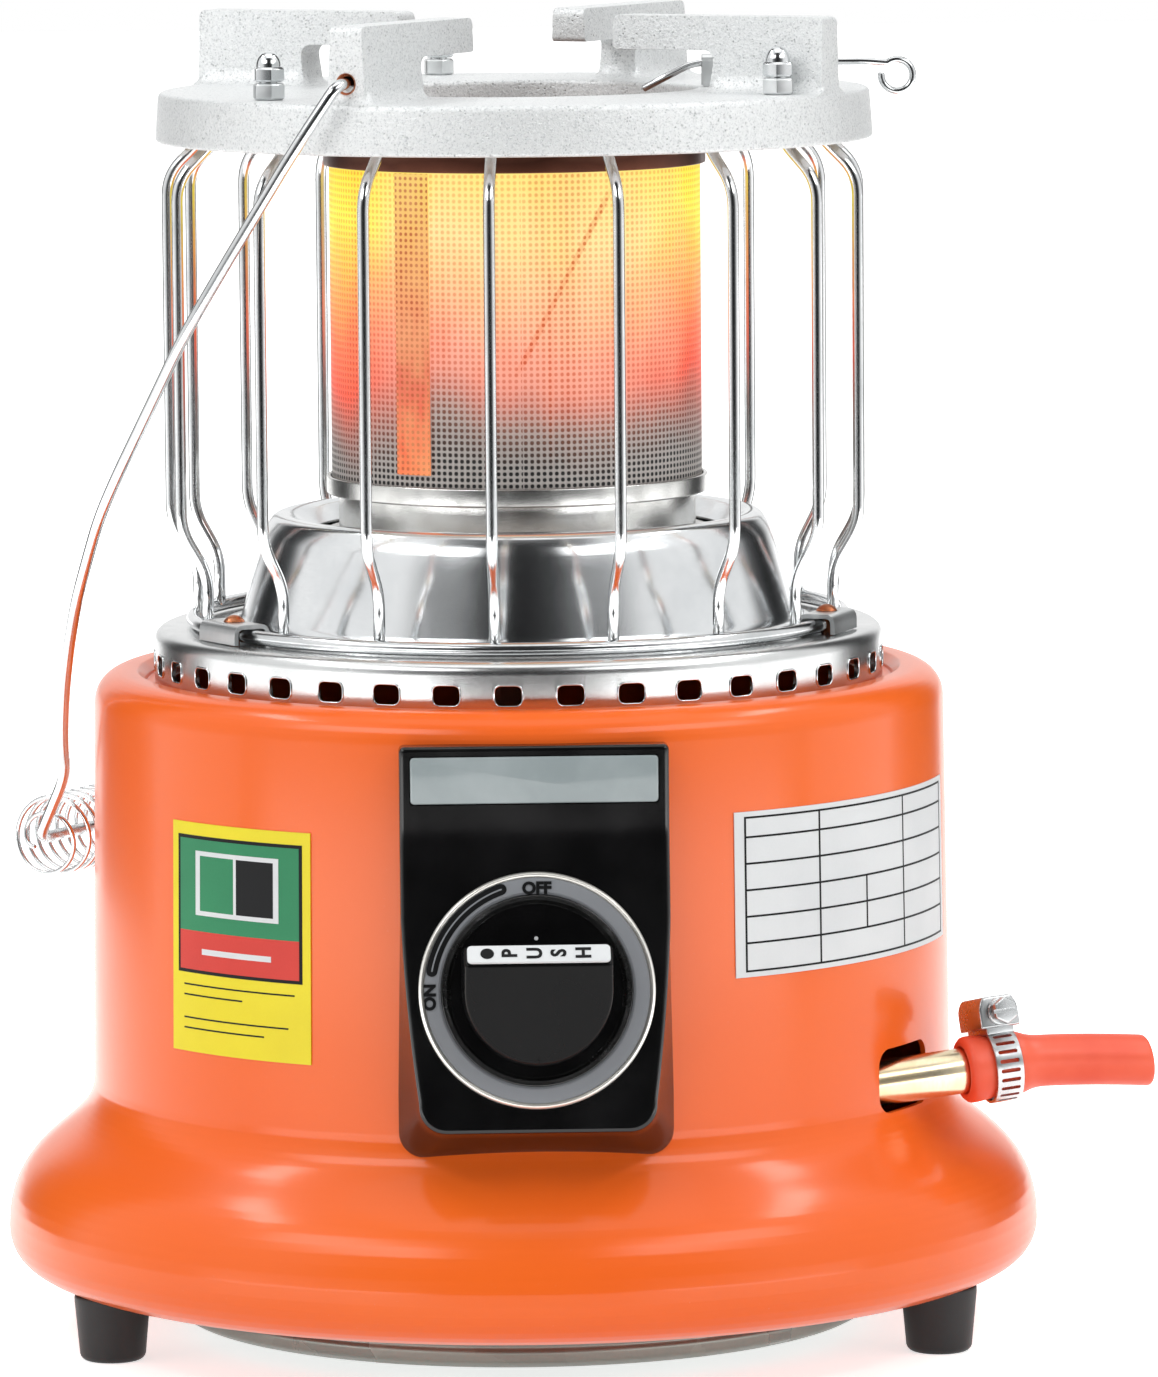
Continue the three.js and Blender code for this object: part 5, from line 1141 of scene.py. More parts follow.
class Look(Enum):
    """Every finish of the heater, with the record's slot that it stands for, though nothing reads that slot.
    """

    def __init__(self, slot: Slot | None, finish: Finish) -> None:
        """Keeps both."""
        self.slot, self.finish = slot, finish

    ENAMEL = Slot.PAINT, Paint("baked_enamel", "fd6f20", "f9671b", (0.3, 0.38), 0.00005)
    ZINC = Slot.GALVANISED, Spangled("galvanised_sheet", "a6b0a9", "89918b", 60.0)
    BRIGHT_ZINC = Slot.GALVANISED, Metal("polished_zinc", "e4e6e6", "cfd2d3", (0.26, 0.38), 500, (1, 1, 1),
                                         0.00001)
    SATIN = Slot.GALVANISED, Metal("satin_steel", "dfe0e0", "cfd1d1", (0.2, 0.28), 900, (1, 1, 10), 0.00001)
    CHROME = Slot.CHROME, Metal("spun_chrome", "e8eaeb", "d7dadc", (0.12, 0.18), 300, (1, 1, 14), 0.000004)
    WIRE = Slot.CHROME, Metal("drawn_wire", "e6e7e8", "c9cccd", (0.09, 0.2), 900, (1, 1, 1), 0.000008)
    STAINLESS = Slot.STAINLESS, Metal("brushed_stainless", "dcdcda", "c2c2bf", (0.16, 0.28), 900, (1, 1, 14),
                                      0.00001)
    CLAMP = Slot.STAINLESS, Metal("clamp_steel", "d8dadb", "b4b7b8", (0.2, 0.34), 700, (2, 1, 1), 0.00002)
    MESH = Slot.HOT_MESH, GlowingMesh("glowing_mesh", 0.0017, 0.2326, 0.325, 2.0, 1.05)
    SEAM = Slot.HOT_MESH, GlowingStrip("glowing_seam", 0.0017, 0.239, 0.323, 0.88)
    BURNT = Slot.BURNT_STEEL, Tempered("heat_browned_steel",
                                       ((0.0, "6b4132"), (0.4, "4c2c22"), (0.75, "6a4a3c"), (1.0, "7d6a60")),
                                       0.32, 0.334)
    CASTING = Slot.CASTING, Casting("sand_casting", "eef0f0", "84888b")
    COPPER = Slot.COPPER, Metal("copper_rivet", "c98560", "9a5a3c", (0.25, 0.4), 600)
    BRASS = Slot.BRASS, Metal("plated_brass", "f0e2c4", "dcc498", (0.16, 0.26), 500, (3, 1, 1), 0.000008)
    GLOSS_BLACK = Slot.BLACK_PLASTIC, Moulded("gloss_black", "0a0a0b", "101011", (0.16, 0.24), 900, 0.000004,
                                              0.15, 0.4)
    KNOB_BLACK = Slot.BLACK_PLASTIC, Moulded("knob_black", "0b0b0c", "101011", (0.2, 0.28), 1300, 0.000006,
                                             0.0, 0.13)
    WELL = Slot.BLACK_PLASTIC, Moulded("polished_well", "0b0b0b", "121211", (0.22, 0.3), 900, 0.000003, 0.5,
                                       1.0)
    DIAL = Slot.DIAL_GREY, Moulded("satin_dial", "8b8e93", "85888d", (0.4, 0.5), 1400, 0.000006, 0.0, 0.4)
    DIAL_RIM = Slot.DIAL_GREY, Metal("polished_rim", "f2f0ea", "dddad2", (0.3, 0.4), 700)
    WINDOW = Slot.WINDOW_GREY, Moulded("smoked_window", "9aa5a7", "a9b3b5", (0.1, 0.2), 800, 0.000004, 0.3)
    WHITE = Slot.WHITE, Printed("white_film", "e8ebec", "dcdfe1")
    INK = Slot.BLACK_PLASTIC, Printed("black_ink", "0e0f10", "17181a", 0.15)
    YELLOW = Slot.YELLOW, Printed("yellow_film", "f7e61f", "ebd816")
    GREEN = Slot.YELLOW, Printed("green_ink", "1c8a58", "157a4e")
    RED = Slot.YELLOW, Printed("red_ink", "dd3a2c", "cf3024")
    CERAMIC = None, Moulded("glazed_ceramic", "e6e1d4", "d6cfbf", (0.2, 0.35))
    RUBBER = Slot.RUBBER, Moulded("black_rubber", "1b1c1d", "2a2b2c", (0.42, 0.6), 1100, 0.00004, 0.0, 0.4)
    HOSE = Slot.HOSE_RED, Moulded("coral_hose", "fd6543", "f55a3a", (0.34, 0.46), 1500, 0.00002, 0.0, 0.45)

    @cache
    def material(self) -> bpy.types.Material:
        """The finish's material, made once."""
        return self.finish.build()


# Sub-assemblies


@dataclass
class Drum:
    """The painted shell, the tray under it and the rubber feet."""

    radius: float = SHELL_RADIUS
    top_radius: float = SHELL_TOP_RADIUS
    top: float = 186.4
    shoulder: float = 8.5
    skirt_radius: float = 145.0
    skirt_height: float = 30.0
    skirt_top: float = 72.0
    flare_share: float = 0.62
    rim_height: float = 17.0
    rim_radius: float = 124.0
    wall: float = 1.5
    ledge: Pair = (183.0, 97.5)
    collar_radius: float = 104.5
    tray_radius: float = 100.0
    tray_flange: float = 114.0
    sheet: float = SHEET
    foot_circle: float = 126.0
    foot_radius: Pair = (9.1, 10.5)
    foot_top: float = 18.4
    foot_angles: tuple[float, ...] = (-66.6, 64.0, 178.7)
    slot_angle: float = 59.5
    slot_centre: float = 77.8
    slot_size: Pair = (29.0, 17.8)
    slot_corner: float = 5.0
    slot_reach: Pair = (-8.0, 26.0)
    collar_bend: float = 2.5
    sharp: float = 28.0

    def side(self, away: float) -> Array:
        """The outside from the rim to the collar, a distance away from the steel.

        Args:
            away: outwards in millimetres.

        Returns:
            Points of (radius, height), from the rim upwards.
        """
        bend = self.skirt_height + self.flare_share * (self.skirt_top - self.skirt_height)
        wide, slim = self.skirt_radius + away, self.radius + away
        low = self.rim_height - away
        under = bezier([(self.rim_radius, low), (wide, low), (wide, self.skirt_height)], 9)
        flare = bezier([(wide, self.skirt_height), (wide, bend), (slim, bend), (slim, self.skirt_top)], 20)
        centre = (self.top_radius - self.shoulder, self.top - self.shoulder)
        shoulder = arc_points(centre, self.shoulder + away, 0, RIGHT_ANGLE, 9)
        wall = np.linspace(flare[-1], shoulder[0], 5)[1:-1]
        return np.vstack([under, flare[1:], wall, shoulder])

    def shell(self) -> Mesh:
        """The drum with its rolled collar, its inner wall and the slot for the gas pipe."""
        collar, opening = self.collar_radius, self.tray_radius + self.sheet
        ledge_top, ledge_in = self.ledge
        outer, inner = self.side(0.0), self.side(-self.wall)
        profile = np.vstack([[[opening, self.rim_height]], outer,
                             [[collar + self.collar_bend, self.top], [collar, self.top - self.collar_bend],
                              [collar, ledge_top], [ledge_in, ledge_top], [ledge_in, ledge_top - self.wall],
                              [collar + self.wall, ledge_top - self.wall]], inner[::-1],
                             [[opening, self.rim_height + self.wall]]])
        mesh = mesh_of("shell", turned(profile, 0.45, 200), self.sharp)
        outline = centred_box(self.slot_size, self.slot_corner, 10, self.slot_centre)
        out, back = self.slot_reach
        slot = slab(outline, out - self.radius, back - self.radius, CUT_EDGE)
        return carve(mesh, slot.placed(turned_to(self.slot_angle)), self.sharp)

    def tray(self) -> Solid:
        """The pressed tray, with a rolled bead above its corner."""
        out, flange, top = self.tray_radius, self.tray_flange, self.rim_height + self.wall + CLEARANCE
        profile = [(0, TRAY_BOTTOM), (out - 4, TRAY_BOTTOM), (out - 0.5, TRAY_BOTTOM + 2),
                   (out, TRAY_BOTTOM + 5), (out - 0.9, TRAY_BOTTOM + 6.2), (out, TRAY_BOTTOM + 7.4),
                   (out, top), (flange, top), (flange, top + self.sheet),
                   (out - self.sheet, top + self.sheet), (out - self.sheet, TRAY_BOTTOM + 4),
                   (out - 4, TRAY_BOTTOM + self.sheet), (0, TRAY_BOTTOM + self.sheet)]
        return turned(profile, 1.0, AROUND, False)

    def foot(self, angle: float) -> Solid:
        """A tapered rubber foot with a rounded sole and a moulded step near its top."""
        low, high = self.foot_radius
        profile = [(0, 0), (low - 1.2, 0), (low, 1.2), (low + 0.6, 8), (high - 0.1, self.foot_top - 3),
                   (high, self.foot_top - 2), (high, self.foot_top), (0, self.foot_top)]
        return turned(profile, 0.9, 48, False).placed(at_circle(self.foot_circle, angle))

    def build(self) -> None:
        """Adds the drum's pieces."""
        add_piece("painted_shell", self.shell(), Look.ENAMEL, "body_shell")
        add_piece("pressed_tray", self.tray(), Look.ZINC, "bottom_tray")
        for number, angle in enumerate(self.foot_angles, 1):
            add_piece(f"rubber_foot_{number}", self.foot(angle), Look.RUBBER, f"foot_{number}")


@dataclass
class VentedRing:
    """The bright ring of vent holes on the shell."""

    radius: float = 102.0
    top: float = 198.4
    bottom: float = 183.3
    corner: float = 3.4
    deck_hole: float = 56.0
    flange: float = 3.0
    sheet: float = SHEET
    holes: int = 38
    first_angle: float = -3.4
    hole_centre: float = 189.3
    hole_size: Pair = (7.8, 5.8)
    hole_corner: float = 1.9
    punch: float = 3.0
    sharp: float = 26.0
    lip: float = 0.3

    def build(self) -> None:
        """Adds the ring with a hole at every step, and the pressed lip round each hole."""
        out, sheet, top = self.radius, self.sheet, self.top
        arc = arc_points((out - self.corner, top - self.corner), self.corner, 0, RIGHT_ANGLE, 8)
        inner = arc_points((out - self.corner, top - self.corner), self.corner - sheet, RIGHT_ANGLE, 0, 8)
        profile = np.vstack([
            [[out - self.flange, self.bottom], [out, self.bottom]], arc,
            [[self.deck_hole, top], [self.deck_hole, top - sheet]], inner,
            [[out - sheet, self.bottom + sheet], [out - self.flange, self.bottom + sheet]],
        ])
        mesh = mesh_of("vent_ring_sheet", turned(profile, 0.35, 304), self.sharp)
        outline = centred_box(self.hole_size, self.hole_corner, 4, self.hole_centre)
        punch = slab(outline, -out - self.punch, -out + self.punch, CUT_EDGE)
        step = FULL_TURN / self.holes
        turns = [turned_to(self.first_angle + step * i) for i in range(self.holes)]
        cutter = gathered([punch.placed(turn) for turn in turns])
        add_piece("vented_ring", carve(mesh, cutter, self.sharp), Look.SATIN, "vent_ring")
        loop = together(outline[:, 0], -np.sqrt((out + 0.02) ** 2 - outline[:, 0] ** 2), outline[:, 1])
        lip = swept(loop, self.lip, (0, 1, 0), 8, closed=True)
        lips = gathered([lip.placed(turn) for turn in turns])
        add_piece("vent_lips", lips, Look.WIRE, sharp=60, slot=Slot.GALVANISED)


@dataclass
class Emitter:
    """The reflector, the burner pan, the glowing mesh and what holds it."""

    base: float = DECK
    sheet: float = SHEET
    reflector: tuple[Pair, ...] = (
        (82.0, 199.9), (78.6, 199.9), (77.6, 201.4), (71.9, 221.5), (70.6, 225.8), (68.4, 229.3),
        (66.0, 230.2), (63.6, 229.7), (57.5, 225.2),
    )
    pan_top: float = 223.7
    pan: Triple = (13.0, 60.0, 68.0)
    radius: float = 51.8
    ring_step: float = 235.6
    ring_top: float = 240.6
    mesh_top: float = 329.5
    mesh_wall: float = 0.7
    collar: Pair = (327.2, 333.8)
    seam_angle: float = -34.8
    seam_width: float = 10.6
    skirt: float = 49.9
    shelf: float = 7.0
    lid: tuple[Pair, ...] = ((49.4, 0.0), (49.4, 1.4), (34.0, 1.4), (30.0, 1.5), (16.0, 3.3), (0.0, 3.4))

    def pressed(self, line: Array, thickness: float, reach: float) -> Solid:
        """A turned sheet: a line of (radius, height) with its thickness on the inner side.

        Args:
            line: the outer side.
            thickness: of the sheet.
            reach: rounding of its bends.

        Returns:
            The sheet.
        """
        path = soften(line, reach, 6)
        away, middle = beside(path) * thickness, len(path) // 2
        back = path - away * math.copysign(1.0, away[middle, 1])
        return turned(np.vstack([path, back[::-1]]), 0.15)

    def build(self) -> None:
        """Adds the emitter's pieces."""
        steel = Look.STAINLESS
        add_piece("reflector_cone", self.pressed(self.reflector, 1.0, 2.2), Look.CHROME, "reflector",
                  sharp=40)
        sheet, base, (hole, wide, flange), roof = self.sheet, self.base, self.pan, self.pan_top
        pan = turned([(hole, roof), (wide, roof), (wide, base + sheet), (flange, base + sheet),
                      (flange, base), (wide - sheet, base), (wide - sheet, roof - sheet),
                      (hole, roof - sheet)], 0.6)
        add_piece("burner_pan_sheet", pan, steel, "burner_pan")
        mouth, skirt, foot, step = self.radius + CLEARANCE, self.skirt, roof + CLEARANCE, self.ring_step
        ring = turned([(mouth, step + sheet), (mouth, self.ring_top), (mouth + sheet, self.ring_top),
                       (mouth + sheet, step), (skirt, step), (skirt, foot + sheet), (skirt + 4, foot + sheet),
                       (skirt + 4, foot), (skirt - sheet, foot), (skirt - sheet, step + sheet)], 0.5)
        add_piece("emitter_base_ring", ring, steel, "mesh_base_ring")
        low, high, back = step + sheet + CLEARANCE, self.mesh_top, self.radius - self.mesh_wall
        tube = turned([(self.radius, low), (self.radius, high), (back, high), (back, low)], 0.1, 240)
        add_piece("woven_emitter", tube, Look.MESH, "emitter_mesh")
        half = math.degrees(self.seam_width / 2 / self.radius)
        start, stop, near = self.ring_top + 3.4, self.collar[0] - CLEARANCE, self.radius + 0.1
        angles = np.linspace(self.seam_angle - half, self.seam_angle + half, 13)
        add_piece("lapped_seam", patch(angles, (start, stop), (near, near), 0.6), Look.SEAM,
                  "mesh_seam_strip")
        low, high = self.collar
        shelf = mouth - self.shelf
        collar = turned([(mouth, low), (mouth + sheet, low), (mouth + sheet, high), (shelf, high),
                         (shelf, high - sheet), (mouth, high - sheet)], 0.4)
        add_piece("emitter_collar", collar, Look.BURNT, "mesh_collar")
        top = high + CLEARANCE
        lid = turned([(0, top), *(np.array(self.lid) + (0, top))], 1.0, AROUND, False)
        add_piece("emitter_lid", lid, Look.BURNT, "burner_cap")
        dress(steel, "burner_head", "mixing_tube", "thermocouple")
        dress(Look.CERAMIC, "igniter_electrode")


@dataclass
class GuardPanel:
    """One panel of the wire guard: its name, its wires and its lugs."""

    node: str
    centre: float
    pitch: float
    span: Pair
    studs: tuple[float, ...]


@dataclass
class Guard:
    """The wire guard in three panels, with its clips and rivets."""

    wires: int = 6
    wire: float = 1.6
    ring_wire: float = 2.0
    ring_radius: float = 91.0
    ring_height: float = 200.7
    head_radius: float = 82.5
    head_height: float = 340.7
    upright: tuple[Pair, ...] = (
        (89.6, 200.7), (89.6, 215.0), (97.0, 227.5), (97.0, 324.5), (88.4, 333.0), (82.5, 340.7),
    )
    bends: tuple[float, ...] = (0.0, 5.0, 5.0, 6.0, 2.0, 0.0)
    stud_circle: float = STUD_CIRCLE
    lug: Pair = (10.0, 1.6)
    clip_angles: tuple[float, ...] = (-61.0, 68.0, -175.5)
    clip_size: Pair = (20.0, 11.0)
    sheet: float = SHEET
    deck: float = DECK
    clip_roof: float = 203.0
    shank: Pair = (1.5, 194.2)
    dome: Triple = (3.4, 1.6, 3.0)
    panels: tuple[GuardPanel, ...] = (
        GuardPanel("guard_panel_front", 4.5, 20.8, (-58.6, 65.3), (-51.0, 53.2)),
        GuardPanel("guard_panel_right", 124.7, 19.5, (70.6, 182.3), ()),
        GuardPanel("guard_panel_left", -120.0, 17.8, (-173.4, -63.4), (-167.6,)),
    )

    def bow(self, radius: float, span: Pair, height: float, wire: float) -> Solid:
        """A wire bent to a circle between two angles."""
        path = polar(radius, np.linspace(*span, 49), height)
        return swept(path, wire, (0, 0, 1), 16, 0.6)

    def upright_wire(self, angle: float) -> Solid:
        """One upright, bent out at its foot and in at its head, with its foot and head pressed on."""
        line = soften(self.upright, self.bends, 8)
        path = polar(line[:, 0], angle, line[:, 1])
        across = polar(1.0, angle + RIGHT_ANGLE, 0.0)
        return swept(path, self.wire, across, 14, 0.6)

    def panel(self, panel: GuardPanel) -> Solid:
        """A panel: its rail on the ring, its uprights, the wire at their heads and its lugs.

        Args:
            panel: which of the three.

        Returns:
            The panel, in place.
        """
        outer = panel.pitch * (self.wires - 1) / 2
        angles = panel.centre + np.linspace(-outer, outer, self.wires)
        ends = [*angles[[0, -1]], *panel.studs]
        parts = [self.bow(self.ring_radius, panel.span, self.ring_height, self.ring_wire),
                 self.bow(self.head_radius, (min(ends), max(ends)), self.head_height, self.wire),
                 *(self.upright_wire(angle) for angle in angles)]
        width, thick = self.lug
        half = width / 2
        outline = rounded_box((-half, self.head_radius - self.stud_circle), (half, half),
                              (half * 0.3, half * 0.3, half * 0.9, half * 0.9))
        for angle in panel.studs:
            plate = slab(outline, -thick / 2, thick / 2).placed(upright)
            parts.append(plate.placed(at_circle(self.stud_circle, angle, self.head_height)))
        return gathered(parts)

    def clip(self, angle: float) -> Solid:
        """A saddle bent over the rail, with flared edges."""
        half, thick = self.clip_size[1] / 2, self.sheet
        roof = self.clip_roof + thick / 2
        side, end = half - thick / 2, self.clip_size[0] / 2
        sheet = bent_sheet([(side, self.deck), (side, roof), (-side, roof), (-side, self.deck)], thick,
                           -end, end, 2.2)
        return sheet.placed(at_circle(self.ring_radius, angle))

    def rivet(self, angle: float) -> Solid:
        """A domed rivet head over its shank."""
        seat = self.clip_roof + self.sheet + 0.1
        (thin, foot), (radius, sunk, brim) = self.shank, self.dome
        dome = arc_points((0, seat - sunk), radius, 28, RIGHT_ANGLE, 6)
        profile = np.vstack([[(0, foot), (thin, foot), (thin, seat), (brim, seat)], dome])
        profile[-1, 0] = 0.0
        return turned(profile, 0.2, 32, False).placed(at_circle(self.ring_radius, angle))

    def build(self) -> None:
        """Adds the guard's pieces."""
        for panel in self.panels:
            name = panel.node.replace("guard", "wire_guard")
            add_piece(name, self.panel(panel), Look.WIRE, panel.node, sharp=45)
        for number, angle in enumerate(self.clip_angles, 1):
            add_piece(f"saddle_clip_{number}", self.clip(angle), Look.BRIGHT_ZINC, f"guard_clip_{number}")
            add_piece(f"domed_rivet_{number}", self.rivet(angle), Look.COPPER, f"clip_rivet_{number}")


@dataclass
class PanStand:
    """The casting with its four arms, and the studs and nuts that hold it."""

    radius: float = 100.0
    draft: float = 1.0
    bottom: float = 334.1
    top: float = 348.0
    hole: float = 50.7
    wall: float = 5.6
    deck: float = 5.4
    arm_angles: tuple[float, ...] = (-29.3, 60.7, 150.7, -119.3)
    arm_top: float = 369.0
    arm_span: Pair = (33.5, 97.6)
    post: float = 65.0
    hook: float = 9.5
    arm_width: Pair = (12.0, 9.5)
    arm_corner: float = 2.4
    fillet: float = 4.0
    root_size: float = 5.0
    bail_angle: float = BAIL_ANGLE
    bail_height: float = BAIL_HEIGHT
    bail_hole: float = 2.4
    stud_circle: float = STUD_CIRCLE
    stud_angles: tuple[float, ...] = (-51.0, 53.2, -167.6)
    nut: float = 8.0
    nut_sharp: float = 25.0
    stud: tuple[Pair, ...] = (
        (0.0, 338.0), (3.0, 338.0), (3.4, 338.4), (3.4, 339.6), (2.4, 339.6), (2.4, 357.5), (0.0, 357.5),
    )
    lock: float = 4.6
    cap: Triple = (353.0, 4.0, 356.4)
    edge: float = 38.0
    lining: tuple[Pair, ...] = (
        (85.8, 0), (85.8, 2.36), (97.4, 2.36), (98.0, 2.9), (97.5, 3.0), (96.8, 2.5), (96.8, 2.2),
        (86.4, 2.2), (86.4, 0),
    )

    def arm(self, angle: float) -> Solid:
        """One arm: its side view carried across its width, which narrows towards the top.

        Args:
            angle: where it stands, in degrees.

        Returns:
            The arm.
        """
        inner, outer = self.arm_span
        base, under = self.top - self.deck / 2, self.arm_top - self.hook
        corners = [(outer, base), (outer, self.arm_top), (inner, self.arm_top), (inner, under),
                   (self.post, under), (self.post - self.fillet / 2, base)]
        reach = [0.0, self.arm_corner, self.arm_corner, 1.6, self.fillet, 0.0]
        outline = soften(corners, reach, 6, True)
        foot, tip = self.arm_width
        plate = slab(outline, -0.5, 0.5, 0.09)

        def widened(points: Array) -> Array:
            """Y times the width at each height."""
            share = (points[..., 2] - base) / (self.arm_top - base)
            width = foot + (tip - foot) * share
            return together(points[..., 1] * width, -points[..., 0], points[..., 2])

        return plate.placed(widened).placed(turned_to(angle))

    def root(self, angle: float) -> Solid:
        """The cast fillet round an arm's foot: moved out by R (1 - sin a) at height R (1 - cos a).

        Args:
            angle: where the arm stands, in degrees.

        Returns:
            The fillet.
        """
        half, size = self.arm_width[0] / 2 - 0.4, self.root_size
        outline = rounded_box((-half, self.post - 1), (half, self.arm_span[1] - 0.6), (2.0,) * 4)
        turn = np.radians(np.linspace(0, RIGHT_ANGLE, 7))
        loops = [(inset(outline, -size * (1 - math.sin(a))), self.top - 0.2 + size * (1 - math.cos(a)))
                 for a in turn]
        rows = [together(-loop[:, 0], -loop[:, 1], level) for loop, level in loops]
        points = np.stack([rows[0] - (0, 0, 1.0), *rows])
        points[..., 1] = np.maximum(points[..., 1], -self.arm_span[1] - 0.6)
        return Solid([Grid(points, points[..., :2] * MM)],
                     [points[0][:-1], points[-1][:-1]]).placed(turned_to(angle))

    def on_bail(self, angle: float) -> Placing:
        """Takes what is made along +X from the axis to the bail's line on one side."""
        turn = turned_to(angle)
        return lambda p: turn(together(p[..., 1], -p[..., 0], p[..., 2] + self.bail_height))

    def ring(self) -> Solid:
        """The ring with its rim, its deck and its inner wall, and the fillets of its arms."""
        edge, low, high = self.radius - self.draft, self.bottom, self.top
        under = high - self.deck
        line = [(self.radius - self.wall, low), (self.radius, low), (self.radius - 0.2, low + 3),
                (edge, high), (self.hole, high), (self.hole, low), (self.hole + self.wall, low),
                (self.hole + self.wall, under), (self.radius - self.wall, under)]
        whole = turned(line, [1.0, 1.2, 1.0, 1.8, 1.4, 1.0, 1.0, 1.6, 1.6], 240)
        return gathered([whole, *(self.root(angle) for angle in self.arm_angles)])

    def arm_mesh(self, number: int) -> Mesh:
        """One arm, with the bail's countersunk socket where the bail hangs in it.

        Args:
            number: of the arm, from 0.

        Returns:
            The mesh.
        """
        angle = self.arm_angles[number]
        mesh = mesh_of(f"casting_arm_{number + 1}", self.arm(angle), self.edge)
        if number % 2:
            return mesh
        outer, hole = self.arm_span[1], self.bail_hole
        line = [(outer - 12, 0), (outer - 12, hole), (outer - 0.6, hole), (outer + 0.6, hole + 0.8),
                (outer + 3, hole + 0.8), (outer + 3, 0)]
        return carve(mesh, stationed(self.on_bail(angle), line, 24), self.edge)

    def build(self) -> None:
        """Adds the casting, its studs and its nuts."""
        add_piece("pan_stand_casting", self.ring(), Look.CASTING, "pan_stand", sharp=self.edge)
        for number in range(len(self.arm_angles)):
            add_piece(f"casting_arm_{number + 1}", self.arm_mesh(number), Look.CASTING)
        liners = gathered([stationed(self.on_bail(angle), self.lining, 28)
                           for angle in (self.bail_angle, self.bail_angle + 180)])
        add_piece("socket_liners", liners, Look.COPPER)
        low, tall, dome = self.cap
        hardware = (("threaded_stud", "stud", turned(self.stud, 0.3, 32, False), Look.WIRE, SHARP_ANGLE),
                    ("hex_nut", "lock_nut", self.hex_nut(self.top + 0.1, self.lock), Look.BRIGHT_ZINC,
                     self.nut_sharp),
                    ("acorn_nut", "cap_nut", self.hex_nut(low, tall) + self.nut_dome(dome), Look.CHROME,
                     self.nut_sharp))
        for number, angle in enumerate(self.stud_angles, 1):
            place = at_circle(self.stud_circle, angle)
            for name, node, solid, look, sharp in hardware:
                add_piece(f"{name}_{number}", solid.placed(place), look, f"{node}_{number}", slot=Slot.CHROME,
                          sharp=sharp)

    def hex_nut(self, low: float, height: float) -> Solid:
        """A hexagon whose corners are turned off at both ends.

        Args:
            low: height of its foot.
            height: from foot to top.

        Returns:
            The nut, on the axis.
        """
        outline = hexagon(self.nut)
        far, limit, top = np.linalg.norm(outline, axis=1, keepdims=True), self.nut / 2 - 0.1, low + height
        round_ = np.where(far > limit, outline * limit / far, outline)
        half = 0.5 * (round_ + outline)
        rows = [(round_, low), (half, low + 0.25), (outline, low + 0.6), (outline, top - 0.6),
                (half, top - 0.25), (round_, top)]
        points = np.stack([together(*ring.T, level) for ring, level in rows])
        return Solid([Grid(points, points[..., :2] * MM)], [points[0][:-1], points[-1][:-1]])

    def nut_dome(self, low: float) -> Solid:
        """The round head of an acorn nut."""
        arc = arc_points((0, 0), 1.0, 0, RIGHT_ANGLE, 8) * (3.4, 4.0) + (0, low + 0.9)
        arc[-1, 0] = 0.0
        return turned(np.vstack([[(0, low), (3.4, low)], arc]), 0.1, 40, False)


@dataclass
class Bail:
    """The wire bail with its wound grip, hung in two arms of the stand."""

    angle: float = BAIL_ANGLE
    height: float = BAIL_HEIGHT
    length: float = 259.0
    rest: float = 137.25
    wire: float = 1.65
    pin: float = 86.6
    plane: float = 102.6
    reach: float = 113.0
    grip_half: float = 33.3
    outline_shares: tuple[Pair, ...] = (
        (0.947, 0.077), (0.982, 0.212), (1, 0.309), (0.977, 0.39), (0.951, 0.49), (0.925, 0.544),
        (0.87, 0.598), (0.81, 0.653), (0.731, 0.708), (0.641, 0.764), (0.529, 0.825), (0.437, 0.87),
        (0.344, 0.909),
    )
    grip_radius: float = 11.1
    grip_wire: float = 0.7
    grip_turns: int = 12
    grip_span: float = 66.0

    def axes(self) -> tuple[Array, Array, Array]:
        """Along the bail's axis, down its plane, and across both."""
        along = polar(1.0, self.angle, 0.0)
        out = polar(1.0, self.angle - RIGHT_ANGLE, 0.0)
        down = out * self.rest / self.length
        down[2] = -math.sqrt(1 - (self.rest / self.length) ** 2)
        return along, down, np.cross(along, down)

    def build(self) -> None:
        """Adds the wire, rounded through its bends, and the spring round its middle."""
        along, down, across = self.axes()
        shares = np.array(self.outline_shares) * (self.reach, self.length)
        side = np.vstack([[(self.pin, 0), (self.plane, 0)], shares, [(self.grip_half, self.length)]])
        whole = np.vstack([side, side[::-1] * (-1, 1)])
        reach = np.r_[0, 3.5, np.full(13, 40.0), 5.0]
        line = soften(whole, np.r_[reach, reach[::-1]], 8)
        origin = np.array([0, 0, self.height])
        path = origin + line[:, :1] * along + line[:, 1:] * down
        add_piece("bail_handle", swept(path, self.wire, across, 16), Look.WIRE, "bail_wire", body=Body.BAIL,
                  sharp=45)
        turn = np.linspace(0, self.grip_turns, self.grip_turns * 36 + 1)
        inner = self.wire + self.grip_wire + CLEARANCE
        free = np.minimum(np.minimum(turn, self.grip_turns - turn), 1.0)
        radius = (inner + (self.grip_radius - inner) * free**0.7)[:, None]
        phase = 2 * np.pi * turn[:, None]
        coil = (origin + self.length * down + self.grip_span * (turn / self.grip_turns - 0.5)[:, None] * along
                + radius * (down * np.cos(phase) + across * np.sin(phase)))
        add_piece("wound_grip", swept(coil, self.grip_wire, along, 10), Look.WIRE, "bail_grip",
                  body=Body.BAIL, sharp=60)


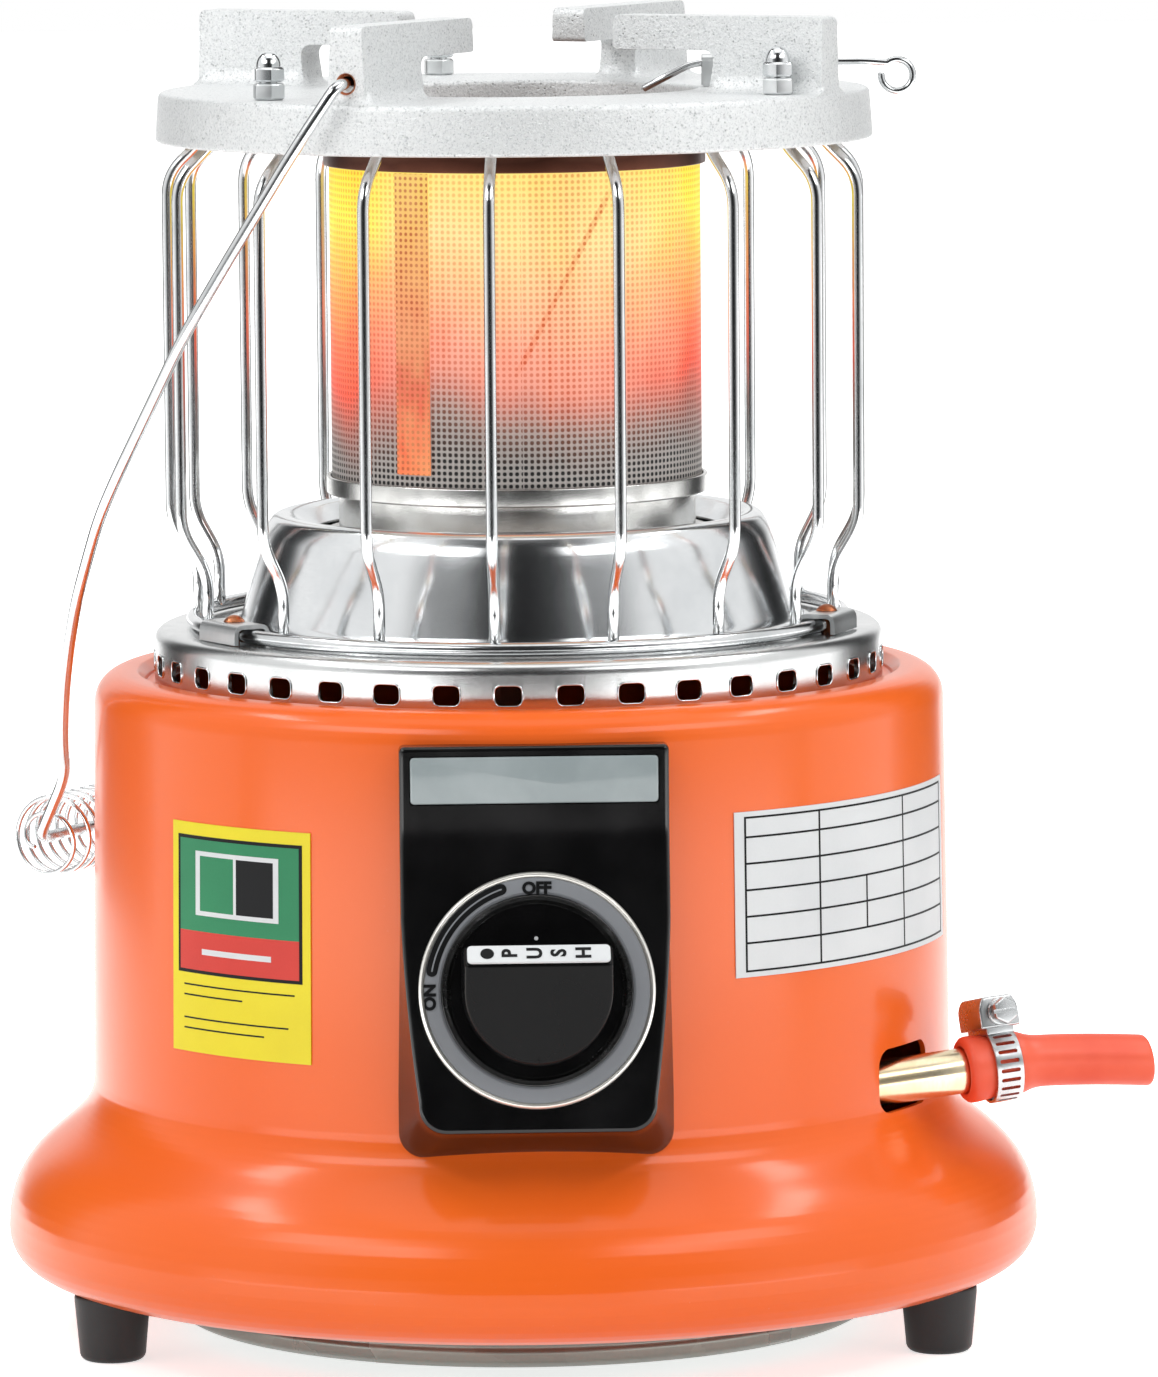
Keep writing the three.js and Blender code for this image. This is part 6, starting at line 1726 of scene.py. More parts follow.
@dataclass
class TurnRod:
    """The thin rod with its eye, and the saddle that it turns in."""

    wire: float = 1.0
    height: float = 354.6
    eye_centre: float = 107.0
    eye_radius: float = 4.4
    eye_drop: float = 4.0
    crank: Triple = (50.0, 36.0, 7.2)
    bends: Quad = (0.0, 4.0, 4.0, 0.8)
    saddle: Triple = (52.5, 60.5, 6.4)
    saddle_foot: float = 348.3

    def build(self) -> None:
        """Adds the rod and its saddle."""
        eye = arc_points((self.eye_centre, self.height - self.eye_drop), self.eye_radius, 128, -190, 36)
        start, end, drop = self.crank
        line = np.vstack([[(end, self.height - drop), (start, self.height),
                           (self.eye_centre - 8.8, self.height)], eye])
        line = soften(line, np.r_[self.bends, np.full(len(eye) - 1, 0.3)], 6)
        path = together(line[:, 0], 0.0, line[:, 1])
        add_piece("turn_rod_wire", swept(path, self.wire, (0, 1, 0), 12), Look.WIRE, "turn_rod",
                  body=Body.ROD, sharp=50)
        low, high, width = self.saddle
        side, roof = width / 2 - SHEET / 2, self.height + self.wire + CLEARANCE + SHEET / 2
        line = [(side, self.saddle_foot), (side, roof), (-side, roof), (-side, self.saddle_foot)]
        sheet = bent_sheet(line, SHEET, low, high, 1.6)
        add_piece("rod_saddle", sheet, Look.BRIGHT_ZINC, "rod_bearing")


@dataclass
class Controls:
    """The black panel with its window, dial ring, knob and printed strip."""

    width: float = 72.2
    top: float = 178.4
    bottom: float = 68.0
    face: float = 124.0
    shell: float = SHELL_RADIUS
    brow: float = 154.0
    brow_soft: float = 0.9
    edge: float = 1.3
    tilt: float = 9.5
    side_slope: float = 0.3
    bend: Pair = (132.0, 84.0)
    bottom_slope: float = 0.5
    corners: Pair = (7.0, 1.5)
    window: Triple = (66.4, 12.6, 175.6)
    dial_height: float = 113.5
    dial: Pair = (25.4, 31.7)
    rings: tuple[tuple[str, Look, float, tuple[Pair, ...], tuple[str, ...]], ...] = (
        ("dial_band", Look.DIAL, 0.2, ((25.7, 0.2), (30.2, 0.2), (30.2, 2.5), (26.4, 2.6), (25.7, 2.0)),
         ("dial_ring",)),
        ("dial_rim", Look.DIAL_RIM, 0.35,
         ((30.1, 0.2), (31.7, 0.2), (31.7, 2.2), (31.0, 3.1), (30.1, 2.7)), ()),
        ("dial_well", Look.WELL, 0.4,
         ((23.0, 0.05), (25.6, 0.05), (25.6, 2.3), (25.2, 2.35), (24.2, 1.2), (23.1, 0.6)), ()),
    )
    knob_radius: float = 20.3
    knob_flat: float = 12.0
    knob_depth: float = 18.0
    knob_toe: float = 8.0
    knob_chamfer: float = 5.6
    knob_back: float = 3.6
    knob_corner: float = 2.2
    knob_edge: float = 1.1
    knob_draft: float = 0.035
    ridge_soft: float = 0.35
    bevel: float = 40.0
    strip: Triple = (38.0, 6.0, 0.8)
    ring_face: float = -2.3
    ring_print: float = -2.65
    track: Pair = (-79.0, -19.0)
    track_lines: tuple[Pair, ...] = ((1.5, 0.1), (0.2, 0.2))
    words_in: float = 1.4
    ring_words: tuple[tuple[str, float, float], ...] = (("OFF", 0.5, 0.0), ("ON", -93.0, 90.0))
    ring_size: float = 4.4
    letters: tuple[tuple[str, float], ...] = (("P", -7.6), ("U", -1.0), ("S", 5.4), ("H", 12.0))
    letter_size: float = 5.6
    ink: float = 0.08
    dot: Pair = (-13.7, 1.8)
    pip: Pair = (13.9, 0.55)

    def slope(self) -> float:
        """How fast the panel's face leans out below its brow."""
        return math.tan(math.radians(self.tilt))

    def dial_place(self, points: Array) -> Array:
        """Takes what is made round the knob's axis, face at y = 0, to its place on the panel."""
        front = self.face + (self.brow - self.dial_height) * self.slope()
        return leant(points, self.tilt) + (0, -front, self.dial_height)

    def on_dial(self, profile: Array, reach: float, sides: int = 144) -> Solid:
        """A (radius, height) profile turned about the knob's axis, height counted outwards."""
        flat = turned(profile, reach, sides)
        return flat.placed(lambda p: together(p[..., 0], -p[..., 2], -p[..., 1])).placed(self.dial_place)

    def panel(self) -> Mesh:
        """The moulded panel, with a soft brow and a pocket for the window."""
        low_corner, high_corner = self.corners
        share = np.linspace(0, 1, 90)[1:-1]
        spin = np.radians(np.linspace(0, RIGHT_ANGLE, 9))

        def side(distance: Array, sign: int) -> Array:
            """The outline of one side, each point at its own distance: corner, wall and corner."""
            proud = np.broadcast_to(distance, len(spin) * 2 + len(share)) - self.shell
            first, middle, last = proud[:len(spin)], proud[len(spin):-len(spin)], proud[-len(spin):]
            foot = self.bottom + self.bottom_slope * middle + low_corner
            level = foot + share * (self.top - high_corner - foot)
            lean = self.side_slope * np.clip((self.bend[0] - level) / (self.bend[0] - self.bend[1]), 0, 1)
            half, low = self.width / 2 - self.side_slope * first, self.bottom + self.bottom_slope * first
            under = together(half - low_corner * (1 - np.sin(spin)), low + low_corner * (1 - np.cos(spin)))
            wall = together(self.width / 2 - lean * middle, level)
            over = together(self.width / 2 - high_corner * (1 - np.cos(spin)) + 0 * last,
                            self.top - high_corner * (1 - np.sin(spin)))
            return np.vstack([under, wall, over]) * (sign, 1)

        def outline(distance: Array) -> Array:
            """Both sides, closed."""
            count = len(spin) * 2 + len(share)
            both = np.broadcast_to(distance, count * 2 + 1)
            ring = np.vstack([side(both[:count], 1), side(both[count:-1][::-1], -1)[::-1]])
            return np.vstack([ring, ring[:1]])

        def front(height: Array) -> Array:
            """The face's distance: f + m w ln(1 + e^((brow - z) / w)), straight but for its brow."""
            soft = self.brow_soft
            return self.face + self.slope() * soft * np.logaddexp(0, (self.brow - height) / soft)

        mesh = mesh_of("moulded_panel", crowned(outline, self.shell - 3.0, front, self.edge, 30), 40)
        width, height, top = self.window
        half, gap = width / 2, CLEARANCE
        pocket = rounded_box((-half - gap, top - height - gap), (half + gap, top + gap), (1.2,) * 4)
        return carve(mesh, slab(pocket, -self.face - 3, -self.face + 1.4, CUT_EDGE), 40)

    def knob(self) -> Solid:
        """The D-shaped knob: a round back, a flat top edge, a face that falls to its toe and a bevel."""
        radius, flat = self.knob_radius, self.knob_flat
        ridge = flat - self.knob_chamfer
        high, low = self.knob_back + self.knob_depth, self.knob_back + self.knob_toe
        fall = (high - low) / (radius + ridge)
        bevel = math.tan(math.radians(self.bevel))
        turn = np.radians(np.linspace(0, RIGHT_ANGLE, 46))
        corner = np.radians(np.linspace(0, RIGHT_ANGLE, 8))
        round_ = together(radius * np.sin(turn), -radius * np.cos(turn))
        level = np.linspace(0, flat - self.knob_corner, 44)[1:-1]
        wall = together(radius, level)
        over = together(radius - self.knob_corner * (1 - np.cos(corner)),
                        flat - self.knob_corner * (1 - np.sin(corner)))
        half = np.vstack([round_, wall, over])
        full = np.vstack([half, half[::-1] * (-1, 1)])

        def outline(distance: Array) -> Array:
            """The knob's outline, drafted with the distance."""
            draft = 1 - self.knob_draft * (np.broadcast_to(distance, len(full) + 1)[:-1]
                                 - self.knob_back) / self.knob_depth
            ring = full * draft[:, None]
            return np.vstack([ring, ring[:1]])

        def front(height: Array) -> Array:
            """The lower of the sloping face and the bevel, blended: -w ln(e^(-a / w) + e^(-b / w))."""
            soft = self.ridge_soft
            slope, cut = high - (ridge - height) * fall, high - (height - ridge) * bevel
            return -soft * np.logaddexp(-slope / soft, -cut / soft)

        return crowned(outline, self.knob_back, front, self.knob_edge, 30).placed(self.dial_place)

    def on_bevel(self, points: Array) -> Array:
        """Takes what is made in X and Z round the middle of the knob's bevel to that bevel."""
        spun = leant(points + (0, -0.1, self.strip[1] / 2 + CLEARANCE), self.bevel)
        return self.dial_place(spun + (0, -self.knob_back - self.knob_depth,
                                       self.knob_flat - self.knob_chamfer))

    def words(self) -> None:
        """Adds the words and marks: OFF and ON with their track on the ring, and PUSH on the strip."""
        inner, outer = self.dial
        middle = (inner + outer) / 2
        turn, track = np.linspace(*self.track, 41), []

        def on_circle(radius: float, angle: Array | float) -> Array:
            """Points (r sin a, r cos a)."""
            return radius * together(np.sin(np.radians(angle)), np.cos(np.radians(angle)))

        for half, raised in self.track_lines:
            far, near = on_circle(middle + half, turn), on_circle(middle - half, turn)
            tips = []
            for angle, start in ((turn[-1], 0), (turn[0], 180)):
                sweep = np.linspace(start, start + 180, 9)[1:-1, None]
                tips.append(on_circle(middle, angle) + half * (np.cos(np.radians(sweep)) * on_circle(1, angle)
                            + np.sin(np.radians(sweep)) * on_circle(1, angle + 90)))
            loop = np.vstack([far, tips[0], near[::-1], tips[1], far[:1]])
            plate = slab(loop, self.ring_print - raised, self.ring_face, 0.04)
            track.append(plate.placed(self.dial_place))
        add_piece("dial_track", track[0], Look.INK)
        add_piece("dial_track_core", track[1], Look.DIAL)

        def on_ring(angle: float, turn: float) -> Placing:
            """Takes a word to its angle on the ring, turned in the ring's plane."""
            a, t = math.radians(angle), math.radians(turn)
            reach = middle - self.words_in * math.cos(a)
            centre = (reach * math.sin(a), self.ring_print - 0.05, reach * math.cos(a))
            spin = np.array([[math.cos(t), 0, math.sin(t)], [0, 1, 0], [-math.sin(t), 0, math.cos(t)]])
            return lambda p: self.dial_place(p @ spin + centre)

        for text, angle, turn in self.ring_words:
            mesh = lettering(text, self.ring_size, 0.2, on_ring(angle, turn), 0.05)
            add_piece(f"dial_word_{text.lower()}", mesh, Look.INK)
        face, ink = -self.strip[2] - self.ink, self.ink
        on_side = np.array([[0, 0, 1], [0, 1, 0], [-1, 0, 0]])
        for letter, across in self.letters:
            mesh = lettering(letter, self.letter_size, 2 * ink,
                             lambda p: self.on_bevel(p @ on_side + (across, face, 0)))
            add_piece(f"strip_letter_{letter.lower()}", mesh, Look.INK, body=Body.KNOB)
        disc = arc_points((self.dot[0], 0), self.dot[1], 0, FULL_TURN, 32)
        dot = slab(disc, face - ink, face + ink, 0.03).placed(self.on_bevel)
        add_piece("strip_dot", dot, Look.INK, body=Body.KNOB)
        pip = slab(arc_points((0, self.pip[0]), self.pip[1], 0, FULL_TURN, 24), -0.25, 0.2, 0.08)
        add_piece("panel_pip", pip.placed(self.dial_place), Look.WHITE)

    def build(self) -> None:
        """Adds the controls."""
        add_piece("moulded_panel", self.panel(), Look.GLOSS_BLACK, "control_panel")
        width, height, top = self.window
        pane = slab(rounded_box((-width / 2, top - height), (width / 2, top), (1.1,) * 4),
                    -self.face - 0.25, -self.face + 1.1, 0.5)
        add_piece("window_pane", pane, Look.WINDOW, "panel_window", sharp=50)
        for name, look, reach, profile, nodes in self.rings:
            add_piece(name, self.on_dial(profile, reach), look, *nodes)
        add_piece("push_knob", self.knob(), Look.KNOB_BLACK, "control_knob", body=Body.KNOB, sharp=50)
        length, width, thick = self.strip
        strip = slab(centred_box((length, width), 1.3), -thick, 0, 0.25)
        add_piece("knob_band", strip.placed(self.on_bevel), Look.WHITE, "knob_strip", body=Body.KNOB)
        self.words()
        dress(Look.WIRE, "valve_spindle")
        dress(Look.BRASS, "gas_valve", "gas_jet")
        dress(Look.BRIGHT_ZINC, "valve_bracket")


@dataclass
class GasLine:
    """The inlet pipe, the cut end of the hose and the worm clamp."""

    exit_radius: float = SHELL_RADIUS
    exit_angle: float = 59.5
    exit_height: float = 77.0
    heading: float = 104.6
    climb: float = 5.2
    pipe: float = 6.3
    pipe_run: float = 37.0
    pipe_bends: Quad = (0.0, 15.0, 6.0, 0.0)
    port: Pair = (17.2, 3.0)
    hose: float = 7.2
    bore: float = 4.7
    swell: float = 9.1
    start: float = 16.5
    swell_length: float = 15.6
    taper: float = 6.0
    length: float = 54.5
    droop: float = 4.9
    band: Triple = (6.9, 7.8, 0.8)
    slots: int = 9
    slot: Pair = (0.36, 1.1)
    slot_pitch: float = 15.0
    housing: Triple = (13.6, 12.2, 8.8)
    skew: float = 9.0
    lean: float = 12.0
    screw: Triple = (2.6, 6.6, 4.2)
    bridge: Triple = (4.2, 1.8, 6.0)
    groove: Pair = (0.65, 0.45)

    def axes(self) -> tuple[Array, Array, Array]:
        """Along the pipe, level across it, and up."""
        along = polar(math.cos(math.radians(self.climb)), self.heading, math.sin(math.radians(self.climb)))
        level = unit(np.cross([0, 0, 1], along))
        return along, level, np.cross(along, level)

    def on_pipe(self, distance: float) -> Placing:
        """Takes what is made with the pipe's line along +X and up along +Z to a place on the hose."""
        basis = np.stack(self.axes())
        origin = polar(self.exit_radius, self.exit_angle,
                       self.exit_height) + basis[0] * (self.start + distance)
        return lambda points: points @ basis + origin

    def on_hose(self, points: Array) -> Array:
        """As on_pipe at the hose's start, with the hose's droop: d^1.4 past the clamp."""
        free = np.maximum(points[..., 0] - self.swell_length, 0) / (self.length - self.swell_length)
        sag = self.droop * np.minimum(free, 1.02) ** 1.4
        return self.on_pipe(0.0)(points) - sag[..., None] * (0, 0, 1)

    def leaned(self, points: Array) -> Array:
        """Takes what is made over the clamp, seat at z = 0, to its leaning place on the band."""
        start, width, wall = self.band
        askew = turned_to(self.skew)(points) + (width / 2 - 0.8, 0, self.swell + wall + CLEARANCE)
        return self.on_pipe(start)(leant(askew, self.lean))

    def build(self) -> None:
        """Adds the line's pieces."""
        along = self.axes()[0]
        exit_ = polar(self.exit_radius, self.exit_angle, self.exit_height)
        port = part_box("gas_valve")
        behind, above = self.port
        top = (0.0, (port[0][1] / MM) + behind, (port[0][2] / MM) + TRAY_BOTTOM + above)
        corner = exit_ - along * (exit_[0] / along[0])
        way = soften([top, corner, exit_, exit_ + along * self.pipe_run], self.pipe_bends, 14)
        add_piece("inlet_pipe", swept(way, self.pipe, (-along[1], along[0], 0), 48, 0.15), Look.BRASS,
                  "gas_pipe", sharp=50)
        add_piece("hose_stub", stationed(self.on_hose, self.hose_line(), 64), Look.HOSE, "gas_hose", sharp=40)
        self.clamp()

    def hose_line(self) -> Array:
        """The hose's stations: its mouth on the pipe, its swell, its taper, its run and its cut end."""
        end, swell, slim, bore, pipe, neck = (self.length, self.swell, self.hose, self.bore, self.pipe,
                                              self.swell_length)
        return np.vstack([
            [(1.5, 0.0), (1.5, pipe + 0.1), (0.2, pipe + 0.5), (0.0, pipe + 1.0), (0.1, swell - 0.9),
             (0.9, swell - 0.1), (1.8, swell + 0.15), (3.5, swell + 0.1), (6.8, swell - 0.25),
             (8.0, swell - 0.5), (neck - 1.5, swell - 0.5), (neck - 0.2, swell - 0.2)],
            bezier([(neck, swell - 0.3), (neck + 2.2, swell - 0.6), (neck + 3, slim),
                    (neck + self.taper + 2, slim)], 12),
            together(np.linspace(neck + 9, end - 1.2, 16), slim),
            [(end - 0.5, slim - 0.15), (end - 0.1, slim - 0.5), (end, slim - 0.9), (end, bore + 0.4),
             (end - 0.3, bore + 0.05), (end - 1.2, bore), (end - 16, bore), (end - 16, 0)],
        ])

    def clamp(self) -> None:
        """Adds the slotted band, the housing of its worm and the screw."""
        start, width, wall = self.band
        inner = self.swell + CLEARANCE
        loop = soften([(0, inner), (0, inner + wall), (width, inner + wall), (width, inner)], 0.25, 3, True)
        mesh = mesh_of("worm_band", stationed(self.on_pipe(start), loop, 120), 35)
        half, tall = width * self.slot[0], self.slot[1] / 2
        thread = rounded_box((width / 2 - half, -tall), (width / 2 + half, tall), (0.5,) * 4, 4)
        slot = slab(thread, -inner - wall - 1, -inner + 0.4, CUT_EDGE)
        leans = self.slot_pitch * (np.arange(self.slots) - (self.slots - 1) / 2)
        cutter = gathered([slot.placed(lambda p: leant(p, -lean)).placed(self.on_pipe(start))
                           for lean in leans])
        add_piece("worm_band", carve(mesh, cutter, 35), Look.CLAMP, "clamp_band")
        length, wide, high = self.housing
        arch = arc_points((0, high / 2), wide / 2, 8, 172, 14)
        arch[:, 1] = np.minimum(arch[:, 1], high)
        outline = soften(np.vstack([[(-wide / 2, 0), (wide / 2, 0)], arch]), 0.5, 3, True)
        half, sunk, deep = self.bridge
        bridge = slab(rounded_box((-half, -sunk), (half, 1.0), (0.4,) * 4), -deep, deep)
        house = (slab(outline, -length / 2, length / 2, 0.7) + bridge).placed(self.leaned)
        add_piece("clamp_worm_housing", house, Look.CLAMP, "clamp_housing", sharp=40)
        shank, head, tall = self.screw
        centre, front = (0, high / 2 - 0.1), -length / 2 - CLEARANCE
        nut, washer = hexagon(head) + centre, arc_points(centre, head / 2 + 0.6, 0, FULL_TURN, 40)
        screw = slab(washer, front - 1.2, front, 0.35) + slab(nut, front - tall, front - 1.0, 0.45)
        tail = slab(arc_points(centre, shank, 0, FULL_TURN, 24), length / 2 - 0.5, length / 2 + 3, 0.5)
        mesh = mesh_of("clamp_screw_head", (screw + tail).placed(self.leaned), 30)
        below, above = self.groove
        groove = rounded_box((-head, high / 2 - below), (head, high / 2 + above), (0.1,) * 4)
        cutter = slab(groove, front - tall - 2, front - tall + 1.2, CUT_EDGE).placed(self.leaned)
        add_piece("clamp_screw_head", carve(mesh, cutter, 30), Look.CLAMP, "clamp_screw")


@dataclass
class Labels:
    """The yellow sticker and the ruled white plate, both without words."""

    radius: float = SHELL_RADIUS
    top_radius: float = SHELL_TOP_RADIUS
    low: float = 72.0
    high: float = 178.5
    sticker: Quad = (-54.0, -30.0, 90.0, 153.0)
    plate: Quad = (27.0, 76.0, 112.5, 157.5)
    gap: float = 0.1
    film: float = 0.3
    ink: float = 0.06
    column: float = 1.2
    row: float = 12.0
    sharp: float = 60.0
    prints: tuple[tuple[str, int, Look, tuple[Quad, ...]], ...] = (
        ("sticker_border", 1, Look.INK, ((0.05, 0.95, 0.345, 0.945),)),
        ("sticker_panel", 2, Look.GREEN, ((0.07, 0.93, 0.53, 0.93),)),
        ("sticker_band", 2, Look.RED, ((0.07, 0.93, 0.36, 0.53),)),
        ("sticker_frame", 3, Look.WHITE, (
            (0.2, 0.8, 0.86, 0.88), (0.2, 0.8, 0.6, 0.62), (0.2, 0.235, 0.62, 0.86),
            (0.765, 0.8, 0.62, 0.86), (0.49, 0.51, 0.62, 0.86), (0.25, 0.75, 0.43, 0.455))),
        ("sticker_opening", 3, Look.INK, ((0.51, 0.765, 0.62, 0.86),)),
        ("sticker_rules", 1, Look.INK, (
            (0.1, 0.9, 0.29, 0.297), (0.1, 0.55, 0.245, 0.252), (0.1, 0.86, 0.145, 0.152),
            (0.1, 0.7, 0.1, 0.107))),
    )
    rules: tuple[Quad, ...] = (
        *((0.03, 0.97, y, y + 0.012) for y in (0.03, 0.2, 0.36, 0.52, 0.68, 0.84, 0.958)),
        (0.03, 0.036, 0.03, 0.97), (0.964, 0.97, 0.03, 0.97), (0.28, 0.286, 0.03, 0.97),
        (0.66, 0.666, 0.03, 0.97), (0.47, 0.476, 0.2, 0.52),
    )

    def under(self, level: float) -> float:
        """The shell's radius at a height."""
        share = (level - self.low) / (self.high - self.low)
        return self.radius + (self.top_radius - self.radius) * share

    def block(self, place: Quad, lift: float, thick: float) -> Solid:
        """A curved plate between two angles and two heights, lifted off the shell.

        Args:
            place: its two angles and its two heights.
            lift: its height over the shell.
            thick: its thickness.

        Returns:
            The plate.
        """
        start, stop, low, high = place
        angles = np.linspace(start, stop, int(abs(stop - start) / self.column) + 2)
        return patch(angles, (low, high), (self.under(low) + lift, self.under(high) + lift), thick,
                     max(1, int((high - low) / self.row)))

    def inside(self, area: Quad, shares: Quad) -> Quad:
        """A part of an area, given as shares of its width and height from its lower left.

        Args:
            area: two angles and two heights.
            shares: from left to right and from foot to top.

        Returns:
            The part's own angles and heights.
        """
        start, stop, low, high = area
        wide, tall = stop - start, high - low
        left, right, foot, top = shares
        return start + left * wide, start + right * wide, low + foot * tall, low + top * tall

    def printed(self, name: str, area: Quad, blocks: tuple[Quad, ...], level: int, finish: Look) -> None:
        """Adds one ink.

        Args:
            name: of its piece.
            area: the label that it is printed on.
            blocks: where it lies, as inside() takes them.
            level: its place among the inks, the lowest being 1.
            finish: its colour.
        """
        lift = self.gap + self.film + self.ink * (level - 1)
        inks = gathered([self.block(self.inside(area, shares), lift, self.ink) for shares in blocks])
        add_piece(name, inks, finish, sharp=self.sharp)

    def build(self) -> None:
        """Adds both labels and their print."""
        sticker, plate = (self.block(place, self.gap, self.film) for place in (self.sticker, self.plate))
        add_piece("yellow_sticker", sticker, Look.YELLOW, "front_sticker", sharp=self.sharp)
        for name, level, look, blocks in self.prints:
            self.printed(name, self.sticker, blocks, level, look)
        add_piece("rating_plate", plate, Look.WHITE, "rating_label", sharp=self.sharp)
        self.printed("plate_rules", self.plate, self.rules, 1, Look.INK)


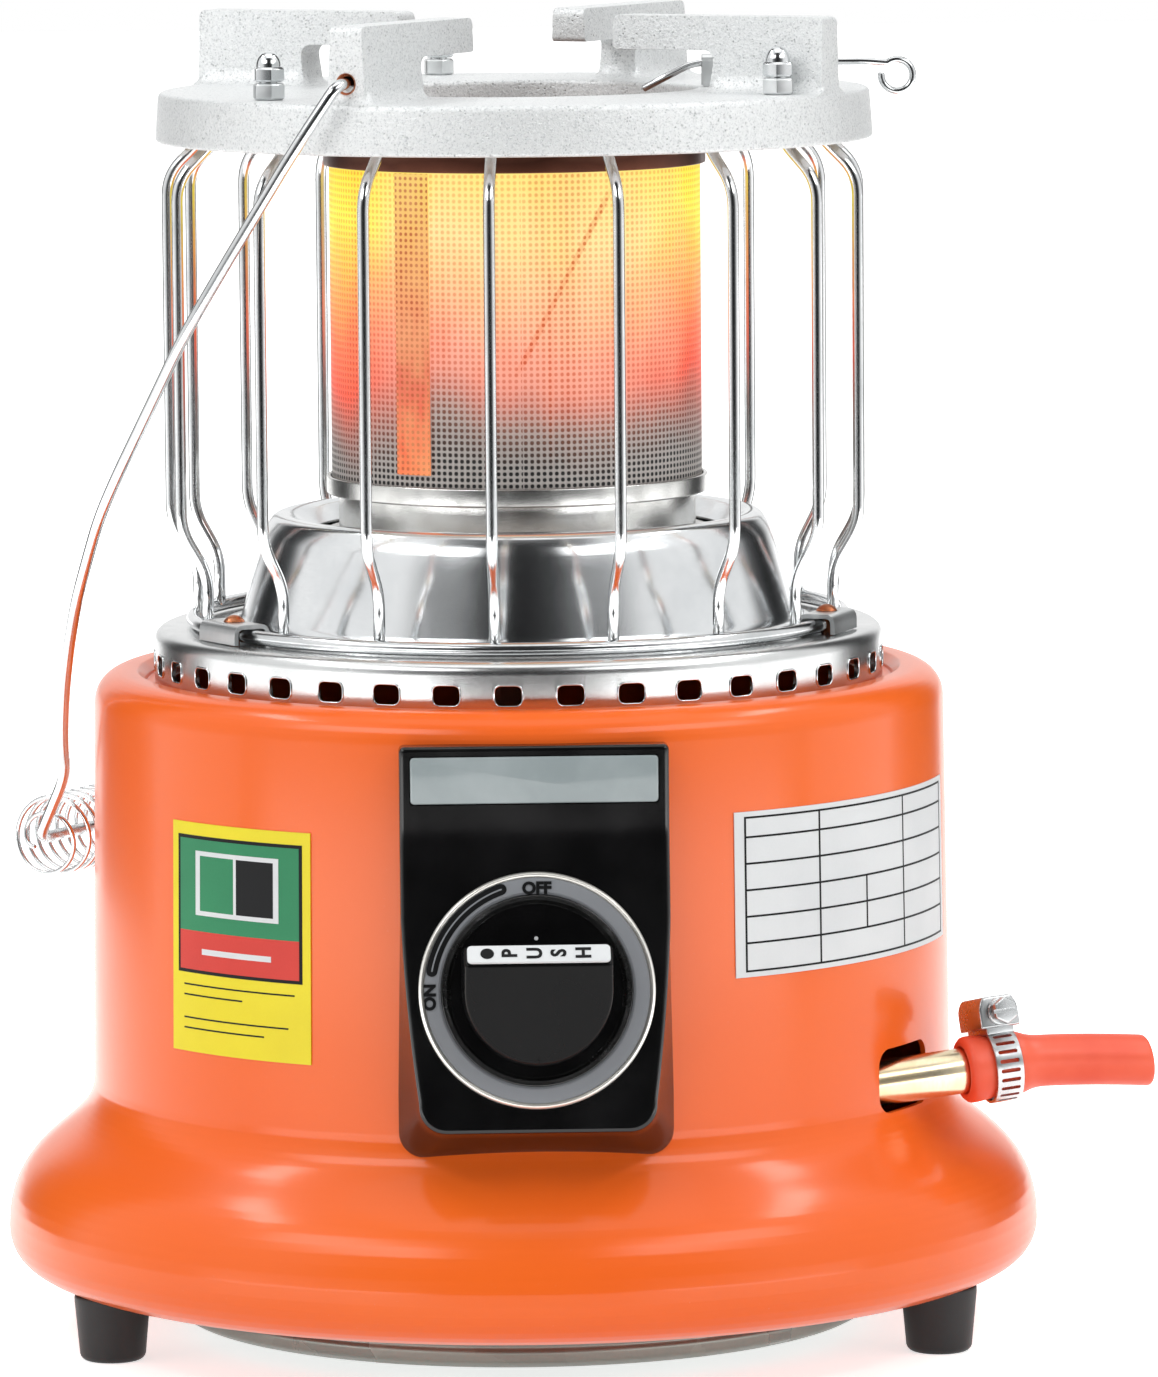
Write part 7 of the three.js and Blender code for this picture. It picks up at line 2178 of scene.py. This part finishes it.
@dataclass
class Studio:
    """A plain pale floor, soft lamps and the camera at the photograph's place."""

    place: Triple = (-0.0772, -2.4740, 0.4604)
    yaw: float = 0.0380
    pitch: float = 0.1148
    roll: float = -0.008
    lens: float = 232.02
    sensor: float = 36.0
    clip: Pair = (0.05, 60.0)
    # shades of the cards that only mirrors see: they paint the reflections, dark towards the front and white
    # to the sides
    shades: Stops = ((0.0, "1a1a1b"), (0.25, "3c3d3e"), (0.5, "858687"), (0.68, "f2f2f2"), (1.0, "ffffff"))
    dark: Stops = ((0.0, "1c1c1d"), (0.6, "4c4d4e"), (1.0, "f0f0f0"))
    light: Stops = ((0.0, "ffffff"), (0.6, "ffffff"), (1.0, "606060"))
    target: Triple = (0.0, 0.0, 0.17)
    sky: Pair = (0.55, 1.0)
    floor_half: float = 9.0
    floor_fade: Pair = (0.14, 0.34)
    floor_light: Pair = (0.7, 1.0)
    card_rise: Pair = (0.5, 2200.0)
    # bright cards that only mirrors see: they paint highlight streaks on the glossy shell and light nothing
    streak: Triple = (47.0, 29.0, 960.0)
    streaks: tuple[tuple[str, Pair, float], ...] = (("high", (720.0, 1150.0), 4.0), ("low", (0.5, 75.0), 5.0))
    lamps: tuple[tuple[str, Triple, Pair, float], ...] = (
        ("soft", (1.75, -1.0, 1.15), (1.4, 1.6), 5.0), ("strip", (1.4, -1.3, 1.9), (2.0, 0.3), 8.0),
        ("rear_strip", (1.15, 0.4, 1.75), (1.2, 0.22), 7.0),
    )
    top_lamp: tuple[Triple, Pair, float] = ((0.1, -0.3, 2.0), (1.6, 1.6), 4.0)

    def aimed(self, place: tuple, ahead: Array, roll: float = 0.0) -> Matrix:
        """A place and a turn that look along a direction.

        Args:
            place: in metres.
            ahead: the direction, of length 1.
            roll: the turn about it.

        Returns:
            The matrix, its columns being the side, the top, the back and the place.
        """
        cos, sin = math.cos(roll), math.sin(roll)
        right = unit(np.cross(ahead, [0, 0, 1]))
        above = np.cross(right, ahead)
        rows = np.column_stack([right * cos + above * sin, above * cos - right * sin, -ahead, place])
        return Matrix([*rows.tolist(), (0, 0, 0, 1)])

    def camera(self) -> None:
        """Adds the camera, which looks along its yaw and pitch."""
        data = bpy.data.cameras.new("photo_camera")
        data.lens, data.sensor_width, data.sensor_fit = self.lens, self.sensor, "AUTO"
        data.clip_start, data.clip_end = self.clip
        camera = linked("photo_camera", data)
        level = math.cos(self.pitch)
        ahead = np.array([math.sin(self.yaw) * level, math.cos(self.yaw) * level, -math.sin(self.pitch)])
        camera.matrix_world = self.aimed(self.place, ahead, self.roll)
        bpy.context.scene.camera = camera

    def lamp(self, name: str, place: Triple, size: Pair, power: float) -> None:
        """Adds a soft rectangular lamp that faces the heater.

        Args:
            name: of the lamp.
            place: in metres.
            size: its two sides in metres.
            power: in watts.
        """
        data = bpy.data.lights.new(name, "AREA")
        data.shape, data.size, data.size_y, data.energy = "RECTANGLE", *size, power
        linked(name, data).matrix_world = self.aimed(place, unit(np.array(self.target) - place))

    def world(self) -> None:
        """White wherever the camera, a mirror or glass looks, and a plain light on the object."""
        world = bpy.data.worlds.new("studio")
        bpy.context.scene.world = world
        world.use_nodes = True
        tree = Tree(world.node_tree)
        ray = tree.add("LightPath", {}).outputs
        mirror = tree.math("MAXIMUM", ray["Is Glossy Ray"], ray["Is Transmission Ray"])
        seen = tree.math("MAXIMUM", ray["Is Camera Ray"], mirror)
        lit, white = (tree.add("Background", {0: (1, 1, 1, 1), 1: power}).outputs[0] for power in self.sky)
        tree.add("OutputWorld", {0: tree.add("MixShader", {0: seen, 1: lit, 2: white}).outputs[0]})

    def staged(self, name: str, mesh: Mesh, sheet: Sheet) -> bpy.types.Object:
        """Adds a piece of the stage.

        Args:
            name: of the piece.
            mesh: its shape.
            sheet: what it is covered with.

        Returns:
            The piece.
        """
        mesh.materials.append(sheet.material)
        piece = linked(name, mesh)
        return piece

    def floor(self) -> None:
        """Adds the floor: pale under the heater, and as white as the backdrop further out."""
        s = Sheet("pale_floor")
        away = s.add("VectorMath", {0: s.coords["Object"]}, operation="LENGTH").outputs["Value"]
        light = s.spread(away, *self.floor_light, *self.floor_fade)
        ray = s.add("LightPath", {}).outputs
        seen = s.math("MAXIMUM", ray["Is Camera Ray"], ray["Is Glossy Ray"])
        s.set(Base_Color="f4f4f3", Roughness=0.7, Specular_IOR_Level=0.1, Emission_Color=(1, 1, 1, 1))
        s.set(Emission_Strength=s.math("MULTIPLY", seen, light))
        drop, wide = -TRAY_BOTTOM * MM, self.floor_half
        corners = [(-wide, -wide, drop), (wide, -wide, drop), (wide, wide, drop), (-wide, wide, drop)]
        mesh = bpy.data.meshes.new("studio_floor")
        mesh.from_pydata(corners, [], [tuple(range(len(corners)))])
        self.staged("studio_floor", mesh, s)

    def card(self, name: str, angle: float, half: float, stops: Stops, rise: Pair | None = None,
             radius: float = 1000.0, strength: float = 1.0) -> None:
        """Adds a curved card that only mirrors see, shaded from its middle line to its ends.

        Args:
            name: of the card.
            angle: of its middle, in degrees from the front.
            half: half of the angle that it spans.
            stops: its shades, from the middle line at 0 to its ends at 1.
            rise: the heights of its lower and upper edge, if not the usual ones.
            radius: of its curve round the heater.
            strength: of its light.
        """
        turn = np.linspace(-half, half, 41)
        height = np.array(rise or self.card_rise)[:, None]
        points = polar(radius, angle + turn, height)
        pattern = together(np.abs(turn) / half, height)
        s = Sheet(name + "_shade")
        s.set(Base_Color=(0, 0, 0, 1), Specular_IOR_Level=0.0, Roughness=1.0)
        s.set(Emission_Color=s.ramp(s.split("UV")[0], stops), Emission_Strength=strength)
        card = self.staged(name, mesh_of(name, Solid([Grid(points, pattern)])), s)
        card.visible_camera = card.visible_diffuse = card.visible_shadow = False
        card.visible_transmission = False

    def build(self) -> None:
        """Sets the stage."""
        self.camera()
        self.world()
        self.floor()
        self.card("card_front", 0.0, 78.0, self.shades)
        turn, half, near = self.streak
        for name, side in (("left", -1), ("right", 1)):
            self.card(f"card_{name}", side * 132.0, 20.0, self.dark)
            for word, rise, strength in self.streaks:
                self.card(f"card_{name}_{word}", side * turn, half, self.light, rise, near, strength)
            for word, (out, *place), size, power in self.lamps:
                self.lamp(f"{name}_{word}", (side * out, *place), size, power)
        self.lamp("top_soft", *self.top_lamp)
        bpy.context.scene.view_settings.view_transform = "Standard"


def main() -> None:
    """Builds the heater in order and sets the stage."""
    logging.basicConfig(level=logging.INFO, format="%(message)s")
    Studio().build()
    for part in (Drum(), VentedRing(), Emitter(), Guard(), PanStand(), Bail(), TurnRod(), Controls(),
                 GasLine(), Labels()):
        log.info("building %s", type(part).__name__)
        part.build()


if __name__ == "__main__":
    main()
